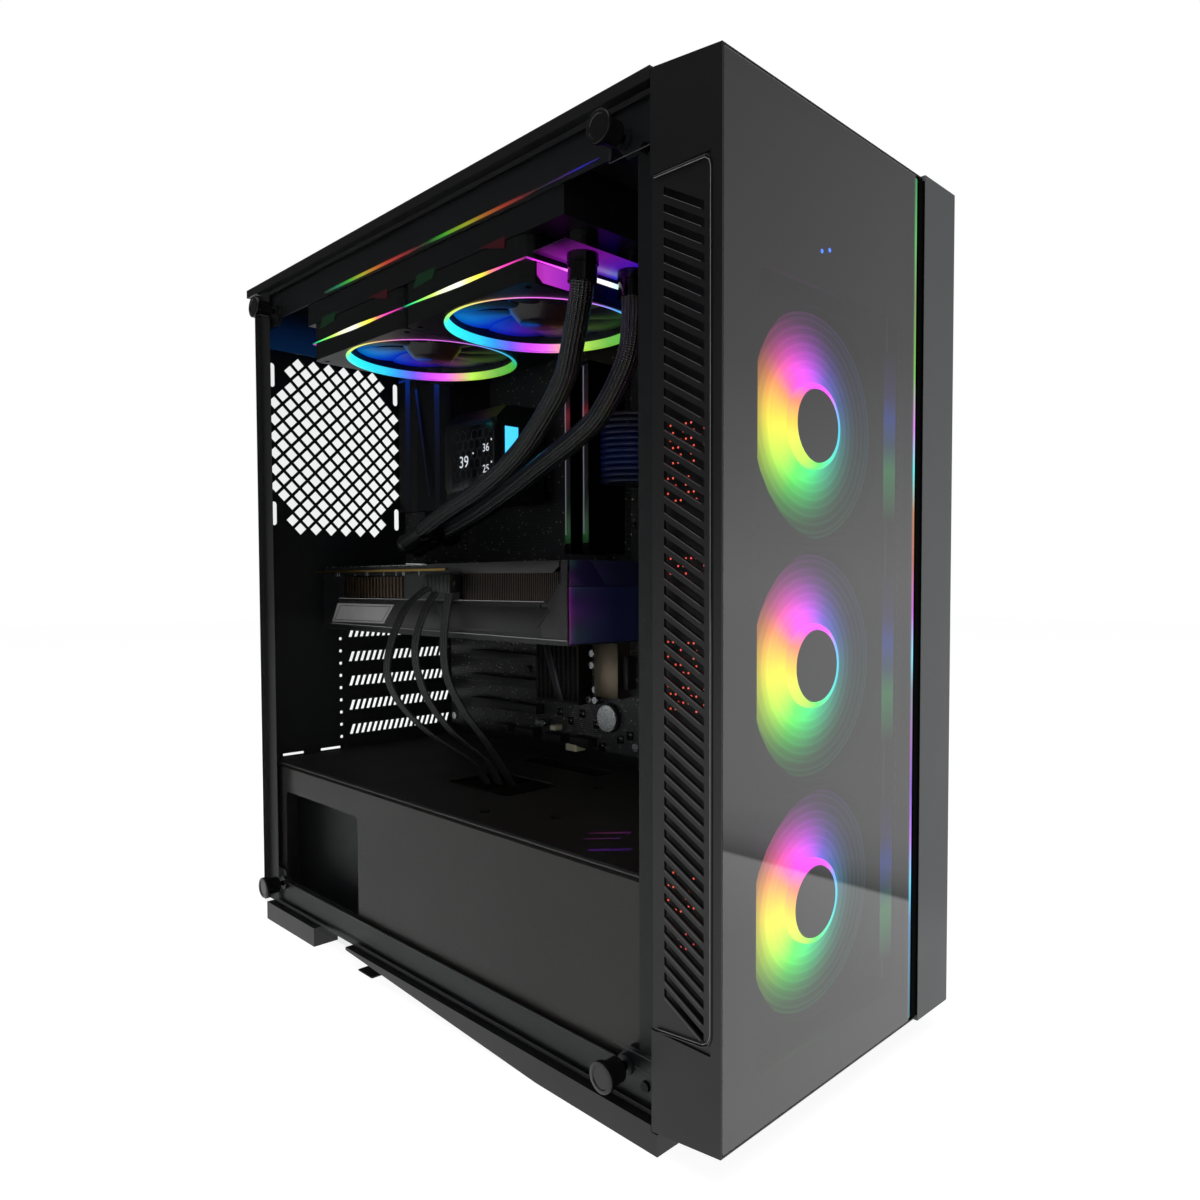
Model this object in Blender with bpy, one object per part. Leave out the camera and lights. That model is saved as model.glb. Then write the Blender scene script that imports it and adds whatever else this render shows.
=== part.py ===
"""Desktop computer tower: steel chassis, glass front and side, liquid cooler and graphics card.

Every sub-part is one named object. The case frame used below has x across the case (0 on its
middle plane, the window side at -x), y from the front glass (0) to the rear, and z up from the
floor. The empty `tower` carries that frame and moves it so that the world's origin is the
centre of the model's footprint.
"""

import math

import bmesh
import bpy
from mathutils import Matrix, Vector

# ================================================================ driving dimensions (metres)
GAP = 0.0003  # clearance between two pieces that touch
SHEET = 0.001  # sheet steel
CASE_WIDTH = 0.210
CASE_HEIGHT = 0.482
CHASSIS_REAR = 0.460  # outer face of the rear wall

# chassis
CHASSIS_INSET = 0.0065  # from each side of the case to the chassis' side plane
CHASSIS_BOTTOM = 0.0135
FRONT_POST = 0.0135  # flanges of the front and rear walls along the sides
REAR_POST = 0.012
TOP_FLANGE = 0.022
BOTTOM_FLANGE = 0.017
TOP_WEB_DROP = 0.0092  # the top plate's web lies this far below its flanges
CABLE_SPACE = 0.020  # from the tray to the chassis' side plane
TRAY_PASS_WIDTH = 0.028
TRAY_PASS_HEIGHT = 0.070
TRAY_PASS_LEVELS = (0.185, 0.270, 0.352)
TRAY_PASS_FORWARD = 0.035  # of the board's front edge
TRAY_PASS_ROUND = 0.010
SHROUD_TOP = 0.1205
SHROUD_INSET = 0.0035
SHROUD_FOLD = 0.003
SHROUD_WINDOW_WIDTH = 0.110
SHROUD_WINDOW_HEIGHT = 0.068
SHROUD_WINDOW_Z = 0.0655
SHROUD_WINDOW_FORWARD = 0.0097  # of the power supply's middle
CABLE_SLOT_X = -0.020
CABLE_SLOT_Y = 0.262
CABLE_SLOT_WIDTH = 0.046
CABLE_SLOT_LENGTH = 0.070

# front shell and its glass
SHELL_DEPTH = 0.040
SHELL_WALL = 0.0025
SHELL_BOTTOM = 0.0105
SHELL_DROP = 0.0015  # below the top cover
SHELL_TAPER = 0.0050  # the front edge is this much lower at the top and higher at the bottom
FRONT_LIP = 0.0008
FRONT_RECESS = 0.004
GLASS_THICKNESS = 0.004
LIGHT_STRIP_WIDTH = 0.0025
PILLAR_WIDTH = 0.038
PILLAR_GAP = 0.0087  # from the front glass to the pillar
PILLAR_PROUD = 0.001
PILLAR_OVERHANG = 0.0016  # beyond the shell's front edge, top and bottom
PILLAR_ROUND = 0.003
INTAKE_LEFT = -0.0755
INTAKE_RIGHT = 0.0540
VENT_COUNT = 50
VENT_PITCH = 0.00714
VENT_FIRST_DROP = 0.0542  # of the first vent below the shell's top
VENT_SLANT = math.radians(29)
VENT_REACH = 0.0228  # along y
VENT_HEIGHT = 0.0038
VENT_FRONT = 0.0102
VENT_PANEL_FRONT = 0.0057
VENT_PANEL_TOP_MARGIN = 0.046
VENT_PANEL_BOTTOM_MARGIN = 0.047
VENT_PANEL_DEPTH = 0.001
FRONT_CABLE_DROP = 0.035  # of the front wall's cable pass below the shell's top

# top cover
COVER_THICKNESS = 0.0057
COVER_OVERHANG = 0.0065  # behind the rear wall
COVER_OPENING_WIDTH = 0.150
COVER_OPENING_START = 0.085
COVER_OPENING_END_MARGIN = 0.030  # before the rear wall
FILTER_REBATE = 0.006
FILTER_THICKNESS = 0.0020

# case fans
FAN_SIZE = 0.120
FAN_DEPTH = 0.025
FAN_BORE = 0.0575  # radius
FAN_TIP = 0.0560
FAN_HUB = 0.0190
FAN_SCREW_PITCH = 0.105
FAN_SCREW_RADIUS = 0.0022
FAN_BLADES = 9
FAN_STRUT_WIDTH = 0.005
FAN_STRUT_THICKNESS = 0.003
FAN_STRUT_TURN = math.pi / 7
FAN_CORNER = 0.006
FAN_OPENING_ROUND = 0.020
FRONT_FAN_X = -0.008
FRONT_FAN_FIRST_Z = 0.0965
FRONT_FAN_COUNT = 3
TOP_FAN_X = -0.037
TOP_FAN_COUNT = 2

# rotors
BLADE_THICKNESS = 0.0012
BLADE_ROOT = 0.0015  # of a blade inside its hub
BLADE_MARGIN = 0.0015  # from a hub's ends
BLADE_RISE = 0.42  # of the blade's height, each side of its middle at the root
BLADE_TWIST = 0.35  # share of that rise lost at the tip
BLADE_CHORD = 0.52  # half a blade's width at the root, as a share of its sector
BLADE_TAPER = 0.14  # of that share lost at the tip
BLADE_LEAN = 0.35  # of a sector that the tip is swept round
HUB_RECESS = 0.0012
HUB_RECESS_SHARE = 0.62

# liquid cooler
RADIATOR_FRONT = 0.106
RADIATOR_LENGTH = 0.275
RADIATOR_THICKNESS = 0.027
RADIATOR_TANK = 0.026
RADIATOR_RIM = 0.006
CORE_RECESS = 0.0015
TOP_FAN_SETBACK = 0.090  # from the radiator's front to the first fan's axis
PORT_SETBACK = 0.013
PORT_RADIUS = 0.0068
PORT_LENGTH = 0.010
SUPPLY_PORT_X = -0.073
RETURN_PORT_X = -0.036
HOSE_RADIUS = 0.0065
HOSE_STEP = 2.2  # radii between a hose's sections
RIBBON_STEP = 0.011  # between a flat cable's sections
ELBOW_REACH = 0.031  # from a hose's mouth to its fitting's corner
ELBOW_KNEE = 1.12  # of the fitting's radius
PUMP_FROM_REAR = 0.1215  # axis, from the board's rear edge
PUMP_RISE = 0.2235  # axis, above the board's lower edge
PUMP_LENGTH = 0.066
PUMP_HEIGHT = 0.072
PUMP_DEPTH = 0.0621  # from the board's face
PUMP_CHAMFER = 0.010
PUMP_BASE_RADIUS = 0.029
PUMP_BASE = 0.010
PROCESSOR_HEIGHT = 0.008  # of the lid's top above the board
DISPLAY_LENGTH = 0.049
DISPLAY_HEIGHT = 0.043
DISPLAY_THICKNESS = 0.002
DISPLAY_FORWARD = 0.005  # of the pump's axis
DISPLAY_DROP = 0.004  # below the pump's axis

# motherboard and what stands on it
BOARD_STANDOFF = 0.0065
BOARD_THICKNESS = 0.0016
BOARD_DEPTH = 0.244
BOARD_HEIGHT = 0.305
BOARD_BOTTOM = 0.131
BOARD_REAR_GAP = 0.0020
STANDOFF_RADIUS = 0.0030
STANDOFF_SETBACKS = (0.0165, 0.1240, 0.2270)  # from the board's rear edge
STANDOFF_RISES = (0.0060, 0.1500, 0.2950)  # above its lower edge
PORTS_WIDTH = 0.044
PORTS_HEIGHT = 0.158
PORTS_DEPTH = 0.028
PORTS_DROP = 0.082  # of the ports' middle below the board's top
SOCKET_SIZE = 0.048
SOCKET_HEIGHT = 0.0075
POWER_SOCKET_RISE = 0.221
POWER_SOCKET_LENGTH = 0.052
POWER_SOCKET_WIDTH = 0.010
POWER_SOCKET_HEIGHT = 0.013
MEMORY_FROM_REAR = 0.2085
MEMORY_PITCH = 0.019
MEMORY_COUNT = 2
MEMORY_LENGTH = 0.133
MEMORY_RISE = 0.1475  # above the board's lower edge
MEMORY_HEIGHT = 0.041
MEMORY_WIDTH = 0.0072
MEMORY_CARD = 0.0018
MEMORY_SLOT_WIDTH = 0.007
MEMORY_SLOT_HEIGHT = 0.006
MEMORY_LATCH = 0.004
SLOT_FLOOR = 0.0020  # of a connector's slot above the board
CARD_SOCKET_FROM_REAR = 0.137
CARD_SOCKET_LENGTH = 0.089
CARD_SOCKET_WIDTH = 0.007
CARD_SOCKET_HEIGHT = 0.0105
CARD_SOCKET_END = 0.003
CHIPSET_FROM_REAR = 0.189
CHIPSET_LENGTH = 0.050
CHIPSET_RISE = 0.035
CHIPSET_HEIGHT = 0.046
CHIPSET_THICKNESS = 0.014
IO_COVER_HEIGHT = 0.0521  # above the board's face
IO_COVER_DEPTH = 0.062
IO_COVER_SLOPE = 0.012
IO_COVER_DROP = 0.036  # of its lower end below the pump's axis

# graphics card
CARD_RISE = 0.0130  # of its top above the first slot
CARD_THICKNESS = 0.0490
CARD_SIDE_X = -0.057
CARD_LENGTH = 0.3087
CARD_OVER_BOARD = 0.012  # between the card and the board's face
CARD_TAIL = 0.014  # from the cooler's rear to the bracket's outer face
CARD_LAMINATE_DROP = 0.003
CARD_LAMINATE_THICKNESS = 0.005
CARD_LAMINATE_SETBACK = 0.060
CARD_PLATE_THICKNESS = 0.004
CARD_SHROUD_DROP = 0.0065
CARD_EDGE_DROP = 0.0055
CARD_EDGE_THICKNESS = 0.0016
CARD_BRACKET_MARGIN = 0.004
CARD_BRACKET_RISE = 0.0092
CARD_FAN_COUNT = 3
CARD_FAN_RADIUS = 0.0425
CARD_FAN_PITCH = 0.0920
CARD_FAN_HUB = 0.0160
CARD_FAN_DEPTH = 0.0120
CARD_FAN_BLADES = 9
CARD_FAN_SETBACK = 0.055  # of the first fan's axis from the card's front
CARD_BOSS_RADIUS = 0.006
ROTOR_CLEARANCE = 0.0015  # between a rotor's tips and its well
WELL_CLEARANCE = 0.0040  # between a rotor's back and the floor of its well
DISPLAY_PORT_XS = (-0.017, 0.007, 0.031, 0.053)
DISPLAY_PORT_WIDTH = 0.017
DISPLAY_PORT_HEIGHT = 0.0075
DISPLAY_PORT_DEPTH = 0.010

# cables
PLUG_Y = 0.268
PLUG_WIDTH = 0.031
PLUG_HEIGHT = 0.0099
PLUG_DROP = 0.0073  # of the plug's top below the card's top
PLUG_DEPTH = 0.012  # inside the card
PLUG_PROUD = 0.010
CARD_RIBBON = 0.009
CARD_RIBBON_THICKNESS = 0.0035
CABLE_END_WIDTH = 0.026
CABLE_END_LENGTH = 0.048
CABLE_END_RISE = 0.006
MAIN_PLUG_HEIGHT = 0.016
MAIN_RIBBON = 0.050
MAIN_RIBBON_THICKNESS = 0.008

# power supply
SUPPLY_WIDTH = 0.150
SUPPLY_HEIGHT = 0.086
SUPPLY_DEPTH = 0.140
SUPPLY_FAN_RADIUS = 0.0585
SUPPLY_FAN_HUB = 0.021
SUPPLY_FAN_DEPTH = 0.024
SUPPLY_FAN_BLADES = 7
SUPPLY_BOSS_RADIUS = 0.008
SUPPLY_OPENING_MARGIN = 0.005  # of the rear wall's opening inside the supply's outline
INLET_X = -0.052
INLET_WIDTH = 0.024
INLET_HEIGHT = 0.0185
INLET_DEPTH = 0.018
SWITCH_X = -0.020
SWITCH_WIDTH = 0.013
SWITCH_HEIGHT = 0.019
SWITCH_DEPTH = 0.012
ROCKER_PIVOT_DEPTH = 0.0045
ROCKER_HALF = 0.0078
ROCKER_HIGH = 0.0048  # of the pressed-out end, in front of the pivot
ROCKER_LOW = 0.0030
ROCKER_BACK = 0.0035
ROCKER_BACK_SHARE = 0.6
ROCKER_SIDE_GAP = 0.0005
ROCKER_SHAFT = 0.0012
FILTER_WIDTH = 0.136
FILTER_LENGTH = 0.1463
FILTER_HEIGHT = 0.0034
FILTER_TONGUE = 0.003  # behind the rear wall
RAIL_WALL = 0.0015
RAIL_LIP = 0.003
RAIL_FLOOR_THICKNESS = 0.0012

# window side
WINDOW_REAR_MARGIN = 0.0075  # from the rear wall to the glass' rear edge
WINDOW_POST = 0.0022
WINDOW_POST_RADIUS = 0.0050
WINDOW_HOLE = 0.0035
THUMB_RADIUS = 0.0075
THUMB_BARREL_RADIUS = 0.0060
THUMB_RIM = 0.003
THUMB_BARREL = 0.008
THUMB_SHAFT = 0.0020
BRACKET_THICKNESS = 0.003
BRACKET_HEIGHT = 0.0255
BRACKET_CHAMFER = 0.010
FRONT_SCREW_INSET = 0.0204
REAR_SCREW_INSET = 0.0300
SCREW_EDGE = 0.0085  # from a corner bracket's free edge to its screw
SCREW_RISE = 0.0162  # from the bracket's outer edge to its screw

# right panel
PANEL_TAB_WIDTH = 0.021
PANEL_TAB_MARGIN = 0.006  # from the panel's ends
PANEL_SCREW_INSET = 0.0075  # of the panel's screws from the chassis' side plane
PANEL_SCREW_LEVELS = (0.110, 0.400)
PANEL_THUMB_RADIUS = 0.0060
PANEL_THUMB_BARREL_RADIUS = 0.0050
PANEL_THUMB_RIM = 0.0015
PANEL_THUMB_BARREL = 0.0030
PANEL_SCREW_REACH = 0.005

# feet
FOOT_WIDTH = 0.018
FRONT_FOOT_START = 0.0365
FRONT_FOOT_END = 0.122
FRONT_FOOT_WEDGE_END = 0.324
FOOT_WEDGE_TIP = 0.0020
FOOT_BEAM = 0.020
FOOT_BEAM_BOTTOM = 0.003
REAR_FOOT_SETBACK = 0.090  # from the rear wall
REAR_FOOT_MARGIN = 0.012

# buttons and ports on the shell's top
CONTROL_Y = 0.0225
CONTROL_HOLE_DEPTH = 0.008
CONTROL_BOARD_DROP = 0.0125
CONTROL_BOARD_WIDTH = 0.018
CONTROL_BOARD_MARGIN = 0.012
POWER_RADIUS = 0.0060
RESET_RADIUS = 0.0030
POWER_X = 0.032
RESET_X = 0.014
BUTTON_PROUD = 0.0020
BUTTON_STEM = 0.010
USB_WIDTH = 0.0145
USB_DEPTH = 0.0070
USB_CAVITY_WIDTH = 0.0124
USB_CAVITY_DEPTH = 0.0048
USB_CAVITY = 0.0090
USB_FIRST_X = -0.010
USB_PITCH = 0.024
USB_COUNT = 2
JACK_X = -0.054
JACK_RADIUS = 0.0034
JACK_BORE = 0.00175

# rear wall
GRILLE_X = -0.0362
GRILLE_Z = 0.3662
GRILLE_STEP = 0.00647  # half the pitch of the diamonds
GRILLE_HOLE = 0.0098
GRILLE_COLUMNS = 8  # steps from the middle to the last column
GRILLE_ROWS = 10
GRILLE_CORNER = 13  # steps, across and up together, that the octagon's corners keep
GRILLE_END_ROWS = 2  # rows at the top and the bottom that reach further
GRILLE_END_REACH = 15
SCREW_SLOT_WIDTH = 0.0046
SCREW_SLOT_HEIGHT = 0.0185
SCREW_SLOT_PITCH = 0.107
SLOT_COUNT = 7
SLOT_PITCH = 0.02032
SLOT_TOP_Z = 0.2580
SLOT_INSET = 0.0015  # of the slots' inner ends from the board's face
SLOT_WIDTH = 0.0971
SLOT_VENTS = 19
SLOT_VENT_HEIGHT = 0.0080
SLOT_VENT_WIDTH = 0.0030
SLOT_VENT_LEAN = 0.0028
SLOT_OPENING = 0.0125
CARD_SLOTS = 2  # slots open for the graphics card
SLOT_HOLE_OFFSET = 0.0075
SLOT_HOLE_RADIUS = 0.0015
SHROUD_SLITS = ((-0.0772, 0.0172), (-0.0458, 0.0173))  # middle and width
SHROUD_SLIT_HEIGHT = 0.0020

# ================================================================ derived planes
HALF_CASE = CASE_WIDTH / 2
HALF_CHASSIS = HALF_CASE - CHASSIS_INSET
SIDE_INNER = HALF_CHASSIS - SHEET
CHASSIS_TOP = CASE_HEIGHT - COVER_THICKNESS - GAP
COVER_REAR = CHASSIS_REAR + COVER_OVERHANG
FRONT_WALL = SHELL_DEPTH + GAP
FRONT_INNER = FRONT_WALL + SHEET
REAR_INNER = CHASSIS_REAR - SHEET
FLOOR_INNER = CHASSIS_BOTTOM + SHEET
TOP_WEB = CHASSIS_TOP - TOP_WEB_DROP
WEB_FRONT = FRONT_INNER + GAP  # plates between the walls start and end here
WEB_REAR = REAR_INNER - GAP
FRONT_POST_END = FRONT_WALL + FRONT_POST
REAR_POST_START = CHASSIS_REAR - REAR_POST
TRAY_X = HALF_CHASSIS - CABLE_SPACE
SHROUD_SIDE_X = -HALF_CHASSIS + SHROUD_INSET
SHELL_TOP = CASE_HEIGHT - SHELL_DROP
SHELL_FRONT_BOTTOM = SHELL_BOTTOM + SHELL_TAPER
SHELL_FRONT_TOP = SHELL_TOP - SHELL_TAPER
SHELL_SKIN = FRONT_RECESS + SHELL_WALL  # inner face of the shell's front wall
PILLAR_LEFT = HALF_CASE - PILLAR_WIDTH
FRONT_GLASS_RIGHT = PILLAR_LEFT - PILLAR_GAP
VENT_TOP = SHELL_TOP - VENT_FIRST_DROP
VENT_PANEL_TOP = SHELL_TOP - VENT_PANEL_TOP_MARGIN
VENT_PANEL_BOTTOM = SHELL_BOTTOM + VENT_PANEL_BOTTOM_MARGIN
COVER_OPENING_END = CHASSIS_REAR - COVER_OPENING_END_MARGIN
CONTROL_TOP = SHELL_FRONT_TOP + SHELL_TAPER * CONTROL_Y / SHELL_DEPTH
CONTROL_BOARD = CONTROL_TOP - CONTROL_BOARD_DROP
RADIATOR_TOP = TOP_WEB - GAP
RADIATOR_BOTTOM = RADIATOR_TOP - RADIATOR_THICKNESS
TOP_FAN_FIRST_Y = RADIATOR_FRONT + TOP_FAN_SETBACK
PORT_Y = RADIATOR_FRONT + PORT_SETBACK
GLASS_OUTER = -HALF_CASE
GLASS_INNER = GLASS_OUTER + GLASS_THICKNESS
WINDOW_REAR = CHASSIS_REAR - WINDOW_REAR_MARGIN
THUMB_END = GLASS_OUTER - GAP - THUMB_BARREL - THUMB_RIM
BOARD_FACE = TRAY_X - GAP - BOARD_STANDOFF - BOARD_THICKNESS
BOARD_REAR = REAR_INNER - BOARD_REAR_GAP
BOARD_FRONT = BOARD_REAR - BOARD_DEPTH
BOARD_TOP = BOARD_BOTTOM + BOARD_HEIGHT
PORTS_Z = BOARD_TOP - PORTS_DROP
PUMP_CENTRE_Y = BOARD_REAR - PUMP_FROM_REAR
PUMP_CENTRE_Z = BOARD_BOTTOM + PUMP_RISE
PUMP_FACE_X = BOARD_FACE - PUMP_DEPTH
MEMORY_BOTTOM = BOARD_BOTTOM + MEMORY_RISE
MEMORY_TOP = MEMORY_BOTTOM + MEMORY_LENGTH
POWER_SOCKET_Z = BOARD_BOTTOM + POWER_SOCKET_RISE
CARD_SOCKET_FRONT = BOARD_REAR - CARD_SOCKET_FROM_REAR
IO_COVER_FACE = BOARD_FACE - IO_COVER_HEIGHT
SLOT_RIGHT = BOARD_FACE - SLOT_INSET
SLOT_LEFT = SLOT_RIGHT - SLOT_WIDTH
CARD_TOP = SLOT_TOP_Z + CARD_RISE
CARD_BOTTOM = CARD_TOP - CARD_THICKNESS
CARD_REAR = REAR_INNER - GAP
CARD_FRONT = CARD_REAR - CARD_LENGTH
CARD_INNER_X = BOARD_FACE - CARD_OVER_BOARD
CARD_EDGE_Z = CARD_TOP - CARD_EDGE_DROP
CARD_FAN_X = (CARD_SIDE_X + CARD_INNER_X) / 2
CARD_FAN_TOP = CARD_BOTTOM + CARD_FAN_DEPTH
SUPPLY_BOTTOM = FLOOR_INNER + GAP
SUPPLY_TOP = SUPPLY_BOTTOM + SUPPLY_HEIGHT
SUPPLY_MIDDLE_Z = (SUPPLY_BOTTOM + SUPPLY_TOP) / 2
SUPPLY_REAR = REAR_INNER - GAP
SUPPLY_FRONT = SUPPLY_REAR - SUPPLY_DEPTH
SUPPLY_FAN_Y = SUPPLY_FRONT + SUPPLY_DEPTH / 2
SUPPLY_FAN_TOP = SUPPLY_BOTTOM + SUPPLY_FAN_DEPTH
SHROUD_WINDOW_Y = SUPPLY_FAN_Y - SHROUD_WINDOW_FORWARD
FILTER_TOP = CHASSIS_BOTTOM - GAP
FILTER_REAR = CHASSIS_REAR + FILTER_TONGUE
FILTER_FRONT = FILTER_REAR - FILTER_LENGTH
RAIL_INNER = FILTER_WIDTH / 2 + GAP
RAIL_FLOOR = FILTER_TOP - FILTER_HEIGHT - GAP
FRONT_SCREW_Y = FRONT_INNER + FRONT_SCREW_INSET
REAR_SCREW_Y = REAR_INNER - REAR_SCREW_INSET
LOW_SCREW_Z = FLOOR_INNER + GAP + SCREW_RISE
HIGH_SCREW_Z = CHASSIS_TOP - GAP - SCREW_RISE
FRONT_BRACKET_END = FRONT_SCREW_Y + SCREW_EDGE
REAR_BRACKET_END = REAR_SCREW_Y - SCREW_EDGE
PANEL_SCREW_X = HALF_CHASSIS - PANEL_SCREW_INSET
SIDE_BOTTOM = CHASSIS_BOTTOM + SHEET / 2
SIDE_TOP = CHASSIS_TOP - GAP
SIDE_FRONT = SHELL_DEPTH + 2 * GAP

# ================================================================ routes, chosen by hand
SUPPLY_ROUTE = [
    (-0.073, 0.1195, 0.416),
    (-0.0715, 0.1225, 0.408),
    (-0.068, 0.131, 0.393),
    (-0.062, 0.146, 0.3725),
    (-0.056, 0.171, 0.3545),
    (-0.050, 0.2035, 0.3365),
    (-0.044, 0.246, 0.321),
    (-0.038, 0.299, 0.307),
    (-0.034, 0.334, 0.2965),
]
RETURN_ROUTE = [
    (-0.036, 0.119, 0.416),
    (-0.0365, 0.1185, 0.404),
    (-0.0380, 0.1210, 0.382),
    (-0.038, 0.141, 0.3565),
    (-0.034, 0.1645, 0.346),
    (-0.030, 0.200, 0.334),
    (-0.026, 0.239, 0.3205),
    (-0.020, 0.290, 0.306),
    (-0.016, 0.345, 0.2930),
]
CARD_CABLE_ROUTES = [
    [
        (-0.062, 0.277, 0.2590),
        (-0.078, 0.290, 0.2400),
        (-0.086, 0.298, 0.2060),
        (-0.082, 0.295, 0.1830),
        (-0.066, 0.285, 0.1600),
        (-0.040, 0.270, 0.1370),
        (-0.030, 0.266, 0.1230),
    ],
    [
        (-0.062, 0.268, 0.2590),
        (-0.071, 0.276, 0.2400),
        (-0.075, 0.282, 0.2140),
        (-0.069, 0.280, 0.1850),
        (-0.055, 0.272, 0.1600),
        (-0.034, 0.262, 0.1380),
        (-0.026, 0.258, 0.1230),
    ],
    [
        (-0.062, 0.258, 0.2590),
        (-0.064, 0.264, 0.2300),
        (-0.062, 0.266, 0.2000),
        (-0.053, 0.262, 0.1760),
        (-0.036, 0.254, 0.1480),
        (-0.022, 0.248, 0.1230),
    ],
]
# Across and along the case, from the middle of the main power plug's outer face to the tray.
MAIN_CABLE_STEPS = [
    (0.0052, -0.001),
    (-0.0028, -0.007),
    (-0.0048, -0.021),
    (0.0052, -0.033),
    (0.0232, -0.039),
    (0.0420, -0.041),
]

X, Y, Z = Vector((1, 0, 0)), Vector((0, 1, 0)), Vector((0, 0, 1))


# ================================================================ materials
def linear(hex_colour):
    """An sRGB hex colour as linear red, green, blue and alpha."""
    channels = [int(hex_colour[i : i + 2], 16) / 255 for i in (0, 2, 4)]
    return [c / 12.92 if c <= 0.04045 else ((c + 0.055) / 1.055) ** 2.4 for c in channels] + [1.0]


def material(name, hex_colour, roughness, metallic=0.0, alpha=1.0):
    """A Principled material of that name, made once."""
    found = bpy.data.materials.get(name)
    if found:
        return found
    made = bpy.data.materials.new(name)
    made.use_nodes = True
    shader = made.node_tree.nodes["Principled BSDF"]
    shader.inputs["Base Color"].default_value = linear(hex_colour)
    shader.inputs["Roughness"].default_value = roughness
    shader.inputs["Metallic"].default_value = metallic
    shader.inputs["Alpha"].default_value = alpha
    return made


def powder_coat():
    return material("powder_coated_steel", "1f1f21", 0.55, 0.3)


def painted_aluminium():
    return material("painted_aluminium", "1b1b1d", 0.5, 0.3)


def black_plastic():
    return material("black_plastic", "18181a", 0.45)


def fan_plastic():
    return material("fan_plastic", "202022", 0.5)


def translucent_blade():
    return material("translucent_blade", "c9ccd4", 0.4, 0.0, 0.8)


def board_laminate():
    return material("board_laminate", "17191b", 0.5)


def bare_metal():
    return material("bare_metal", "a8a9ab", 0.3, 1.0)


def heat_spreader():
    return material("heat_spreader", "222225", 0.4, 0.6)


def satin_cover():
    return material("satin_cover", "26262a", 0.4, 0.4)


def card_shroud():
    return material("card_shroud", "3b3a3c", 0.45, 0.3)


def cable_sheath():
    return material("cable_sheath", "151517", 0.6)


def sleeved_hose():
    return material("sleeved_hose", "161618", 0.7)


def tinted_glass():
    return material("tinted_glass", "3a3a3c", 0.05, 0.0, 0.45)


def clear_glass():
    return material("clear_glass", "eef2f2", 0.02, 0.0, 0.2)


def light_diffuser():
    return material("light_diffuser", "e8f4ff", 0.4)


def display_glass():
    return material("display_glass", "0b0d10", 0.1)


# ================================================================ modelling helpers
def mesh_object(bm):
    """A new object from a bmesh, with its normals pointing out."""
    bmesh.ops.recalc_face_normals(bm, faces=bm.faces)
    mesh = bpy.data.meshes.new("shape")
    bm.to_mesh(mesh)
    bm.free()
    shape = bpy.data.objects.new("shape", mesh)
    bpy.context.scene.collection.objects.link(shape)
    return shape


def cuboid(low, high):
    size = Vector(high) - Vector(low)
    centre = (Vector(high) + Vector(low)) / 2
    bm = bmesh.new()
    bmesh.ops.create_cube(bm, size=1, matrix=Matrix.Translation(centre) @ Matrix.Diagonal((*size, 1)))
    return mesh_object(bm)


def box_about(centre, size):
    centre, half = Vector(centre), Vector(size) / 2
    return cuboid(centre - half, centre + half)


def in_space(axis, across, up, along):
    """A point from its two coordinates in the plane across `axis` and its place along it."""
    if axis == "X":
        return Vector((along, across, up))
    if axis == "Y":
        return Vector((across, along, up))
    return Vector((across, up, along))


def add_prism(bm, outline, axis, start, end):
    """A closed prism on a flat outline: (y, z) for axis X, (x, z) for Y and (x, y) for Z."""
    first = [bm.verts.new(in_space(axis, a, b, start)) for a, b in outline]
    last = [bm.verts.new(in_space(axis, a, b, end)) for a, b in outline]
    bm.faces.new(first)
    bm.faces.new(last)
    count = len(outline)
    for i in range(count):
        j = (i + 1) % count
        bm.faces.new((first[i], first[j], last[j], last[i]))


def prism(outline, axis, start, end):
    return prisms([outline], axis, start, end)


def prisms(outlines, axis, start, end):
    """Separate prisms in one object, as the cutter of a pattern of holes."""
    bm = bmesh.new()
    for outline in outlines:
        add_prism(bm, outline, axis, start, end)
    return mesh_object(bm)


def circle(across, up, radius, sides=24):
    """A regular outline whose flats touch no axis of its own."""
    step = 2 * math.pi / sides
    return [
        (across + radius * math.cos(step * (i + 0.5)), up + radius * math.sin(step * (i + 0.5)))
        for i in range(sides)
    ]


def rectangle(across, up, width, height, lean=0.0):
    """A rectangle whose top is shifted by `lean` against its bottom."""
    half_width, half_height, half_lean = width / 2, height / 2, lean / 2
    return [
        (across - half_width - half_lean, up - half_height),
        (across + half_width - half_lean, up - half_height),
        (across + half_width + half_lean, up + half_height),
        (across - half_width + half_lean, up + half_height),
    ]


def rounded_rectangle(across, up, width, height, radius, steps=3):
    """A rectangle whose corners are arcs of `steps` chords."""
    outline = []
    for quarter in range(4):
        turn = math.pi / 2 * quarter
        side_a = 1 if quarter in (0, 3) else -1
        side_b = 1 if quarter in (0, 1) else -1
        centre_a = across + side_a * (width / 2 - radius)
        centre_b = up + side_b * (height / 2 - radius)
        for i in range(steps + 1):
            angle = turn + math.pi / 2 * i / steps
            outline.append((centre_a + radius * math.cos(angle), centre_b + radius * math.sin(angle)))
    return outline


def cylinder(axis, across, up, radius, start, end, sides=24):
    return prism(circle(across, up, radius, sides), axis, start, end)


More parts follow.
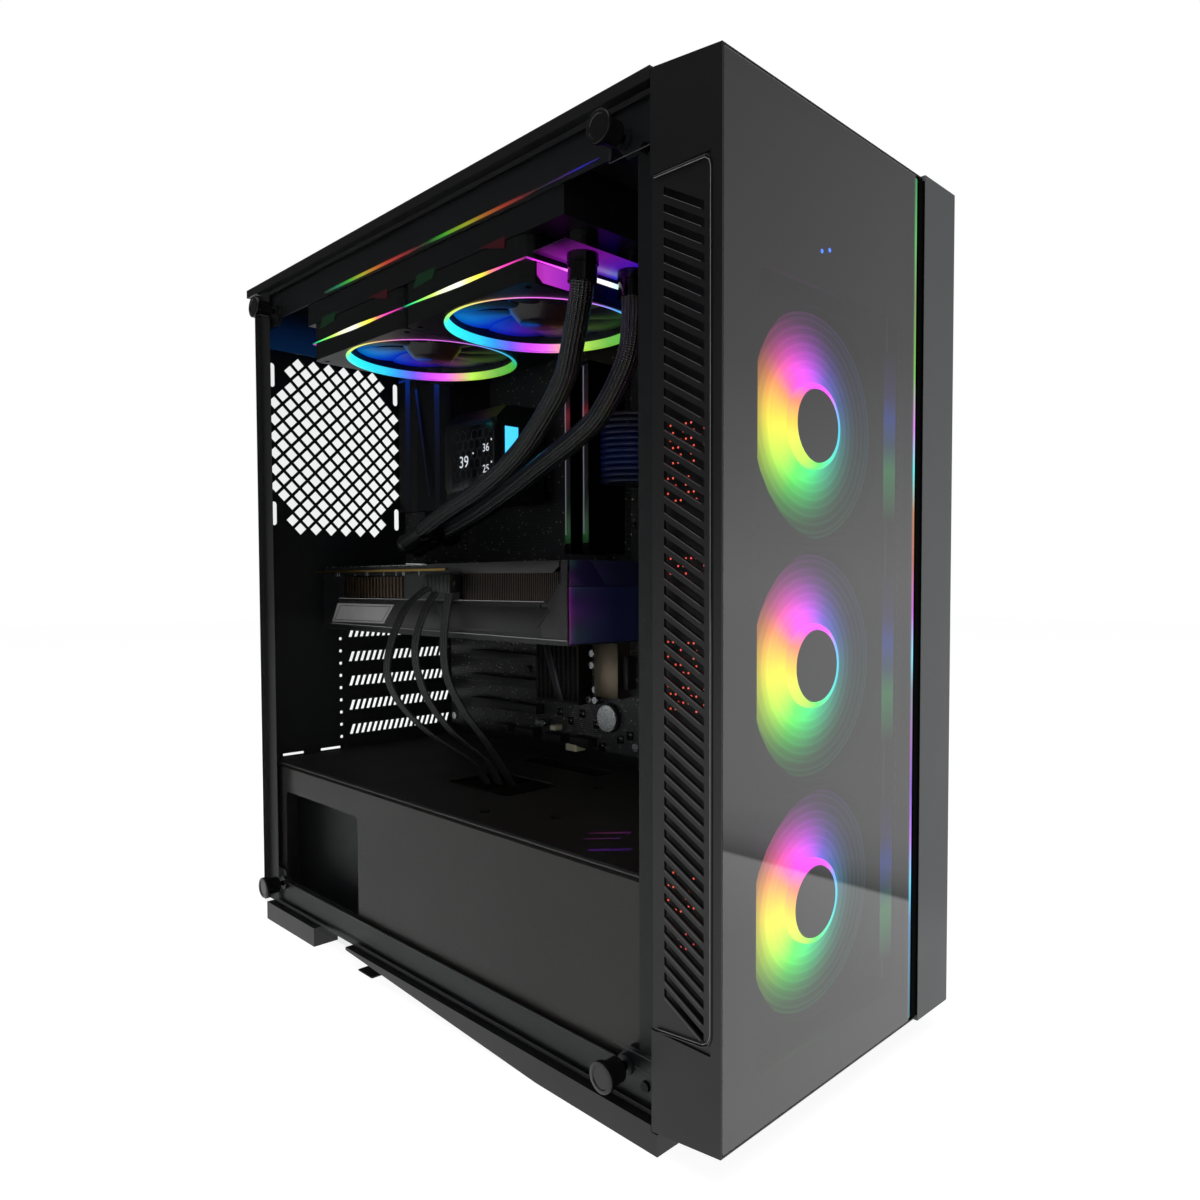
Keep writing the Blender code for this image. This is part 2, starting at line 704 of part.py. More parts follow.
def loft(rings):
    """A closed solid through rings of the same number of points, with flat ends."""
    bm = bmesh.new()
    layers = [[bm.verts.new(point) for point in ring] for ring in rings]
    bm.faces.new(layers[0])
    bm.faces.new(layers[-1])
    for lower, upper in zip(layers, layers[1:]):
        count = len(lower)
        for i in range(count):
            j = (i + 1) % count
            # The two halves of a ring split their quads alike, so a thin blade's sides stay apart.
            if i < count / 2:
                bm.faces.new((lower[i], lower[j], upper[j]))
                bm.faces.new((lower[i], upper[j], upper[i]))
            else:
                bm.faces.new((lower[i], lower[j], upper[i]))
                bm.faces.new((lower[j], upper[j], upper[i]))
    return mesh_object(bm)


def combine(body, tools, operation):
    """Applies one exact Boolean for each tool to the body, and removes the tools."""
    for tool in tools:
        step = body.modifiers.new(operation, "BOOLEAN")
        step.operation = operation
        step.solver = "EXACT"
        step.object = tool
    bpy.context.view_layer.update()
    evaluated = body.evaluated_get(bpy.context.evaluated_depsgraph_get())
    mesh = bpy.data.meshes.new_from_object(evaluated)
    body.modifiers.clear()
    body.data = mesh
    for tool in tools:
        bpy.data.objects.remove(tool)
    return body


def fuse(body, *tools):
    return combine(body, tools, "UNION")


def cut(body, *tools):
    return combine(body, tools, "DIFFERENCE")


def mirrored(outline):
    """An (x, ...) outline on the other side of the case's middle plane."""
    return [(-a, b) for a, b in reversed(outline)]


def take_mesh(shape, name):
    """The shape's mesh, named, without its object."""
    mesh = shape.data
    mesh.name = name
    bpy.data.objects.remove(shape)
    return mesh


class Tower:
    """The empty that carries the case frame, and the naming and placing of every sub-part."""

    def __init__(self):
        self.root = bpy.data.objects.new("tower", None)
        bpy.context.scene.collection.objects.link(self.root)
        middle_x = (THUMB_END + HALF_CASE) / 2
        middle_y = (COVER_REAR - PILLAR_PROUD) / 2
        self.root.location = (-middle_x, -middle_y, 0)

    def add(self, name, shape, finish, origin=(0, 0, 0), smooth=False):
        """Names a shape modelled in the case frame and puts its origin at `origin`."""
        origin = Vector(origin)
        shape.name = name
        shape.data.name = name
        shape.data.transform(Matrix.Translation(-origin))
        shape.location = origin
        shape.parent = self.root
        shape.data.materials.clear()
        shape.data.materials.append(finish)
        if smooth:
            round_off(shape.data)

    def place(self, name, mesh, finish, location, rotation):
        """Adds an object on a mesh that several pieces share, modelled about its own origin."""
        piece = bpy.data.objects.new(name, mesh)
        bpy.context.scene.collection.objects.link(piece)
        piece.location = location
        piece.rotation_euler = rotation
        piece.parent = self.root
        if not mesh.materials:
            mesh.materials.append(finish)
            round_off(mesh)


def round_off(mesh):
    """Smooth shading with the edges of flat faces kept sharp."""
    mesh.shade_smooth()
    mesh.set_sharp_from_angle(angle=math.radians(35))


# ================================================================ chassis
def side_flanges(start, end, bottom, top):
    """The two strips of sheet in the side planes between two y and two z values."""
    return [
        cuboid((-HALF_CHASSIS, start, bottom), (-SIDE_INNER, end, top)),
        cuboid((SIDE_INNER, start, bottom), (HALF_CHASSIS, end, top)),
    ]


def bracket_notches(start, end):
    """Cutters that clear the two corner brackets out of a post on the window side."""
    reach = BRACKET_HEIGHT + 2 * GAP
    low, high = -HALF_CHASSIS - SHEET, -HALF_CHASSIS + BRACKET_THICKNESS + GAP
    return [
        cuboid((low, start, FLOOR_INNER), (high, end, FLOOR_INNER + reach)),
        cuboid((low, start, CHASSIS_TOP - reach), (high, end, CHASSIS_TOP + SHEET)),
    ]


def cut_corners():
    """Cutters that keep a web clear of the posts' flanges at its four corners."""
    low, high = CHASSIS_BOTTOM - SHEET, CHASSIS_TOP + SHEET
    inner = SIDE_INNER - GAP
    outer = HALF_CHASSIS + SHEET
    cutters = []
    for near, far in (
        (WEB_FRONT - SHEET, FRONT_POST_END + GAP),
        (REAR_POST_START - GAP, WEB_REAR + SHEET),
    ):
        cutters.append(cuboid((-outer, near, low), (-inner, far, high)))
        cutters.append(cuboid((inner, near, low), (outer, far, high)))
    return cutters


def front_fan_centres():
    return [(FRONT_FAN_X, FRONT_FAN_FIRST_Z + FAN_SIZE * i) for i in range(FRONT_FAN_COUNT)]


def front_fans_middle():
    return FRONT_FAN_FIRST_Z + FAN_SIZE * (FRONT_FAN_COUNT - 1) / 2


def top_fan_centres():
    return [(TOP_FAN_X, TOP_FAN_FIRST_Y + FAN_SIZE * i) for i in range(TOP_FAN_COUNT)]


def screw_holes(centres):
    """Outlines of the four screw holes of each fan."""
    half = FAN_SCREW_PITCH / 2
    return [
        circle(a + side_a * half, b + side_b * half, FAN_SCREW_RADIUS, 6)
        for a, b in centres
        for side_a in (-1, 1)
        for side_b in (-1, 1)
    ]


def fan_openings(centres):
    """Each fan's opening in the sheet it is screwed to, and its screw holes."""
    size = 2 * (FAN_BORE - BLADE_MARGIN)
    openings = [rounded_rectangle(a, b, size, size, FAN_OPENING_ROUND) for a, b in centres]
    return openings + screw_holes(centres)


def front_wall(tower):
    wall = cuboid((-HALF_CHASSIS, FRONT_WALL, CHASSIS_BOTTOM), (HALF_CHASSIS, FRONT_INNER, CHASSIS_TOP))
    fuse(wall, *side_flanges(FRONT_WALL, FRONT_POST_END, CHASSIS_BOTTOM, CHASSIS_TOP))
    pass_width, pass_height = 0.030, 0.018
    outlines = [
        *fan_openings(front_fan_centres()),
        rounded_rectangle(POWER_X, SHELL_TOP - FRONT_CABLE_DROP, pass_width, pass_height, FAN_CORNER),
    ]
    through = prisms(outlines, "Y", FRONT_WALL - SHEET, FRONT_INNER + SHEET)
    cut(wall, through, *bracket_notches(FRONT_INNER + GAP / 2, FRONT_POST_END + SHEET))
    tower.add("front_wall", wall, powder_coat())


def grille_diamonds():
    """Diamonds on a staggered grid, kept inside an octagon with longer rows at its two ends."""
    reach = GRILLE_HOLE / 2
    diamonds = []
    for row in range(-GRILLE_ROWS, GRILLE_ROWS + 1):
        end_row = abs(row) > GRILLE_ROWS - GRILLE_END_ROWS
        limit = GRILLE_END_REACH if end_row else GRILLE_CORNER
        for column in range(-GRILLE_COLUMNS, GRILLE_COLUMNS + 1):
            if (row + column) % 2 == 0 or abs(row) + abs(column) > limit:
                continue
            x, z = GRILLE_X + column * GRILLE_STEP, GRILLE_Z + row * GRILLE_STEP
            diamonds.append([(x - reach, z), (x, z - reach), (x + reach, z), (x, z + reach)])
    return diamonds


def grille_slots():
    """The upright screw slots at the grille's four corners."""
    half = SCREW_SLOT_PITCH / 2
    radius = SCREW_SLOT_WIDTH / 2 - GAP / 2
    return [
        rounded_rectangle(
            GRILLE_X + side * half, GRILLE_Z + rise * half, SCREW_SLOT_WIDTH, SCREW_SLOT_HEIGHT, radius, 2
        )
        for side in (-1, 1)
        for rise in (-1, 1)
    ]


def slot_levels():
    return [SLOT_TOP_Z - SLOT_PITCH * i for i in range(SLOT_COUNT)]


def slot_vents(level):
    """The row of leaning vents in one slot's cover."""
    pitch = SLOT_WIDTH / SLOT_VENTS
    return [
        rectangle(SLOT_LEFT + pitch * (i + 0.5), level, SLOT_VENT_WIDTH, SLOT_VENT_HEIGHT, SLOT_VENT_LEAN)
        for i in range(SLOT_VENTS)
    ]


def slot_holes(levels):
    """Two small round holes beside every slot."""
    x = SLOT_LEFT - SLOT_HOLE_OFFSET
    return [circle(x, z + side * SLOT_PITCH / 4, SLOT_HOLE_RADIUS, 6) for z in levels for side in (-1, 1)]


def rear_wall(tower):
    wall = cuboid((-HALF_CHASSIS, REAR_INNER, CHASSIS_BOTTOM), (HALF_CHASSIS, CHASSIS_REAR, CHASSIS_TOP))
    fuse(wall, *side_flanges(REAR_POST_START, CHASSIS_REAR, CHASSIS_BOTTOM, CHASSIS_TOP))
    levels = slot_levels()
    middle = SLOT_LEFT + SLOT_WIDTH / 2
    holes = [rectangle(middle, z, SLOT_WIDTH, SLOT_OPENING) for z in levels[:CARD_SLOTS]]
    for z in levels[CARD_SLOTS:]:
        holes += slot_vents(z)
    holes += grille_diamonds() + grille_slots() + slot_holes(levels)
    slit_z = SHROUD_TOP + SHROUD_SLIT_HEIGHT
    holes += [rectangle(x, slit_z, width, SHROUD_SLIT_HEIGHT) for x, width in SHROUD_SLITS]
    ports_x = BOARD_FACE - PORTS_WIDTH / 2
    holes.append(rectangle(ports_x, PORTS_Z, PORTS_WIDTH + 2 * GAP, PORTS_HEIGHT + 2 * GAP))
    margin = 2 * SUPPLY_OPENING_MARGIN
    holes.append(rectangle(0, SUPPLY_MIDDLE_Z, SUPPLY_WIDTH - margin, SUPPLY_HEIGHT - margin))
    holes += [circle(PANEL_SCREW_X, z, THUMB_SHAFT + GAP, 8) for z in PANEL_SCREW_LEVELS]
    pattern = prisms(holes, "Y", REAR_INNER - SHEET, CHASSIS_REAR + SHEET)
    cut(wall, pattern, *bracket_notches(REAR_POST_START - SHEET, REAR_INNER - GAP / 2))
    tower.add("rear_wall", wall, powder_coat())


def side_strips(bottom, top):
    """A web's two side flanges: the window side clears the brackets, the other side the posts."""
    return [
        cuboid(
            (-HALF_CHASSIS, FRONT_BRACKET_END + GAP, bottom), (-SIDE_INNER, REAR_BRACKET_END - GAP, top)
        ),
        cuboid((SIDE_INNER, FRONT_POST_END + GAP, bottom), (HALF_CHASSIS, REAR_POST_START - GAP, top)),
    ]


def base_pan(tower):
    pan = cuboid((-HALF_CHASSIS, WEB_FRONT, CHASSIS_BOTTOM), (HALF_CHASSIS, WEB_REAR, FLOOR_INNER))
    rail = filter_rail()
    rails = [prism(outline, "Y", FILTER_FRONT, WEB_REAR) for outline in (rail, mirrored(rail))]
    fuse(pan, *side_strips(CHASSIS_BOTTOM, FLOOR_INNER + BOTTOM_FLANGE), *rails)
    vent_size, vent_round = 2 * SUPPLY_FAN_RADIUS, 0.020
    vent = rounded_rectangle(0, SUPPLY_FAN_Y, vent_size, vent_size, vent_round)
    cut(pan, prism(vent, "Z", CHASSIS_BOTTOM - SHEET, FLOOR_INNER + SHEET), *cut_corners())
    tower.add("base_pan", pan, powder_coat())


def filter_rail():
    """The (x, z) outline of the rail that carries the power supply's dust filter at +x."""
    outer, inner = RAIL_INNER + RAIL_WALL, RAIL_INNER - RAIL_LIP
    root = CHASSIS_BOTTOM + SHEET / 2
    low = RAIL_FLOOR - RAIL_FLOOR_THICKNESS
    return [
        (outer, root),
        (outer, low),
        (inner, low),
        (inner, RAIL_FLOOR),
        (RAIL_INNER, RAIL_FLOOR),
        (RAIL_INNER, root),
    ]


def top_plate(tower):
    plate = cuboid((-HALF_CHASSIS, WEB_FRONT, TOP_WEB), (HALF_CHASSIS, WEB_REAR, TOP_WEB + SHEET))
    fuse(plate, *side_strips(CHASSIS_TOP - TOP_FLANGE, CHASSIS_TOP))
    through = prisms(fan_openings(top_fan_centres()), "Z", TOP_WEB - SHEET, TOP_WEB + 2 * SHEET)
    side = -HALF_CHASSIS + BRACKET_THICKNESS + GAP
    low, high = CHASSIS_TOP - BRACKET_HEIGHT - 2 * GAP, CHASSIS_TOP + SHEET
    bracket_room = [
        cuboid((-HALF_CHASSIS - SHEET, WEB_FRONT - SHEET, low), (side, FRONT_BRACKET_END + GAP, high)),
        cuboid((-HALF_CHASSIS - SHEET, REAR_BRACKET_END - GAP, low), (side, WEB_REAR + SHEET, high)),
    ]
    cut(plate, through, *cut_corners(), *bracket_room)
    tower.add("top_plate", plate, powder_coat())


def motherboard_tray(tower):
    tray = cuboid((TRAY_X, WEB_FRONT, FLOOR_INNER + GAP), (TRAY_X + SHEET, WEB_REAR, TOP_WEB - GAP))
    opening_depth, opening_height, opening_round = 0.110, 0.120, 0.008
    supply_forward, supply_pass, supply_height = 0.045, 0.070, 0.060
    pass_y = BOARD_FRONT - TRAY_PASS_FORWARD
    outlines = [
        rounded_rectangle(PUMP_CENTRE_Y, PUMP_CENTRE_Z, opening_depth, opening_height, opening_round),
        rounded_rectangle(
            SUPPLY_FRONT - supply_forward, SUPPLY_MIDDLE_Z, supply_pass, supply_height, opening_round
        ),
        *(
            rounded_rectangle(pass_y, z, TRAY_PASS_WIDTH, TRAY_PASS_HEIGHT, TRAY_PASS_ROUND)
            for z in TRAY_PASS_LEVELS
        ),
    ]
    cut(tray, prisms(outlines, "X", TRAY_X - SHEET, TRAY_X + 2 * SHEET))
    tower.add("motherboard_tray", tray, powder_coat())


def psu_shroud(tower):
    bottom, top = FLOOR_INNER + GAP, SHROUD_TOP
    side, end, fold = SHROUD_SIDE_X, TRAY_X - GAP, SHROUD_FOLD
    outline = [
        (side, bottom),
        (side, top - fold),
        (side + fold, top),
        (end, top),
        (end, top - SHEET),
        (side + fold + SHEET / 2, top - SHEET),
        (side + SHEET, top - fold - SHEET / 2),
        (side + SHEET, bottom),
    ]
    shroud = prism(outline, "Y", WEB_FRONT, WEB_REAR)
    window = rounded_rectangle(
        SHROUD_WINDOW_Y, SHROUD_WINDOW_Z, SHROUD_WINDOW_WIDTH, SHROUD_WINDOW_HEIGHT, 0.004
    )
    board_slot_inset, board_slot_setback, board_slot_width, board_slot_length = 0.030, 0.060, 0.020, 0.090
    corner = 0.006
    slots = [
        rounded_rectangle(CABLE_SLOT_X, CABLE_SLOT_Y, CABLE_SLOT_WIDTH, CABLE_SLOT_LENGTH, corner),
        rounded_rectangle(
            TRAY_X - board_slot_inset,
            BOARD_FRONT + board_slot_setback,
            board_slot_width,
            board_slot_length,
            corner,
        ),
    ]
    cut(
        shroud,
        prism(window, "X", side - SHEET, side + 2 * SHEET),
        prisms(slots, "Z", top - 2 * SHEET, top + SHEET),
    )
    tower.add("psu_shroud", shroud, powder_coat())


# ================================================================ outer covers
def top_cover(tower):
    bottom = CHASSIS_TOP + GAP
    top = bottom + COVER_THICKNESS
    cover = cuboid((-HALF_CASE, SHELL_DEPTH + GAP, bottom), (HALF_CASE, COVER_REAR, top))
    middle = (COVER_OPENING_START + COVER_OPENING_END) / 2
    width, length = COVER_OPENING_WIDTH, COVER_OPENING_END - COVER_OPENING_START
    rim_width, rim_length = width + 2 * FILTER_REBATE, length + 2 * FILTER_REBATE
    corner = 0.008
    opening = rounded_rectangle(0, middle, width, length, corner)
    rebate = rounded_rectangle(0, middle, rim_width, rim_length, corner)
    cut(
        cover,
        prism(opening, "Z", bottom - SHEET, top + SHEET),
        prism(rebate, "Z", top - FILTER_THICKNESS - GAP, top + SHEET),
    )
    tower.add("top_cover", cover, black_plastic())

    outline = rounded_rectangle(0, middle, rim_width - 2 * GAP, rim_length - 2 * GAP, corner - GAP)
    screen = prism(outline, "Z", top - FILTER_THICKNESS, top)
    tower.add("top_dust_filter", screen, black_plastic(), origin=(0, middle, top))


def vent_outlines():
    """Slanted slots in the shell's sides: low at the front, high at the rear."""
    drop = VENT_REACH * math.tan(VENT_SLANT)
    rear, half = VENT_FRONT + VENT_REACH, VENT_HEIGHT / 2
    outlines = []
    for i in range(VENT_COUNT):
        high = VENT_TOP - VENT_PITCH * i
        low = high - drop
        outlines.append(
            [(VENT_FRONT, low - half), (rear, high - half), (rear, high + half), (VENT_FRONT, low + half)]
        )
    return outlines


def shell_profile(front, back, inset):
    """The shell's side outline (y, z) between two depths, drawn in by a wall."""
    slope = SHELL_TAPER / SHELL_DEPTH
    return [
        (front, SHELL_FRONT_BOTTOM - slope * front + inset),
        (back, SHELL_FRONT_BOTTOM - slope * back + inset),
        (back, SHELL_FRONT_TOP + slope * back - inset),
        (front, SHELL_FRONT_TOP + slope * front - inset),
    ]


def usb_centres():
    return [USB_FIRST_X - USB_PITCH * i for i in range(USB_COUNT)]


def vent_panels():
    """Cutters that set the vented field of each side a little below the shell's skin."""
    cutters = []
    for side in (-1, 1):
        low, high = sorted((side * (HALF_CASE - VENT_PANEL_DEPTH), side * (HALF_CASE + SHEET)))
        cutters.append(
            cuboid(
                (low, VENT_PANEL_FRONT, VENT_PANEL_BOTTOM), (high, SHELL_DEPTH + SHEET, VENT_PANEL_TOP)
            )
        )
    return cutters


def front_shell(tower):
    shell = prism(shell_profile(0.0, SHELL_DEPTH, 0.0), "X", -HALF_CASE, HALF_CASE)
    inner = HALF_CASE - SHELL_WALL
    cavity = prism(shell_profile(SHELL_SKIN, SHELL_DEPTH + SHEET, SHELL_WALL), "X", -inner, inner)
    low, high = SHELL_FRONT_BOTTOM + FRONT_LIP, SHELL_FRONT_TOP - FRONT_LIP
    glass_bay = cuboid((-HALF_CASE + FRONT_LIP, -SHEET, low), (PILLAR_LEFT, FRONT_RECESS, high))
    pillar_bay = cuboid(
        (PILLAR_LEFT - SHEET, -SHEET, SHELL_BOTTOM), (HALF_CASE + SHEET, FRONT_RECESS, SHELL_TOP)
    )
    intake = rounded_rectangle(
        (INTAKE_LEFT + INTAKE_RIGHT) / 2,
        front_fans_middle(),
        INTAKE_RIGHT - INTAKE_LEFT,
        FAN_SIZE * FRONT_FAN_COUNT,
        FAN_CORNER,
    )
    throat = prism(intake, "Y", -SHEET, SHELL_SKIN + SHEET)
    vents = prisms(vent_outlines(), "X", -HALF_CASE - SHEET, HALF_CASE + SHEET)
    controls = [
        circle(POWER_X, CONTROL_Y, POWER_RADIUS + GAP, 20),
        circle(RESET_X, CONTROL_Y, RESET_RADIUS + GAP, 12),
        circle(JACK_X, CONTROL_Y, JACK_RADIUS + GAP, 12),
        *(rectangle(x, CONTROL_Y, USB_WIDTH + 2 * GAP, USB_DEPTH + 2 * GAP) for x in usb_centres()),
    ]
    holes = prisms(controls, "Z", CONTROL_TOP - CONTROL_HOLE_DEPTH, SHELL_TOP + SHEET)
    cut(shell, cavity, glass_bay, pillar_bay, throat, *vent_panels(), vents, holes)
    tower.add("front_shell", shell, black_plastic())


def front_glass(tower):
    low, high = SHELL_FRONT_BOTTOM + FRONT_LIP + GAP, SHELL_FRONT_TOP - FRONT_LIP - GAP
    back = FRONT_RECESS - GAP
    pane = cuboid((-HALF_CASE + FRONT_LIP + GAP, 0, low), (FRONT_GLASS_RIGHT, back, high))
    tower.add("front_glass", pane, tinted_glass())

    left = FRONT_GLASS_RIGHT + GAP
    strip = cuboid((left, FRONT_LIP, low), (left + LIGHT_STRIP_WIDTH, back, high))
    tower.add("light_strip", strip, light_diffuser())


def front_pillar(tower):
    low, high = SHELL_FRONT_BOTTOM - PILLAR_OVERHANG, SHELL_FRONT_TOP + PILLAR_OVERHANG
    front, back = -PILLAR_PROUD, FRONT_RECESS - GAP
    chords = 4
    outline = [(PILLAR_LEFT, back), (PILLAR_LEFT, front)]
    for i in range(chords + 1):
        angle = math.pi / 2 * i / chords
        x = HALF_CASE - PILLAR_ROUND + PILLAR_ROUND * math.sin(angle)
        outline.append((x, front + PILLAR_ROUND - PILLAR_ROUND * math.cos(angle)))
    outline.append((HALF_CASE, back))
    tower.add("front_pillar", prism(outline, "Z", low, high), black_plastic())


def front_buttons(tower):
    top = CONTROL_TOP + BUTTON_PROUD
    for name, x, radius, sides in (
        ("power_button", POWER_X, POWER_RADIUS, 20),
        ("reset_button", RESET_X, RESET_RADIUS, 12),
    ):
        button = cylinder("Z", x, CONTROL_Y, radius, top - BUTTON_STEM, top, sides)
        tower.add(name, button, bare_metal(), origin=(x, CONTROL_Y, top), smooth=True)


def front_ports(tower):
    low = CONTROL_BOARD
    left, right = JACK_X - CONTROL_BOARD_MARGIN, POWER_X + CONTROL_BOARD_MARGIN
    half = CONTROL_BOARD_WIDTH / 2
    ports = cuboid((left, CONTROL_Y - half, low), (right, CONTROL_Y + half, low + BOARD_THICKNESS))
    seat = low + BOARD_THICKNESS / 2
    shells = [
        cuboid(
            (x - USB_WIDTH / 2, CONTROL_Y - USB_DEPTH / 2, seat),
            (x + USB_WIDTH / 2, CONTROL_Y + USB_DEPTH / 2, CONTROL_TOP),
        )
        for x in usb_centres()
    ]
    fuse(ports, *shells, cylinder("Z", JACK_X, CONTROL_Y, JACK_RADIUS, seat, CONTROL_TOP, 12))
    cavities = [rectangle(x, CONTROL_Y, USB_CAVITY_WIDTH, USB_CAVITY_DEPTH) for x in usb_centres()]
    cavities.append(circle(JACK_X, CONTROL_Y, JACK_BORE, 12))
    cut(ports, prisms(cavities, "Z", CONTROL_TOP - USB_CAVITY, CONTROL_TOP + SHEET))
    tower.add("front_io_ports", ports, black_plastic())


def feet(tower):
    top, step = CHASSIS_BOTTOM - GAP, SHELL_BOTTOM - GAP
    behind = SHELL_DEPTH + GAP
    side = [
        (FRONT_FOOT_START, 0),
        (FRONT_FOOT_END, 0),
        (FRONT_FOOT_WEDGE_END, top - FOOT_WEDGE_TIP),
        (FRONT_FOOT_WEDGE_END, top),
        (behind, top),
        (behind, step),
        (FRONT_FOOT_START, step),
    ]
    foot = prism(side, "X", -HALF_CASE, -HALF_CASE + FOOT_WIDTH)
    right = prism(side, "X", HALF_CASE - FOOT_WIDTH, HALF_CASE)
    reach = HALF_CASE - SHEET
    beam = cuboid((-reach, behind, FOOT_BEAM_BOTTOM), (reach, behind + FOOT_BEAM, top))
    fuse(foot, right, beam)
    tower.add("front_foot", foot, black_plastic())
    start, end = CHASSIS_REAR - REAR_FOOT_SETBACK, CHASSIS_REAR - REAR_FOOT_MARGIN
    for name, sign in (("rear_foot_left", -1), ("rear_foot_right", 1)):
        low, high = sorted((sign * HALF_CASE, sign * (HALF_CASE - FOOT_WIDTH)))
        tower.add(name, cuboid((low, start, 0), (high, end, top)), black_plastic())


# ================================================================ window side
def window_corners():
    """Name, thumbscrew (y, z), wall's y, free end's y, outer edge's z and inward z of each corner."""
    low, high = FLOOR_INNER + GAP, CHASSIS_TOP - GAP
    return [
        ("front_bottom", FRONT_SCREW_Y, LOW_SCREW_Z, WEB_FRONT, FRONT_BRACKET_END, low, 1),
        ("front_top", FRONT_SCREW_Y, HIGH_SCREW_Z, WEB_FRONT, FRONT_BRACKET_END, high, -1),
        ("rear_bottom", REAR_SCREW_Y, LOW_SCREW_Z, WEB_REAR, REAR_BRACKET_END, low, 1),
        ("rear_top", REAR_SCREW_Y, HIGH_SCREW_Z, WEB_REAR, REAR_BRACKET_END, high, -1),
    ]


def corner_brackets(tower):
    face = -HALF_CHASSIS
    for name, screw_y, screw_z, wall, end, edge, up in window_corners():
        inward = 1 if end > wall else -1
        far = edge + up * BRACKET_HEIGHT
        outline = [
            (wall, edge),
            (end, edge),
            (end, far - up * BRACKET_CHAMFER),
            (end - inward * BRACKET_CHAMFER, far),
            (wall, far),
        ]
        bracket = prism(outline, "X", face, face + BRACKET_THICKNESS)
        post = cylinder("X", screw_y, screw_z, WINDOW_POST_RADIUS, face - WINDOW_POST, face + SHEET, 16)
        fuse(bracket, post)
        reach = BRACKET_THICKNESS + WINDOW_POST
        cut(bracket, cylinder("X", screw_y, screw_z, THUMB_SHAFT + GAP, face - reach, face + reach, 12))
        tower.add(f"corner_bracket_{name}", bracket, powder_coat())


def side_glass(tower):
    pane = cuboid((GLASS_OUTER, SIDE_FRONT, SIDE_BOTTOM), (GLASS_INNER, WINDOW_REAR, SIDE_TOP))
    holes = [circle(y, z, WINDOW_HOLE, 16) for _, y, z, *_ in window_corners()]
    cut(pane, prisms(holes, "X", GLASS_OUTER - SHEET, GLASS_INNER + SHEET))
    tower.add("side_glass", pane, clear_glass())


def thumbscrew(axis, across, up, face, outward, sizes):
    """A screw with a rim, a barrel and a shaft, lying on `axis` with its barrel on `face`."""
    rim_radius, barrel_radius, rim, barrel, shaft = sizes
    near = face + outward * GAP
    screw = cylinder(axis, across, up, barrel_radius, near, near + outward * (barrel + rim / 2), 16)
    head = cylinder(axis, across, up, rim_radius, near + outward * barrel, near + outward * (barrel + rim))
    stem = cylinder(axis, across, up, THUMB_SHAFT, near - outward * shaft, near + outward * barrel / 2, 8)
    return fuse(screw, head, stem)


def window_thumbscrews(tower):
    reach = GLASS_THICKNESS + WINDOW_POST + BRACKET_THICKNESS
    sizes = (THUMB_RADIUS, THUMB_BARREL_RADIUS, THUMB_RIM, THUMB_BARREL, reach)
    for name, y, z, *_ in window_corners():
        screw = thumbscrew("X", y, z, GLASS_OUTER, -1, sizes)
        tower.add(f"window_thumbscrew_{name}", screw, black_plastic(), (GLASS_OUTER, y, z), smooth=True)


def right_panel(tower):
    outer = HALF_CASE
    panel = cuboid((outer - SHEET, SIDE_FRONT, SIDE_BOTTOM), (outer, CHASSIS_REAR, SIDE_TOP))
    near = CHASSIS_REAR + GAP
    face = near + SHEET
    low, high = SIDE_BOTTOM + PANEL_TAB_MARGIN, SIDE_TOP - PANEL_TAB_MARGIN
    tab = cuboid((outer - PANEL_TAB_WIDTH, near, low), (outer, face, high))
    fold = cuboid((outer - SHEET, CHASSIS_REAR - 2 * SHEET, low), (outer, face, high))
    fuse(panel, tab, fold)
    holes = [circle(PANEL_SCREW_X, z, THUMB_SHAFT + GAP, 8) for z in PANEL_SCREW_LEVELS]
    cut(panel, prisms(holes, "Y", CHASSIS_REAR - SHEET, face + SHEET))
    tower.add("right_panel", panel, powder_coat())

    sizes = (
        PANEL_THUMB_RADIUS,
        PANEL_THUMB_BARREL_RADIUS,
        PANEL_THUMB_RIM,
        PANEL_THUMB_BARREL,
        PANEL_SCREW_REACH,
    )
    for name, z in zip(("lower", "upper"), PANEL_SCREW_LEVELS):
        screw = thumbscrew("Y", PANEL_SCREW_X, z, face, 1, sizes)
        tower.add(f"panel_thumbscrew_{name}", screw, bare_metal(), (PANEL_SCREW_X, face, z), smooth=True)


# ================================================================ fans
def fan_frame_mesh():
    """A square frame about z: the motor plate and its struts at z 0, the open face at FAN_DEPTH."""
    side = FAN_SIZE - 2 * GAP
    frame = prism(rounded_rectangle(0, 0, side, side, FAN_CORNER, 2), "Z", 0, FAN_DEPTH)
    cut(frame, cylinder("Z", 0, 0, FAN_BORE, -SHEET, FAN_DEPTH + SHEET, 32))
    struts = []
    for turn in range(4):
        angle = math.pi / 2 * turn + FAN_STRUT_TURN
        reach = Vector((math.cos(angle), math.sin(angle)))
        across = Vector((-reach.y, reach.x)) * FAN_STRUT_WIDTH / 2
        ends = [reach * FAN_HUB / 2, reach * (FAN_BORE + SHEET)]
        outline = [ends[0] - across, ends[1] - across, ends[1] + across, ends[0] + across]
        struts.append(prism([(p.x, p.y) for p in outline], "Z", 0, FAN_STRUT_THICKNESS))
    plate = cylinder("Z", 0, 0, FAN_HUB, 0, FAN_STRUT_THICKNESS + SHEET / 2, 16)
    fuse(frame, plate, *struts)
    cut(frame, prisms(screw_holes([(0, 0)]), "Z", -SHEET, FAN_DEPTH + SHEET))
    return take_mesh(frame, "fan_frame")


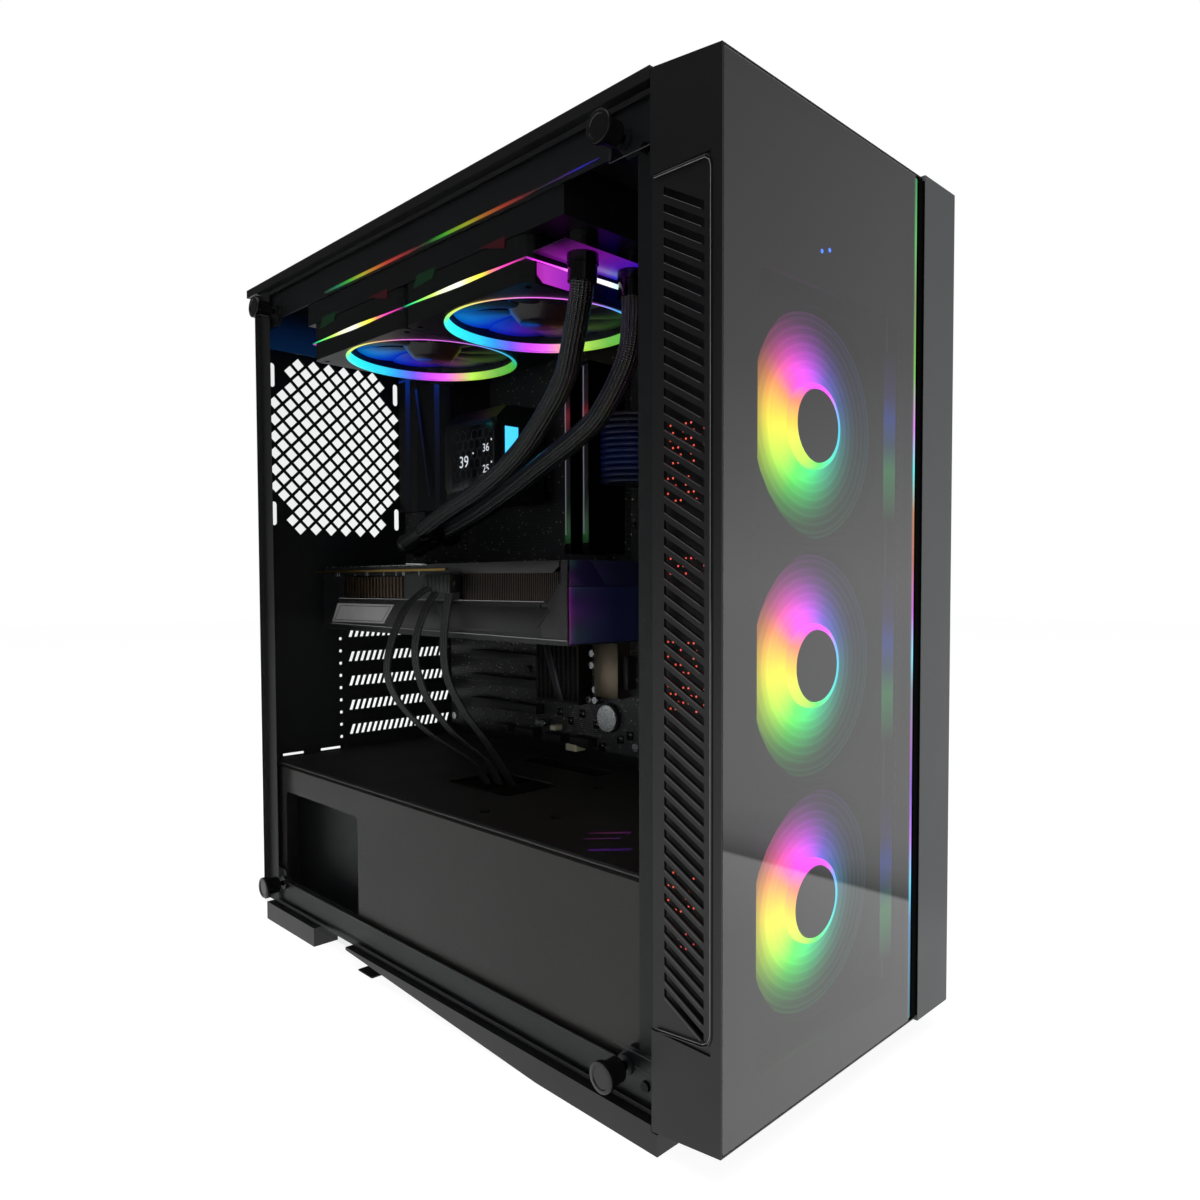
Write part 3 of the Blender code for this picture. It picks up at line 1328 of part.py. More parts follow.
def blade_rings(hub, tip, low, high, sweep, turn):
    """Sections of one swept blade at three radii, its leading edge high and its trailing edge low."""
    root = hub - BLADE_ROOT
    middle, rise = (high + low) / 2, BLADE_RISE * (high - low)
    rings = []
    for share in (0.0, 0.5, 1.0):
        radius = root + (tip - root) * share
        half_chord = (BLADE_CHORD - BLADE_TAPER * share) * sweep
        lean = turn + BLADE_LEAN * share * sweep
        ring = []
        for across in (-1, 1):
            angle = lean + across * half_chord
            z = middle - across * rise * (1 - BLADE_TWIST * share)
            ring.append(Vector((radius * math.cos(angle), radius * math.sin(angle), z)))
        under = [point - Vector((0, 0, BLADE_THICKNESS)) for point in reversed(ring)]
        rings.append(ring + under)
    return rings


def rotor_mesh(name, hub, tip, low, high, count):
    """A hub with `count` blades about z, from z low to z high, with a shallow recess in its face."""
    rotor = cylinder("Z", 0, 0, hub, low, high, 18)
    sweep = 2 * math.pi / count
    start, end = low + BLADE_MARGIN, high - BLADE_MARGIN
    blades = [loft(blade_rings(hub, tip, start, end, sweep, sweep * i)) for i in range(count)]
    fuse(rotor, *blades)
    cut(rotor, cylinder("Z", 0, 0, hub * HUB_RECESS_SHARE, high - HUB_RECESS, high + SHEET, 12))
    return take_mesh(rotor, name)


def case_fans(tower):
    frame = fan_frame_mesh()
    low = FAN_STRUT_THICKNESS + SHEET / 2 + GAP
    rotor = rotor_mesh("fan_rotor", FAN_HUB, FAN_TIP, low, FAN_DEPTH - ROTOR_CLEARANCE, FAN_BLADES)
    facing_front = (math.pi / 2, 0, 0)
    for i, (x, z) in enumerate(front_fan_centres(), start=1):
        where = (x, SHELL_DEPTH, z)
        tower.place(f"front_fan_frame_{i}", frame, fan_plastic(), where, facing_front)
        tower.place(f"front_fan_rotor_{i}", rotor, translucent_blade(), where, facing_front)
    facing_down = (math.pi, 0, 0)
    for i, (x, y) in enumerate(top_fan_centres(), start=1):
        where = (x, y, RADIATOR_BOTTOM - GAP)
        tower.place(f"top_fan_frame_{i}", frame, fan_plastic(), where, facing_down)
        tower.place(f"top_fan_rotor_{i}", rotor, translucent_blade(), where, facing_down)


# ================================================================ routes and tubes
def smooth_route(points, spacing):
    """Points at about `spacing` along a Catmull-Rom curve through the route."""
    points = [Vector(p) for p in points]
    padded = [2 * points[0] - points[1], *points, 2 * points[-1] - points[-2]]
    route = []
    for before, start, end, after in zip(padded, padded[1:], padded[2:], padded[3:]):
        steps = max(1, round((end - start).length / spacing))
        for i in range(steps):
            t = i / steps
            route.append(
                0.5
                * (
                    2 * start
                    + (end - before) * t
                    + (2 * before - 5 * start + 4 * end - after) * t**2
                    + (3 * start - before - 3 * end + after) * t**3
                )
            )
    route.append(points[-1])
    return route


def tube(tower, name, points, radius, finish):
    """A round hose along a smooth route, with closed ends."""
    route = smooth_route(points, HOSE_STEP * radius)
    curve = bpy.data.curves.new(name, "CURVE")
    curve.dimensions = "3D"
    spline = curve.splines.new("POLY")
    spline.points.add(len(route) - 1)
    for target, point in zip(spline.points, route):
        target.co = (*point, 1)
    curve.bevel_depth = radius
    curve.bevel_resolution = 2
    curve.use_fill_caps = True
    curve.materials.append(finish)
    hose = bpy.data.objects.new(name, curve)
    bpy.context.scene.collection.objects.link(hose)
    hose.parent = tower.root


def ribbon(points, width, thickness, width_axis):
    """A flat cable swept along a route, its width kept as near `width_axis` as the route allows."""
    route = smooth_route(points, RIBBON_STEP)
    rings = []
    for i, point in enumerate(route):
        ahead = (route[min(i + 1, len(route) - 1)] - route[max(i - 1, 0)]).normalized()
        across = (width_axis - ahead * ahead.dot(width_axis)).normalized()
        half, thin = across * width / 2, ahead.cross(across) * thickness / 2
        rings.append([point - half - thin, point + half - thin, point + half + thin, point - half + thin])
    return loft(rings)


# ================================================================ liquid cooler
def radiator(tower):
    left, right = TOP_FAN_X - FAN_SIZE / 2, TOP_FAN_X + FAN_SIZE / 2
    rear = RADIATOR_FRONT + RADIATOR_LENGTH
    body = cuboid((left, RADIATOR_FRONT, RADIATOR_BOTTOM), (right, rear, RADIATOR_TOP))
    core_start, core_end = RADIATOR_FRONT + RADIATOR_TANK, rear - RADIATOR_TANK / 2
    core_left, core_right = left + RADIATOR_RIM, right - RADIATOR_RIM
    for low, high in (
        (RADIATOR_TOP - CORE_RECESS, RADIATOR_TOP + SHEET),
        (RADIATOR_BOTTOM - SHEET, RADIATOR_BOTTOM + CORE_RECESS),
    ):
        cut(body, cuboid((core_left, core_start, low), (core_right, core_end, high)))
    mouth, root = RADIATOR_BOTTOM - PORT_LENGTH, RADIATOR_BOTTOM + 2 * SHEET
    ports = [
        cylinder("Z", x, PORT_Y, PORT_RADIUS, mouth, root, 16) for x in (SUPPLY_PORT_X, RETURN_PORT_X)
    ]
    fuse(body, *ports)
    tower.add("radiator", body, painted_aluminium())


def hoses(tower):
    start = RADIATOR_BOTTOM - PORT_LENGTH - GAP
    for name, x, route in (
        ("coolant_hose_supply", SUPPLY_PORT_X, SUPPLY_ROUTE),
        ("coolant_hose_return", RETURN_PORT_X, RETURN_ROUTE),
    ):
        tube(tower, name, [(x, PORT_Y, start), *route], HOSE_RADIUS, sleeved_hose())


def rod(start, end, radius):
    """A round length between two points."""
    along = end - start
    turn = along.to_track_quat("Z", "Y").to_matrix().to_4x4()
    bm = bmesh.new()
    bmesh.ops.create_cone(
        bm,
        cap_ends=True,
        segments=16,
        radius1=radius,
        radius2=radius,
        depth=along.length,
        matrix=Matrix.Translation((start + end) / 2) @ turn,
    )
    return mesh_object(bm)


def elbow(route, root):
    """A bent fitting from a hose's end to a root inside the pump."""
    before, mouth = Vector(route[-2]), Vector(route[-1])
    direction = (mouth - before).normalized()
    corner = mouth + direction * ELBOW_REACH
    bm = bmesh.new()
    knee = PORT_RADIUS * ELBOW_KNEE
    bmesh.ops.create_uvsphere(
        bm, u_segments=12, v_segments=8, radius=knee, matrix=Matrix.Translation(corner)
    )
    return [
        rod(mouth + direction * GAP, corner, PORT_RADIUS),
        rod(corner, root, PORT_RADIUS),
        mesh_object(bm),
    ]


def pump(tower):
    low_y, high_y = PUMP_CENTRE_Y - PUMP_LENGTH / 2, PUMP_CENTRE_Y + PUMP_LENGTH / 2
    low_z, high_z = PUMP_CENTRE_Z - PUMP_HEIGHT / 2, PUMP_CENTRE_Z + PUMP_HEIGHT / 2
    lid = BOARD_FACE - PROCESSOR_HEIGHT
    back = lid - PUMP_BASE
    side = [
        (PUMP_FACE_X, low_z),
        (PUMP_FACE_X, high_z - PUMP_CHAMFER),
        (PUMP_FACE_X + PUMP_CHAMFER, high_z),
        (back, high_z),
        (back, low_z),
    ]
    head = prism(side, "Y", low_y, high_y)
    fuse(head, cylinder("X", PUMP_CENTRE_Y, PUMP_CENTRE_Z, PUMP_BASE_RADIUS, back - SHEET, lid))
    inset = PORT_RADIUS * 1.7
    root = Vector((PUMP_FACE_X + inset, high_y - inset, low_z + PORT_RADIUS))
    fuse(head, *elbow(SUPPLY_ROUTE, root), *elbow(RETURN_ROUTE, root))
    tower.add("pump_head", head, black_plastic())

    face = PUMP_FACE_X - GAP
    display = box_about(
        (face - DISPLAY_THICKNESS / 2, PUMP_CENTRE_Y - DISPLAY_FORWARD, PUMP_CENTRE_Z - DISPLAY_DROP),
        (DISPLAY_THICKNESS, DISPLAY_LENGTH, DISPLAY_HEIGHT),
    )
    tower.add("pump_display", display, display_glass())


# ================================================================ motherboard
def memory_places():
    return [BOARD_REAR - MEMORY_FROM_REAR - MEMORY_PITCH * i for i in range(MEMORY_COUNT)]


def on_board(height, low, high):
    """A block on the board's face, between two (y, z) corners."""
    return cuboid((BOARD_FACE - height, *low), (BOARD_FACE + SHEET / 2, *high))


def in_connector(height, low, high):
    """The cutter of a slot in a connector of that height."""
    return cuboid((BOARD_FACE - height - SHEET, *low), (BOARD_FACE - SLOT_FLOOR, *high))


def board_blocks():
    """The rear ports, the processor socket and the connectors that stand on the board."""
    half_ports, half_socket = PORTS_HEIGHT / 2, SOCKET_SIZE / 2
    half_power, half_card = POWER_SOCKET_LENGTH / 2, CARD_SOCKET_WIDTH / 2
    ports = cuboid(
        (BOARD_FACE - PORTS_WIDTH, BOARD_REAR - PORTS_DEPTH, PORTS_Z - half_ports),
        (BOARD_FACE, CHASSIS_REAR, PORTS_Z + half_ports),
    )
    root = on_board(
        PORTS_WIDTH - SHEET,
        (BOARD_REAR - PORTS_DEPTH + SHEET, PORTS_Z - half_ports + SHEET),
        (BOARD_REAR - SHEET, PORTS_Z + half_ports - SHEET),
    )
    processor = on_board(
        SOCKET_HEIGHT,
        (PUMP_CENTRE_Y - half_socket, PUMP_CENTRE_Z - half_socket),
        (PUMP_CENTRE_Y + half_socket, PUMP_CENTRE_Z + half_socket),
    )
    card = on_board(
        CARD_SOCKET_HEIGHT,
        (CARD_SOCKET_FRONT, CARD_EDGE_Z - half_card),
        (CARD_SOCKET_FRONT + CARD_SOCKET_LENGTH, CARD_EDGE_Z + half_card),
    )
    power = on_board(
        POWER_SOCKET_HEIGHT,
        (BOARD_FRONT + SHEET, POWER_SOCKET_Z - half_power),
        (BOARD_FRONT + SHEET + POWER_SOCKET_WIDTH, POWER_SOCKET_Z + half_power),
    )
    half = MEMORY_SLOT_WIDTH / 2
    memory = [
        on_board(
            MEMORY_SLOT_HEIGHT,
            (y - half, MEMORY_BOTTOM - MEMORY_LATCH),
            (y + half, MEMORY_TOP + MEMORY_LATCH),
        )
        for y in memory_places()
    ]
    return [ports, root, processor, card, power, *memory]


def board_slots():
    """Cutters of the slots that the memory sticks and the graphics card stand in."""
    half = MEMORY_CARD / 2 + GAP
    slots = [
        in_connector(MEMORY_SLOT_HEIGHT, (y - half, MEMORY_BOTTOM - GAP), (y + half, MEMORY_TOP + GAP))
        for y in memory_places()
    ]
    half = CARD_EDGE_THICKNESS / 2 + GAP
    rear = CARD_SOCKET_FRONT + CARD_SOCKET_LENGTH - CARD_SOCKET_END
    slots.append(
        in_connector(
            CARD_SOCKET_HEIGHT,
            (CARD_SOCKET_FRONT + CARD_SOCKET_END, CARD_EDGE_Z - half),
            (rear, CARD_EDGE_Z + half),
        )
    )
    return slots


def motherboard(tower):
    back = BOARD_FACE + BOARD_THICKNESS
    board = cuboid((BOARD_FACE, BOARD_FRONT, BOARD_BOTTOM), (back, BOARD_REAR, BOARD_TOP))
    standoffs = [
        cylinder(
            "X",
            BOARD_REAR - setback,
            BOARD_BOTTOM + rise,
            STANDOFF_RADIUS,
            back - SHEET / 2,
            TRAY_X - GAP,
            6,
        )
        for setback in STANDOFF_SETBACKS
        for rise in STANDOFF_RISES
    ]
    fuse(board, *board_blocks(), *standoffs)
    cut(board, *board_slots())
    tower.add("motherboard", board, board_laminate())


def memory_sticks(tower):
    seat = BOARD_FACE - MEMORY_SLOT_HEIGHT
    half_card, half = MEMORY_CARD / 2, MEMORY_WIDTH / 2
    for i, y in enumerate(memory_places(), start=1):
        stick = cuboid(
            (seat - 2 * SHEET, y - half_card, MEMORY_BOTTOM),
            (BOARD_FACE - SLOT_FLOOR - GAP, y + half_card, MEMORY_TOP),
        )
        spreader = cuboid(
            (BOARD_FACE - MEMORY_HEIGHT, y - half, MEMORY_BOTTOM), (seat - GAP, y + half, MEMORY_TOP)
        )
        fuse(stick, spreader)
        tower.add(f"memory_stick_{i}", stick, heat_spreader())


def board_covers(tower):
    face = BOARD_FACE - GAP
    rear = BOARD_REAR - BOARD_REAR_GAP
    beside_ports = face - PORTS_WIDTH - GAP
    outline = [
        (IO_COVER_FACE, BOARD_REAR - PORTS_DEPTH - 2 * SHEET),
        (IO_COVER_FACE + IO_COVER_SLOPE, BOARD_REAR - IO_COVER_DEPTH),
        (face, BOARD_REAR - IO_COVER_DEPTH),
        (face, BOARD_REAR - PORTS_DEPTH - GAP),
        (beside_ports, BOARD_REAR - PORTS_DEPTH - GAP),
        (beside_ports, rear),
        (IO_COVER_FACE, rear),
    ]
    low, high = PUMP_CENTRE_Z - IO_COVER_DROP, BOARD_TOP - 3 * SHEET
    tower.add("io_cover", prism(outline, "Z", low, high), satin_cover())

    front, bottom = BOARD_REAR - CHIPSET_FROM_REAR, BOARD_BOTTOM + CHIPSET_RISE
    sink = cuboid(
        (BOARD_FACE - CHIPSET_THICKNESS, front, bottom),
        (face, front + CHIPSET_LENGTH, bottom + CHIPSET_HEIGHT),
    )
    tower.add("chipset_heatsink", sink, heat_spreader())


# ================================================================ graphics card
def card_fan_places():
    first = CARD_FRONT + CARD_FAN_SETBACK
    return [(CARD_FAN_X, first + CARD_FAN_PITCH * i) for i in range(CARD_FAN_COUNT)]


def card_blocks():
    """The laminate, backplate, neck, bracket and contact edge of the card."""
    cooler_rear = CARD_REAR - CARD_TAIL
    laminate_top = CARD_TOP - CARD_LAMINATE_DROP
    laminate = cuboid(
        (
            CARD_SIDE_X + CARD_LAMINATE_DROP,
            CARD_FRONT + CARD_LAMINATE_SETBACK,
            laminate_top - CARD_LAMINATE_THICKNESS,
        ),
        (CARD_INNER_X, CARD_REAR - SHEET / 2, laminate_top),
    )
    backplate = cuboid(
        (CARD_SIDE_X + SHEET, CARD_FRONT, CARD_TOP - CARD_PLATE_THICKNESS),
        (CARD_INNER_X, cooler_rear, CARD_TOP),
    )
    neck = cuboid(
        (SLOT_LEFT, cooler_rear - 2 * SHEET, CARD_BOTTOM + CARD_BRACKET_RISE),
        (CARD_INNER_X, CARD_REAR - SHEET / 2, CARD_TOP - CARD_SHROUD_DROP),
    )
    levels = slot_levels()[:CARD_SLOTS]
    bracket = cuboid(
        (SLOT_LEFT - CARD_BRACKET_MARGIN, CARD_REAR - SHEET, levels[-1] - CARD_BRACKET_RISE),
        (SLOT_RIGHT + CARD_BRACKET_MARGIN, CARD_REAR, levels[0] + CARD_BRACKET_RISE),
    )
    half, margin = CARD_EDGE_THICKNESS / 2, CARD_SOCKET_END + SHEET
    edge = cuboid(
        (CARD_INNER_X - SHEET, CARD_SOCKET_FRONT + margin, CARD_EDGE_Z - half),
        (
            BOARD_FACE - SLOT_FLOOR - GAP,
            CARD_SOCKET_FRONT + CARD_SOCKET_LENGTH - margin,
            CARD_EDGE_Z + half,
        ),
    )
    return [laminate, backplate, neck, bracket, edge]


def graphics_card(tower):
    card = cuboid(
        (CARD_SIDE_X, CARD_FRONT, CARD_BOTTOM),
        (CARD_INNER_X, CARD_REAR - CARD_TAIL, CARD_TOP - CARD_SHROUD_DROP),
    )
    fuse(card, *card_blocks())
    places = card_fan_places()
    well_top = CARD_FAN_TOP + WELL_CLEARANCE
    wells = [circle(x, y, CARD_FAN_RADIUS + ROTOR_CLEARANCE, 32) for x, y in places]
    notch_reach = PLUG_WIDTH / 2 + GAP
    plug_top = CARD_TOP - PLUG_DROP
    notch = cuboid(
        (CARD_SIDE_X - SHEET, PLUG_Y - notch_reach, plug_top - PLUG_HEIGHT - GAP),
        (CARD_SIDE_X + PLUG_DEPTH, PLUG_Y + notch_reach, plug_top + GAP),
    )
    high_slot, low_slot = slot_levels()[:CARD_SLOTS]
    outlets = [
        rounded_rectangle(x, high_slot - SHEET, DISPLAY_PORT_WIDTH, DISPLAY_PORT_HEIGHT, 2 * SHEET, 1)
        for x in DISPLAY_PORT_XS
    ]
    cut(
        card,
        prisms(wells, "Z", CARD_BOTTOM - SHEET, well_top),
        notch,
        prisms(outlets + slot_vents(low_slot), "Y", CARD_REAR - DISPLAY_PORT_DEPTH, CARD_REAR + SHEET),
    )
    boss_bottom, boss_top = CARD_FAN_TOP + GAP, well_top + 2 * SHEET
    fuse(card, *(cylinder("Z", x, y, CARD_BOSS_RADIUS, boss_bottom, boss_top, 12) for x, y in places))
    tower.add("graphics_card", card, card_shroud())

    rotor_height = CARD_FAN_DEPTH - SHEET
    rotor = rotor_mesh("card_rotor", CARD_FAN_HUB, CARD_FAN_RADIUS, 0.0, rotor_height, CARD_FAN_BLADES)
    for i, (x, y) in enumerate(places, start=1):
        tower.place(f"graphics_fan_{i}", rotor, fan_plastic(), (x, y, CARD_FAN_TOP), (math.pi, 0, 0))


# ================================================================ cables
def graphics_cable(tower):
    plug_top = CARD_TOP - PLUG_DROP
    plug = cuboid(
        (CARD_SIDE_X - PLUG_PROUD, PLUG_Y - PLUG_WIDTH / 2, plug_top - PLUG_HEIGHT),
        (CARD_SIDE_X + PLUG_DEPTH - GAP, PLUG_Y + PLUG_WIDTH / 2, plug_top),
    )
    low, high = SUPPLY_TOP + GAP, SHROUD_TOP + CABLE_END_RISE
    drop = cuboid(
        (CABLE_SLOT_X - CABLE_END_WIDTH / 2, CABLE_SLOT_Y - CABLE_END_LENGTH / 2, low),
        (CABLE_SLOT_X + CABLE_END_WIDTH / 2, CABLE_SLOT_Y + CABLE_END_LENGTH / 2, high),
    )
    ribbons = [ribbon(route, CARD_RIBBON, CARD_RIBBON_THICKNESS, Y) for route in CARD_CABLE_ROUTES]
    fuse(plug, drop, *ribbons)
    tower.add("graphics_cable", plug, cable_sheath())


def main_power_cable(tower):
    near = BOARD_FACE - POWER_SOCKET_HEIGHT - GAP
    outer = near - MAIN_PLUG_HEIGHT
    middle = BOARD_FRONT + SHEET + POWER_SOCKET_WIDTH / 2
    half = POWER_SOCKET_LENGTH / 2
    cable = cuboid(
        (outer, middle - POWER_SOCKET_WIDTH / 2, POWER_SOCKET_Z - half),
        (near, middle + POWER_SOCKET_WIDTH / 2, POWER_SOCKET_Z + half),
    )
    route = [(outer + across, middle + along, POWER_SOCKET_Z) for across, along in MAIN_CABLE_STEPS]
    fuse(cable, ribbon(route, MAIN_RIBBON, MAIN_RIBBON_THICKNESS, Z))
    tower.add("main_power_cable", cable, cable_sheath())


# ================================================================ power supply
def power_supply(tower):
    half = SUPPLY_WIDTH / 2
    supply = cuboid((-half, SUPPLY_FRONT, SUPPLY_BOTTOM), (half, SUPPLY_REAR, SUPPLY_TOP))
    well_radius, well_top = SUPPLY_FAN_RADIUS + ROTOR_CLEARANCE, SUPPLY_FAN_TOP + WELL_CLEARANCE
    inlet = rectangle(INLET_X, SUPPLY_MIDDLE_Z, INLET_WIDTH, INLET_HEIGHT)
    switch = rectangle(SWITCH_X, SUPPLY_MIDDLE_Z, SWITCH_WIDTH, SWITCH_HEIGHT)
    cut(
        supply,
        cylinder("Z", 0, SUPPLY_FAN_Y, well_radius, SUPPLY_BOTTOM - SHEET, well_top, 40),
        prism(inlet, "Y", SUPPLY_REAR - INLET_DEPTH, SUPPLY_REAR + SHEET),
        prism(switch, "Y", SUPPLY_REAR - SWITCH_DEPTH, SUPPLY_REAR + SHEET),
    )
    boss = cylinder("Z", 0, SUPPLY_FAN_Y, SUPPLY_BOSS_RADIUS, SUPPLY_FAN_TOP + GAP, well_top + SHEET, 12)
    fuse(supply, boss)
    tower.add("power_supply", supply, powder_coat())

    rotor_height = SUPPLY_FAN_DEPTH - 2 * SHEET
    rotor = rotor_mesh(
        "supply_rotor", SUPPLY_FAN_HUB, SUPPLY_FAN_RADIUS, 0.0, rotor_height, SUPPLY_FAN_BLADES
    )
    tower.place("psu_fan_rotor", rotor, fan_plastic(), (0, SUPPLY_FAN_Y, SUPPLY_FAN_TOP), (math.pi, 0, 0))


def supply_filter(tower):
    middle = (FILTER_FRONT + FILTER_REAR) / 2
    outline = rounded_rectangle(0, middle, FILTER_WIDTH, FILTER_LENGTH, 3 * SHEET, 1)
    screen = prism(outline, "Z", FILTER_TOP - FILTER_HEIGHT, FILTER_TOP)
    tower.add("psu_dust_filter", screen, black_plastic())


def supply_switch(tower):
    """The mains rocker: a wedge that tilts about x inside its opening, on stub shafts."""
    pivot, middle = SUPPLY_REAR - ROCKER_PIVOT_DEPTH, SUPPLY_MIDDLE_Z
    back_half = ROCKER_HALF * ROCKER_BACK_SHARE
    outline = [
        (pivot - ROCKER_BACK, middle - back_half),
        (pivot + ROCKER_HIGH, middle - ROCKER_HALF),
        (pivot + ROCKER_LOW, middle),
        (pivot + ROCKER_LOW, middle + ROCKER_HALF),
        (pivot - ROCKER_BACK, middle + back_half),
    ]
    half = SWITCH_WIDTH / 2 - ROCKER_SIDE_GAP
    rocker = prism(outline, "X", SWITCH_X - half, SWITCH_X + half)
    reach = SWITCH_WIDTH / 2 - GAP
    fuse(rocker, cylinder("X", pivot, middle, ROCKER_SHAFT, SWITCH_X - reach, SWITCH_X + reach, 8))
    tower.add("psu_switch", rocker, black_plastic(), (SWITCH_X, pivot, middle))


def main():
    for item in list(bpy.data.objects):
        bpy.data.objects.remove(item)
    tower = Tower()
    for build in (
        front_wall,
        rear_wall,
        base_pan,
        top_plate,
        motherboard_tray,
        psu_shroud,
        top_cover,
        front_shell,
        front_glass,
        front_pillar,
        front_buttons,
        front_ports,
        feet,
        corner_brackets,
        side_glass,
        window_thumbscrews,
        right_panel,
        case_fans,
        radiator,
        hoses,
        pump,
        motherboard,
        memory_sticks,
        board_covers,
        graphics_card,
        graphics_cable,
        main_power_cable,
        power_supply,
        supply_filter,
        supply_switch,
    ):
        build(tower)


main()
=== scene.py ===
"""Looks of a desktop computer tower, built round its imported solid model.

The tower stands on its feet with its front glass towards -Y and its glass side towards -X.
Each sub-assembly is a class that makes its own pieces, dresses them and rides them on the body
they move with. Shapes are drawn in millimetres and made in metres; colours are sRGB hex values.
"""
import logging
import math
from collections.abc import Iterable, Sequence
from dataclasses import dataclass, field
from enum import Enum
from typing import ClassVar

import bmesh
import bpy
from mathutils import Matrix, Vector


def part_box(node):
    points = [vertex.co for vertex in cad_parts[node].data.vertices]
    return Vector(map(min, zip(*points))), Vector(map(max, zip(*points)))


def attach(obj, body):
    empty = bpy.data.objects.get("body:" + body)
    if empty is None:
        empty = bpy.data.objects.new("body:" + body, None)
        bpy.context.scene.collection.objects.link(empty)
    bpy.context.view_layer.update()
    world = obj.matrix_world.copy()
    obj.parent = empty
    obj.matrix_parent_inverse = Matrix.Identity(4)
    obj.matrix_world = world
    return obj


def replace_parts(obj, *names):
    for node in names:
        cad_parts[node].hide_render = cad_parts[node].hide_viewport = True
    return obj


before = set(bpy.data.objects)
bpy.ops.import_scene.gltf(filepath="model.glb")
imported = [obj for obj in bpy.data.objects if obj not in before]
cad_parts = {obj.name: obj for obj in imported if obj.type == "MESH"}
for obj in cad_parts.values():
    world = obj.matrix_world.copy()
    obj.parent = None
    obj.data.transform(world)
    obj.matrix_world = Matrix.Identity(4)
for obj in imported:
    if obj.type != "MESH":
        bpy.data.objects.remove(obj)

logging.basicConfig(level=logging.INFO, format="%(message)s")
log = logging.getLogger("tower")

Point = tuple[float, float, float]
Pair = tuple[float, float]
Colour = tuple[float, float, float, float]
Stops = tuple[tuple[float, str], ...]
Tree = bpy.types.NodeTree
Node = bpy.types.Node
Socket = bpy.types.NodeSocket
Mesh = bpy.types.Mesh
Piece = bpy.types.Object

MM = 0.001
FULL_TURN = 2 * math.pi
MATHS, VECTOR, MIX = "ShaderNodeMath", "ShaderNodeVectorMath", "ShaderNodeMix"
NOISE, CELLS, RAMP = "ShaderNodeTexNoise", "ShaderNodeTexVoronoi", "ShaderNodeValToRGB"
RANGE, SPLIT, BUMP = "ShaderNodeMapRange", "ShaderNodeSeparateXYZ", "ShaderNodeBump"
SURFACE, EITHER, CLEAR_SHADER = "ShaderNodeBsdfPrincipled", "ShaderNodeMixShader", "ShaderNodeBsdfTransparent"


# ------------------------------------------------------------------ colours and nodes
def linear(code: str, gain: float = 1.0) -> Colour:
    """Turn an sRGB hex value into linear colour.

    Args:
        code: six hex digits.
        gain: what the linear values are multiplied by.

    Returns:
        Linear red, green, blue and an alpha of 1.
    """
    parts = [int(code[i : i + 2], 16) / 255 for i in (0, 2, 4)]
    r, g, b = (gain * (c / 12.92 if c <= 0.04045 else ((c + 0.055) / 1.055) ** 2.4) for c in parts)
    return (r, g, b, 1.0)


def grey(share: float) -> str:
    """Hex code of the grey whose linear value is `share`."""
    value = share * 12.92 if share <= 0.0031308 else 1.055 * share ** (1 / 2.4) - 0.055
    return f"{round(value * 255):02x}" * 3


def add(tree: Tree, kind: str, *plugs: object, stops: Stops = (), **settings: object) -> Node:
    """Add a node with its settings, constants and links.

    Args:
        tree: the tree that gets the node.
        kind: the node's type.
        plugs: what the inputs get, in order, or one dict of them by name or index. Each is a
            node or a socket to link from, or a constant.
        stops: places and hex colours of a colour ramp.
        settings: properties of the node itself.

    Returns:
        The new node.
    """
    made = tree.nodes.new(kind)
    for name, value in settings.items():
        setattr(made, name, value)
    named = plugs and isinstance(plugs[0], dict)
    for name, value in (plugs[0] if named else dict(enumerate(plugs))).items():
        if isinstance(value, Node):
            value = next(socket for socket in value.outputs if socket.enabled)
        if isinstance(value, Socket):
            tree.links.new(value, made.inputs[name])
        else:
            made.inputs[name].default_value = value
    if stops:
        band = made.color_ramp.elements
        while len(band) < len(stops):
            band.new(0.5)
        for element, (place, code) in zip(band, stops):
            element.position, element.color = place, linear(code)
    return made


def centred(tree: Tree, centre: Sequence[float] = (0, 0, 0)) -> Node:
    """Object coordinates, in metres, measured from `centre`."""
    place = add(tree, "ShaderNodeTexCoord").outputs["Object"]
    return add(tree, "ShaderNodeMapping", place, [-value for value in centre])


def per_mm(size: float) -> float:
    """Scale of a pattern that repeats every `size` millimetres."""
    return 1 / (size * MM)


# ------------------------------------------------------------------ kinds of finish
@dataclass(frozen=True)
class Finish:
    """Base of every finish: builds its material once and hands it out again."""

    name: str

    def dress(self, tree: Tree) -> Node:
        """Build the shader's nodes and return the last one."""
        raise NotImplementedError

    def material(self) -> bpy.types.Material:
        """The material of this name, made at its first use.

        Returns:
            The material.
        """
        found = bpy.data.materials.get(self.name)
        if found is None:
            found = bpy.data.materials.new(self.name)
            found.use_nodes = True
            found.node_tree.nodes.clear()
            add(found.node_tree, "ShaderNodeOutputMaterial", self.dress(found.node_tree))
        return found


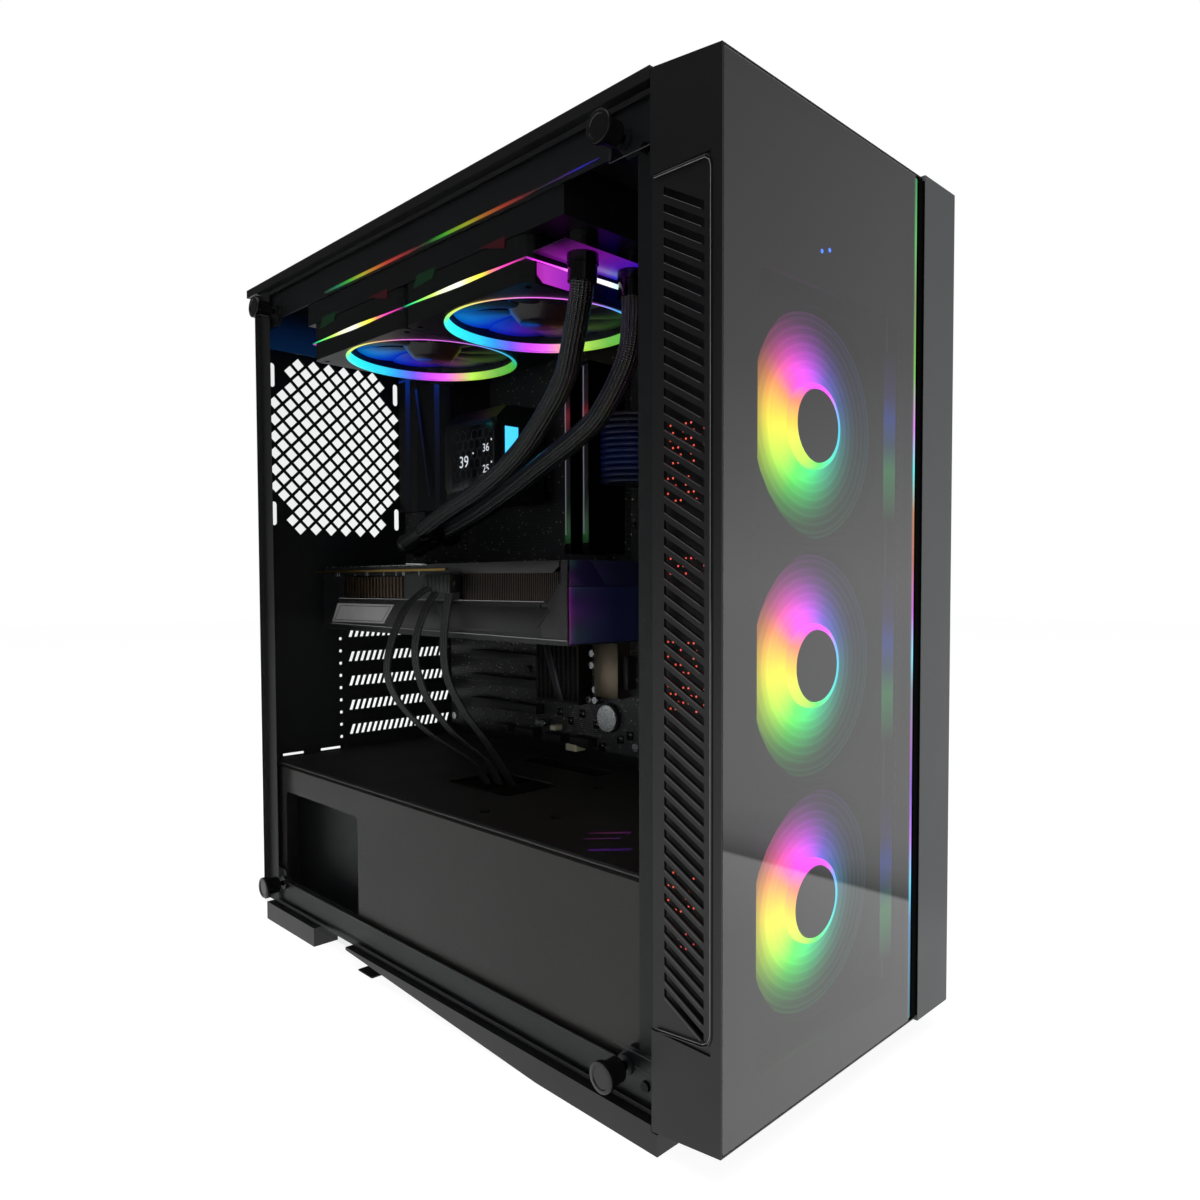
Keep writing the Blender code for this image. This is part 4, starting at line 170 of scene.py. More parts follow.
@dataclass(frozen=True)
class PowderCoat(Finish):
    """Polyester powder baked on sheet steel: a fine orange-peel grain that catches small glints."""

    code: str = "101012"
    grain_mm: float = 0.7
    roughness: float = 0.42
    depth_mm: float = 0.06

    def dress(self, tree: Tree) -> Node:
        """Dark coat with mottled roughness and a fine grain.

        Args:
            tree: the material's node tree.

        Returns:
            The surface shader.
        """
        where = centred(tree)
        speck = add(tree, NOISE, {"Vector": where, "Scale": per_mm(self.grain_mm), "Detail": 3.0})
        cloud = add(tree, NOISE, {"Vector": where, "Scale": per_mm(60)})
        tint = add(tree, MIX, {0: speck, 6: linear(self.code), 7: linear(self.code, 1.5)}, data_type="RGBA")
        rough = add(tree, MATHS, cloud, 0.12, self.roughness - 0.06, operation="MULTIPLY_ADD")
        normal = add(tree, BUMP, {"Height": speck, "Distance": self.depth_mm * MM})
        return add(tree, SURFACE, {"Base Color": tint, "Roughness": rough, "Normal": normal})


@dataclass(frozen=True)
class MouldedPlastic(Finish):
    """Injection-moulded plastic with an eroded mould texture, which scatters its highlights."""

    code: str
    grain_mm: float
    roughness: float
    depth_mm: float = 0.05
    shine: float = 0.5

    def dress(self, tree: Tree) -> Node:
        """Dark plastic with a pebbled grain and faint flow marks.

        Args:
            tree: the material's node tree.

        Returns:
            The surface shader.
        """
        where = centred(tree)
        grid = {"Vector": where, "Scale": per_mm(self.grain_mm), "Smoothness": 0.6}
        pebble = add(tree, CELLS, grid, feature="SMOOTH_F1")
        flow = add(tree, NOISE, {"Vector": where, "Scale": per_mm(35)})
        tint = add(tree, MIX, {0: flow, 6: linear(self.code), 7: linear(self.code, 1.25)}, data_type="RGBA")
        rough = add(tree, MATHS, flow, 0.1, self.roughness - 0.05, operation="MULTIPLY_ADD")
        normal = add(tree, BUMP, {"Height": pebble, "Distance": self.depth_mm * MM})
        look = {"Base Color": tint, "Roughness": rough, "Normal": normal, "Specular IOR Level": self.shine}
        return add(tree, SURFACE, look)


@dataclass(frozen=True)
class BrushedMetal(Finish):
    """Metal drawn through abrasive belts along its height, which streaks its reflections."""

    code: str
    roughness: float
    line_mm: float = 0.35

    def dress(self, tree: Tree) -> Node:
        """Metal with fine upright lines.

        Args:
            tree: the material's node tree.

        Returns:
            The surface shader.
        """
        where = add(tree, VECTOR, centred(tree), (1, 1, 0.02), operation="MULTIPLY")
        lines = add(tree, NOISE, {"Vector": where, "Scale": per_mm(self.line_mm), "Detail": 3.0})
        tint = add(tree, MIX, {0: lines, 6: linear(self.code, 0.7), 7: linear(self.code)}, data_type="RGBA")
        rough = add(tree, MATHS, lines, 0.2, self.roughness - 0.1, operation="MULTIPLY_ADD")
        normal = add(tree, BUMP, {"Height": lines, "Distance": 0.02 * MM})
        look = {"Base Color": tint, "Roughness": rough, "Normal": normal, "Metallic": 1.0}
        return add(tree, SURFACE, look)


@dataclass(frozen=True)
class PlatedMetal(Finish):
    """Turned or pressed metal with a plated skin of nickel, gold or zinc, slightly uneven."""

    code: str = "b9babd"
    roughness: float = 0.25

    def dress(self, tree: Tree) -> Node:
        """Bright metal with small dull patches.

        Args:
            tree: the material's node tree.

        Returns:
            The surface shader.
        """
        where = centred(tree)
        patch = add(tree, NOISE, {"Vector": where, "Scale": per_mm(2.5), "Detail": 3.0})
        rough = add(tree, MATHS, patch, 0.25, self.roughness - 0.1, operation="MULTIPLY_ADD")
        ripple = add(tree, NOISE, {"Vector": where, "Scale": per_mm(0.6)})
        normal = add(tree, BUMP, {"Height": ripple, "Distance": 0.02 * MM})
        look = {"Base Color": linear(self.code), "Roughness": rough, "Normal": normal, "Metallic": 1.0}
        return add(tree, SURFACE, look)


@dataclass(frozen=True)
class BoardLaminate(Finish):
    """Glass-fibre laminate under black solder mask: buried copper tracks show as raised lines.

    The tracks are drawn coarser than real ones, which are too fine to show.
    """

    track_mm: float = 2.6

    def dress(self, tree: Tree) -> Node:
        """Near-black mask with paler tracks running in bends, and small plated holes.

        Args:
            tree: the material's node tree.

        Returns:
            The surface shader.
        """
        where = centred(tree)
        block = add(tree, CELLS, {"Vector": where, "Scale": per_mm(22)}, distance="CHEBYCHEV")
        lean = add(tree, MATHS, block.outputs["Color"], 3.0, operation="MULTIPLY")
        parts = add(tree, SPLIT, where).outputs
        way: Socket | Node = parts["Z"]
        for how, level in (("SUBTRACT", 1.3), ("ADD", 2.2)):
            chosen = add(tree, MATHS, lean, level, operation="GREATER_THAN")
            slant = add(tree, MATHS, parts["Y"], parts["Z"], operation=how)
            slant = add(tree, MATHS, slant, 0.7, operation="MULTIPLY")
            way = add(tree, MIX, {0: chosen, 2: way, 3: slant}, data_type="FLOAT")
        phase = add(tree, MATHS, way, FULL_TURN / (self.track_mm * MM), operation="MULTIPLY")
        wave = add(tree, MATHS, phase, operation="SINE")
        crest = add(tree, MATHS, wave, 0.55, operation="SUBTRACT")
        line = add(tree, MATHS, crest, 0.0, 0.1, operation="SMOOTH_MAX")
        dot = add(tree, CELLS, {"Vector": where, "Scale": per_mm(5), "Randomness": 0.8})
        hole = add(tree, MATHS, dot, 0.12, operation="LESS_THAN")
        tint = add(tree, MIX, {0: line, 6: linear("1a1a1c"), 7: linear("47474a")}, data_type="RGBA")
        tint = add(tree, MIX, {0: hole, 6: tint, 7: linear("a09880")}, data_type="RGBA")
        normal = add(tree, BUMP, {"Height": line, "Distance": 0.05 * MM})
        return add(tree, SURFACE, {"Base Color": tint, "Roughness": 0.38, "Normal": normal})


@dataclass(frozen=True)
class BraidedSleeve(Finish):
    """Polyester monofilament braided over rubber hose: two sets of strands cross, with painted glints on
    their crests.
    """

    strands: int = 18
    pitch_mm: float = 22.0

    def dress(self, tree: Tree) -> Node:
        """Strands woven both ways round the hose, from its own turn and length attribute.

        Args:
            tree: the material's node tree.

        Returns:
            The surface shader.
        """
        lay = add(tree, "ShaderNodeAttribute", attribute_name="lay").outputs["Vector"]
        parts = add(tree, SPLIT, lay).outputs
        angle = add(tree, MATHS, parts["Y"], parts["X"], operation="ARCTAN2")
        round_it = add(tree, MATHS, angle, self.strands / 2, operation="MULTIPLY")
        twist = math.pi * self.strands / (self.pitch_mm * MM)
        along = add(tree, MATHS, parts["Z"], twist, operation="MULTIPLY")
        sums = [add(tree, MATHS, round_it, along, operation=how) for how in ("ADD", "SUBTRACT")]
        left, right = (add(tree, MATHS, total, operation="SINE") for total in sums)
        weave = add(tree, MATHS, left, right, operation="MULTIPLY")
        height = add(tree, MATHS, weave, 0.5, 0.5, operation="MULTIPLY_ADD")
        # the palest stop is a painted glint on the crests of the strands
        shades = ((0.0, "010102"), (0.72, "030304"), (0.92, "0c0c0f"), (1.0, "808088"))
        tint = add(tree, RAMP, height, stops=shades)
        rough = add(tree, MATHS, height, -0.24, 0.36, operation="MULTIPLY_ADD")
        normal = add(tree, BUMP, {"Height": height, "Distance": 0.7 * MM})
        look = {"Base Color": tint, "Roughness": rough, "Normal": normal, "Specular IOR Level": 0.6}
        return add(tree, SURFACE, look)


def outer_mirror(tree: Tree, ior: float) -> Node:
    """Share of light that a pane's outer faces mirror; the faces seen from inside mirror none.

    Args:
        tree: the material's node tree.
        ior: the pane's index of refraction.

    Returns:
        The node that gives the share.
    """
    inside = add(tree, "ShaderNodeNewGeometry").outputs["Backfacing"]
    outside = add(tree, MATHS, 1.0, inside, operation="SUBTRACT")
    return add(tree, MATHS, add(tree, "ShaderNodeFresnel", ior), outside, operation="MULTIPLY")


@dataclass(frozen=True)
class ClearPane(Finish):
    """Clear toughened float glass: almost all light goes straight through its thin pane."""

    mirror: float = 0.02

    def dress(self, tree: Tree) -> Node:
        """A see-through sheet that mirrors more at glancing angles.

        Args:
            tree: the material's node tree.

        Returns:
            The surface shader.
        """
        clear = add(tree, CLEAR_SHADER, (0.97, 0.98, 0.975, 1))
        shine = add(tree, "ShaderNodeBsdfGlossy", (self.mirror, self.mirror, self.mirror, 1), 0.02)
        return add(tree, EITHER, outer_mirror(tree, 1.35), clear, shine)


@dataclass(frozen=True)
class TintedPane(Finish):
    """Grey body-tinted toughened glass: dims what is behind it and mirrors the room in front."""

    through: str = "c6c6c8"
    ior: float = 2.0

    def dress(self, tree: Tree) -> Node:
        """A tinted see-through sheet under a polished face.

        Args:
            tree: the material's node tree.

        Returns:
            The surface shader.
        """
        clear = add(tree, CLEAR_SHADER, linear(self.through))
        haze = add(tree, NOISE, {"Vector": centred(tree), "Scale": per_mm(90)})
        rough = add(tree, MATHS, haze, 0.02, 0.01, operation="MULTIPLY_ADD")
        shine = add(tree, "ShaderNodeBsdfGlossy", (1, 1, 1, 1), rough)
        return add(tree, EITHER, outer_mirror(tree, self.ior), clear, shine)


# ------------------------------------------------------------------ kinds of lit finish
@dataclass(frozen=True)
class Glow(Finish):
    """Base of the finishes that give light of their own from a plain body: real diodes and light guides, and
    painted light on surfaces that are no lamps.
    """

    strength: float
    body: str
    roughness: ClassVar[float] = 0.3

    def lit(self, tree: Tree, colour: object) -> Node:
        """The plain body, giving light of this colour."""
        look = {"Base Color": linear(self.body), "Roughness": self.roughness}
        return add(tree, SURFACE, {**look, "Emission Color": colour, "Emission Strength": self.strength})


def around(tree: Tree, centre: Point, axis: str, stops: Stops) -> Node:
    """Colour by the angle round an axis through `centre`.

    Args:
        tree: the material's tree.
        centre: a point on the axis, in metres.
        axis: "Z" measures from +X towards +Y, "Y" from +X towards +Z.
        stops: angle in degrees and hex colour, from -180 to 180.

    Returns:
        The node that gives the colour.
    """
    parts = add(tree, SPLIT, centred(tree, centre)).outputs
    angle = add(tree, MATHS, parts["Y" if axis == "Z" else "Z"], parts["X"], operation="ARCTAN2")
    share = add(tree, MATHS, angle, 1 / FULL_TURN, 0.5, operation="MULTIPLY_ADD")
    return add(tree, RAMP, share, stops=tuple(((turn + 180) / 360, code) for turn, code in stops))


@dataclass(frozen=True)
class RingGlow(Glow):
    """Milky acrylic light guide lit from behind by diodes, its colour set by the angle."""

    centre: Point
    axis: str
    stops: Stops
    roughness: ClassVar[float] = 0.35

    def dress(self, tree: Tree) -> Node:
        """Light whose colour follows the angle round the ring."""
        return self.lit(tree, around(tree, self.centre, self.axis, self.stops))


@dataclass(frozen=True)
class LineGlow(Glow):
    """Milky acrylic lit along one axis, or paint and plastic given painted light along it, from `low` to
    `high` in metres.
    """

    axis: str
    low: float
    high: float
    stops: Stops

    def dress(self, tree: Tree) -> Node:
        """Light whose colour follows one axis.

        Args:
            tree: the material's node tree.

        Returns:
            The surface shader.
        """
        place = add(tree, SPLIT, centred(tree)).outputs[self.axis]
        share = add(tree, RANGE, place, self.low, self.high)
        return self.lit(tree, add(tree, RAMP, share, stops=self.stops))


@dataclass(frozen=True)
class LitBlades(Glow):
    """Frosted polycarbonate that carries light outwards from the diodes round a fan's hub.

    `spill` moves the brightest place off the axis, as the hub's shade leaves one side dimmer,
    and `veil` is the share of light that goes straight through.
    """

    centre: Point
    axis: str
    stops: Stops
    fade: Stops
    spill: Point = (0, 0, 0)
    veil: float = 0.0
    inner: float = 0.019
    outer: float = 0.056
    roughness: ClassVar[float] = 0.4

    def dress(self, tree: Tree) -> Node:
        """Light by angle that fades with the distance from the hub.

        Args:
            tree: the material's node tree.

        Returns:
            The surface shader.
        """
        colour = around(tree, self.centre, self.axis, self.stops)
        place = centred(tree, [c + s for c, s in zip(self.centre, self.spill)])
        flat = add(tree, VECTOR, place, (1, 0, 1) if self.axis == "Y" else (1, 1, 0), operation="MULTIPLY")
        reach = add(tree, VECTOR, flat, operation="LENGTH").outputs["Value"]
        level = add(tree, RAMP, add(tree, RANGE, reach, self.inner, self.outer), stops=self.fade)
        mixed = {0: 1.0, 6: colour, 7: level}
        shade = self.lit(tree, add(tree, MIX, mixed, data_type="RGBA", blend_type="MULTIPLY"))
        return add(tree, EITHER, self.veil, shade, add(tree, CLEAR_SHADER)) if self.veil else shade


@dataclass(frozen=True)
class Lamp(Glow):
    """A small diode or lit window of one colour under a clear face, or painted light of one colour on a
    surface that is no lamp.
    """

    code: str

    def dress(self, tree: Tree) -> Node:
        """Even light with slight mottling.

        Args:
            tree: the material's node tree.

        Returns:
            The surface shader.
        """
        mottle = add(tree, NOISE, {"Vector": centred(tree), "Scale": per_mm(3)})
        shades = {0: mottle, 6: linear(self.code), 7: linear(self.code, 1.15)}
        return self.lit(tree, add(tree, MIX, shades, data_type="RGBA"))


# ------------------------------------------------------------------ the finishes of this tower
# Powder coat and enamel: a soft sheen over a pebbled skin; inside the case the coat is duller, and its darker
# colour there is painted shade.
POWDER = PowderCoat("powder coated steel")
SHROUD_COAT = PowderCoat("powder coated steel, shroud", "1a1716", 0.8, 0.4)
SHADED_INNER_COAT = PowderCoat("powder coated steel, painted shade inside", "08080a", 0.8, 0.5)
DARK_PAINT = PowderCoat("stoved enamel", "0b0b0d", 0.5, 0.35, 0.03)
PAINTED_FOLD_HIGHLIGHT = PowderCoat("powder coat with painted edge highlight", "3c3c3e", 0.8, 0.3)  # painted highlight along the bent edges
# Textured plastics: even, soft highlights that the fine grain breaks up.
ABS = MouldedPlastic("textured ABS", "0e0e0f", 0.45, 0.42)
ABS_PALE = MouldedPlastic("fine textured ABS, pillar", "4a4c4d", 0.3, 0.42)
CARD_PLASTIC = MouldedPlastic("satin ABS card shroud", "0e0e10", 0.3, 0.34)
CARD_FRAME = MouldedPlastic("satin ABS card frame", "232122", 0.3, 0.36, shine=0.3)
CARD_PLATE = MouldedPlastic("satin ABS card plate", "1d1b1c", 0.3, 0.34, shine=0.25)
BADGE = MouldedPlastic("pale grey ABS plate", "858182", 0.5, 0.4)
NYLON = MouldedPlastic("glass filled nylon", "0b0b0c", 0.4, 0.45)
PALE_NYLON = MouldedPlastic("natural nylon", "a09a86", 0.5, 0.45)  # reads as ivory
PBT = MouldedPlastic("PBT fan frame", "0a0a0b", 0.35, 0.32)
SHEATH = MouldedPlastic("PVC wire sheath", "0c0c0d", 0.6, 0.38)
# Dead black: rubber gives back almost nothing, and the black sheet in the light strip's gap is painted
# shadow.
RUBBER = MouldedPlastic("nitrile rubber", "0a0a0a", 0.8, 0.7)
PAINTED_SHADOW_BLACK = MouldedPlastic("black ABS painted as shadow", "020202", 0.5, 0.9, shine=0.05)
# Prints: flat ink that is only a little duller than what it stands on.
FRIT = MouldedPlastic("black ceramic print", "141415", 1.2, 0.5, 0.02)
WHITE_INK = MouldedPlastic("white screen print", "d8d8d8", 0.5, 0.5)
GRID_INK = MouldedPlastic("satin screen print", "1c1f22", 1.0, 0.4)
# Polished plastics: sharp reflections. The pale arris and edge finishes are painted highlights, a bright line
# along a rounded edge.
GLOSS = MouldedPlastic("polished black ABS", "050506", 4.0, 0.12, 0.01)
SCREEN = MouldedPlastic("polished display cover", "060708", 5.0, 0.15, 0.01)
SCREW_GLOSS = MouldedPlastic("black chromed screw", "0a0a0b", 3.0, 0.16, 0.01)
PAINTED_EDGE_HIGHLIGHT = MouldedPlastic("ABS arris with painted highlight", "6a6a6c", 3.0, 0.25, 0.01)
PAINTED_LIP_HIGHLIGHT = MouldedPlastic("ABS vent lip with painted highlight", "4c4c4e", 3.0, 0.3, 0.01)
PAINTED_CARD_EDGE_HIGHLIGHT = MouldedPlastic("ABS card edge with painted highlight", "8a8687", 2.0, 0.2, 0.01)
# Anodised, brushed and tinned metal: coloured by its skin, with streaks that follow the belt.
BLACK_ANODISED = BrushedMetal("black anodised aluminium", "1b1b1d", 0.35)
GREY_ANODISED = BrushedMetal("grey anodised aluminium", "4c4c50", 0.33)
WARM_ANODISED = BrushedMetal("bead blasted aluminium", "3a3634", 0.4)
BROWN_BRUSHED = BrushedMetal("bronze anodised aluminium", "8a7c6c", 0.35)
FIN = BrushedMetal("aluminium fin", "6b5c55", 0.35)
COPPER_FIN = BrushedMetal("copper plated fin", "77604c", 0.35)
PALE_METAL = BrushedMetal("tinned copper", "8c8a86", 0.4, 0.5)
# Plated metal: bright and clean, with cloudy patches.
STEEL = PlatedMetal("nickel plated steel")
BRASS = PlatedMetal("gold plated brass", "c9a45c", 0.3)
DARK_SCREW = PlatedMetal("black zinc plated steel", "2a2a2c", 0.35)
# Laminate, braid and glass, each with its own pattern.
LAMINATE = BoardLaminate("solder masked laminate")
SLEEVE = BraidedSleeve("braided polyester sleeve")
CLEAR = ClearPane("clear toughened glass")
TINTED = TintedPane("grey toughened glass")
# Lit windows: an even patch of light; on the memory chamfer it is a painted highlight and on the rail's
# enamel painted fan light.
LAMP_BODY, ENAMEL_BODY = "808084", "08080a"
BLUE_DIODE = Lamp("blue diode", 5.0, LAMP_BODY, "3a78ff")
NUMBER_LIGHT = Lamp("white diode segments", 0.75, LAMP_BODY, "e8ecf4")
CYAN_BAR = Lamp("cyan light bar", 1.6, LAMP_BODY, "30b4f0")
EDGE_LIGHT = Lamp("chamfer with painted highlight along its length", 0.7, "505054", "70707c")
GREEN_ENAMEL = Lamp("enamel lit green", 0.6, ENAMEL_BODY, "0c3018")
RED_ENAMEL = Lamp("enamel lit red", 0.6, ENAMEL_BODY, "3c0a10")


# ------------------------------------------------------------------ shapes
class Shape:
    """A mesh in the making, drawn in millimetres: blocks, prisms, rods and turned rings."""

    def __init__(self) -> None:
        """Start an empty shape."""
        self.bm = bmesh.new()

    def soften(self, faces: Iterable[bmesh.types.BMFace], round_mm: float) -> "Shape":
        """Round the edges of some faces.

        Args:
            faces: the faces.
            round_mm: radius of their edges.

        Returns:
            This shape.
        """
        if round_mm > 0:
            edges = list({e for f in faces for e in f.edges})
            bmesh.ops.bevel(self.bm, geom=edges, offset=round_mm, segments=2, profile=0.5, affect="EDGES")
        return self

    def block(self, low: Sequence[float], high: Sequence[float], round_mm: float = 0.0) -> "Shape":
        """Add a box between two corners.

        Args:
            low: the corner nearest -X, -Y and -Z.
            high: the opposite corner.
            round_mm: radius of its edges.

        Returns:
            This shape.
        """
        low_v, high_v = Vector(low), Vector(high)
        made = bmesh.ops.create_cube(self.bm, size=1.0)["verts"]
        place = Matrix.Translation((low_v + high_v) / 2) @ Matrix.Diagonal((*(high_v - low_v), 1.0))
        bmesh.ops.transform(self.bm, matrix=place, verts=made)
        return self.soften({f for v in made for f in v.link_faces}, round_mm)

    def prism(
        self, outline: Sequence[Pair], axis: str, low: float, high: float, round_mm: float = 0.0
    ) -> "Shape":
        """Add a straight prism.

        Args:
            outline: its corners in the two other axes, in X, Y, Z order.
            axis: the axis it runs along.
            low: where it starts.
            high: where it ends.
            round_mm: radius of its edges.

        Returns:
            This shape.
        """
        k = "XYZ".index(axis)
        ends = [[self.bm.verts.new((*p[:k], h, *p[k:])) for p in outline] for h in (low, high)]
        faces = [self.bm.faces.new(end) for end in ends]
        for a, b, c, d in zip(ends[0], ends[0][1:] + ends[0][:1], ends[1][1:] + ends[1][:1], ends[1]):
            faces.append(self.bm.faces.new((a, b, c, d)))
        bmesh.ops.recalc_face_normals(self.bm, faces=faces)
        return self.soften(faces, round_mm)

    def rod(
        self, start: Sequence[float], end: Sequence[float], radius: float, sides: int = 24,
        tip: float | None = None,
    ) -> "Shape":
        """Add a round rod, or a cone.

        Args:
            start: the middle of its first end.
            end: the middle of its other end.
            radius: its radius.
            sides: how many flat sides it has.
            tip: its radius at the other end, where that differs.

        Returns:
            This shape.
        """
        start_v, end_v = Vector(start), Vector(end)
        along = end_v - start_v
        place = Matrix.Translation((start_v + end_v) / 2) @ along.to_track_quat("Z", "Y").to_matrix().to_4x4()
        bmesh.ops.create_cone(
            self.bm, cap_ends=True, segments=sides, radius1=radius, depth=along.length, matrix=place,
            radius2=radius if tip is None else tip,
        )
        return self

    def rods(self, corners: Sequence[Sequence[float]], radius: float, sides: int) -> "Shape":
        """Join each corner to the next with a rod.

        Args:
            corners: the points, in order.
            radius: the rods' radius.
            sides: how many flat sides each rod has.

        Returns:
            This shape.
        """
        for start, end in zip(corners, corners[1:]):
            self.rod(start, end, radius, sides)
        return self

    def lathe(
        self, profile: Sequence[Pair], sides: int = 64, axis: str = "Z", centre: Sequence[float] = (0, 0, 0)
    ) -> "Shape":
        """Turn a closed profile round an axis and close its poles.

        Args:
            profile: radius and height of each corner.
            sides: how many steps go round.
            axis: the axis it turns round.
            centre: a point on the axis, where heights are measured from.

        Returns:
            This shape.
        """
        k = "XYZ".index(axis)
        rings = []
        for step in range(sides):
            c, s = math.cos(FULL_TURN * step / sides), math.sin(FULL_TURN * step / sides)
            flat = [((r * c, r * s), h) for r, h in profile]
            rings.append([self.bm.verts.new(Vector((*p[:k], h, *p[k:])) + Vector(centre)) for p, h in flat])
        faces = []
        for ring, after in zip(rings, rings[1:] + rings[:1]):
            for j, start in enumerate(ring):
                k = (j + 1) % len(ring)
                faces.append(self.bm.faces.new((start, ring[k], after[k], after[j])))
        bmesh.ops.recalc_face_normals(self.bm, faces=faces)
        poles = [v for ring in rings for v, (radius, _) in zip(ring, profile) if radius == 0]
        bmesh.ops.remove_doubles(self.bm, verts=poles, dist=0.0001)
        return self

    def write(self, text: str, size: float, centre: Sequence[float], facing: Matrix) -> "Shape":
        """Add plain figures a tenth of a millimetre thick, turned to a face.

        Args:
            text: the figures.
            size: their height.
            centre: the middle of the text.
            facing: matrix whose columns are the text's own right, up and outward directions.

        Returns:
            This shape.
        """
        data = bpy.data.curves.new("figures", "FONT")
        data.body, data.align_x, data.align_y = text, "CENTER", "CENTER"
        data.size, data.extrude = size / 0.72, 0.05  # a figure is 0.72 of its font's size
        mesh = evaluated("figures", bpy.data.objects.new("figures", data))
        mesh.transform(Matrix.Translation(centre) @ facing.to_4x4())
        self.bm.from_mesh(mesh)
        return self

    def mesh(self, place: Matrix | None = None) -> Mesh:
        """Close the shape as a mesh in metres.

        Args:
            place: what moves it, in metres.

        Returns:
            The mesh.
        """
        made = bpy.data.meshes.new("shape")
        self.bm.to_mesh(made)
        self.bm.free()
        made.transform((place or Matrix.Identity(4)) @ Matrix.Scale(MM, 4))
        return made


def evaluated(name: str, holder: Piece) -> Mesh:
    """The plain mesh of a new object with its modifiers applied; the object is removed.

    Args:
        name: the mesh's name.
        holder: the object, which isn't in the scene yet.

    Returns:
        The mesh.
    """
    bpy.context.scene.collection.objects.link(holder)
    holder.update_tag()
    mesh = bpy.data.meshes.new_from_object(holder.evaluated_get(bpy.context.evaluated_depsgraph_get()))
    bpy.data.objects.remove(holder)
    mesh.name = name
    return mesh


def mm(*values: float) -> Point:
    """A point given in millimetres, in metres."""
    return tuple(value * MM for value in values)


def box_mm(node: str) -> tuple[Vector, Vector]:
    """Lowest and highest corner of a node of the solid model, in millimetres."""
    low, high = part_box(node)
    return low * 1000, high * 1000


@dataclass
class Assembly:
    """A sub-assembly whose pieces ride on one body."""

    body: str = "chassis"

    def piece(
        self, name: str, shape: Shape | Mesh, finish: Finish, slot: str, smooth_deg: float | None = 30.0,
        body: str = "",
    ) -> Piece:
        """Finish a piece: link, dress, shade and ride it.

        Args:
            name: the piece's name.
            shape: its shape, or its mesh in metres.
            finish: its finish.
            slot: the record's material slot it stands under; not used.
            smooth_deg: faces that meet at less than this are shaded smooth; None keeps them flat.
            body: the body it moves with, where that isn't the assembly's own.

        Returns:
            The piece.
        """
        mesh = shape.mesh() if isinstance(shape, Shape) else shape
        mesh.materials.clear()
        mesh.materials.append(finish.material())
        if smooth_deg is not None:
            mesh.shade_smooth()
            mesh.set_sharp_from_angle(angle=math.radians(smooth_deg))
        made = bpy.data.objects.new(name, mesh)
        bpy.context.scene.collection.objects.link(made)
        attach(made, body or self.body)
        log.info("%s: %d faces on %s", name, len(mesh.polygons), body or self.body)
        return made


# ------------------------------------------------------------------ geometry node trees
class Grower:
    """One geometry node tree with named inputs, and the meshes it grows."""

    def __init__(self, name: str, **inputs: str) -> None:
        """Start a tree with a geometry input and output, a Finish input and others by kind.

        Args:
            name: the tree's name.
            inputs: the kind of each further input, by name.
        """
        self.tree = bpy.data.node_groups.new(name, "GeometryNodeTree")
        for way in ("INPUT", "OUTPUT"):
            self.tree.interface.new_socket("Geometry", in_out=way, socket_type="NodeSocketGeometry")
        for word, kind in {**inputs, "Finish": "Material"}.items():
            self.tree.interface.new_socket(word, in_out="INPUT", socket_type=f"NodeSocket{kind}")
        self.start = self.tree.nodes.new("NodeGroupInput").outputs

    def close(self, geometry: Node) -> "Grower":
        """End the tree: real geometry instead of instances, dressed in the Finish input.

        Args:
            geometry: the node that makes the geometry.

        Returns:
            This grower.
        """
        real = add(self.tree, "GeometryNodeRealizeInstances", geometry)
        look = {"Geometry": real, "Material": self.start["Finish"]}
        add(self.tree, "NodeGroupOutput", add(self.tree, "GeometryNodeSetMaterial", look))
        return self

    def grow(self, name: str, base: Mesh, finish: Finish, **values: object) -> Mesh:
        """Run the tree on a mesh with the given inputs.

        Args:
            name: the new mesh's name.
            base: the mesh that the tree starts from.
            finish: what the result is dressed in.
            values: the tree's other inputs by name.

        Returns:
            The grown mesh.
        """
        holder = bpy.data.objects.new(name, base)
        modifier = holder.modifiers.new("grow", "NODES")
        modifier.node_group = self.tree
        items = self.tree.interface.items_tree
        sockets = {item.name: item.identifier for item in items if item.in_out == "INPUT"}
        for word, value in {**values, "Finish": finish.material()}.items():
            modifier[sockets[word]] = value
        return evaluated(name, holder)


def points_mesh(places: Iterable[Sequence[float]]) -> Mesh:
    """A mesh of loose points given in millimetres.

    Args:
        places: the points.

    Returns:
        The mesh.
    """
    made = bpy.data.meshes.new("places")
    made.from_pydata([mm(*place) for place in places], [], [])
    return made


def paths_mesh(routes: Iterable[Sequence[Sequence[float]]]) -> Mesh:
    """A mesh of lines, each through points given in millimetres.

    Args:
        routes: the points of each line, in order.

    Returns:
        The mesh.
    """
    points, edges = [], []
    for route in routes:
        edges += [(len(points) + i, len(points) + i + 1) for i in range(len(route) - 1)]
        points += [mm(*point) for point in route]
    made = bpy.data.meshes.new("paths")
    made.from_pydata(points, edges, [])
    return made


def row_tree() -> Grower:
    """Tree that sets one piece at every point it is given.

    Returns:
        The tree.
    """
    rows = Grower("set at points", Piece="Object")
    tree = rows.tree
    source = add(tree, "GeometryNodeObjectInfo", rows.start["Piece"], transform_space="ORIGINAL")
    spots = add(tree, "GeometryNodeMeshToPoints", rows.start["Geometry"])
    copies = {"Points": spots, "Instance": source.outputs["Geometry"]}
    return rows.close(add(tree, "GeometryNodeInstanceOnPoints", copies))


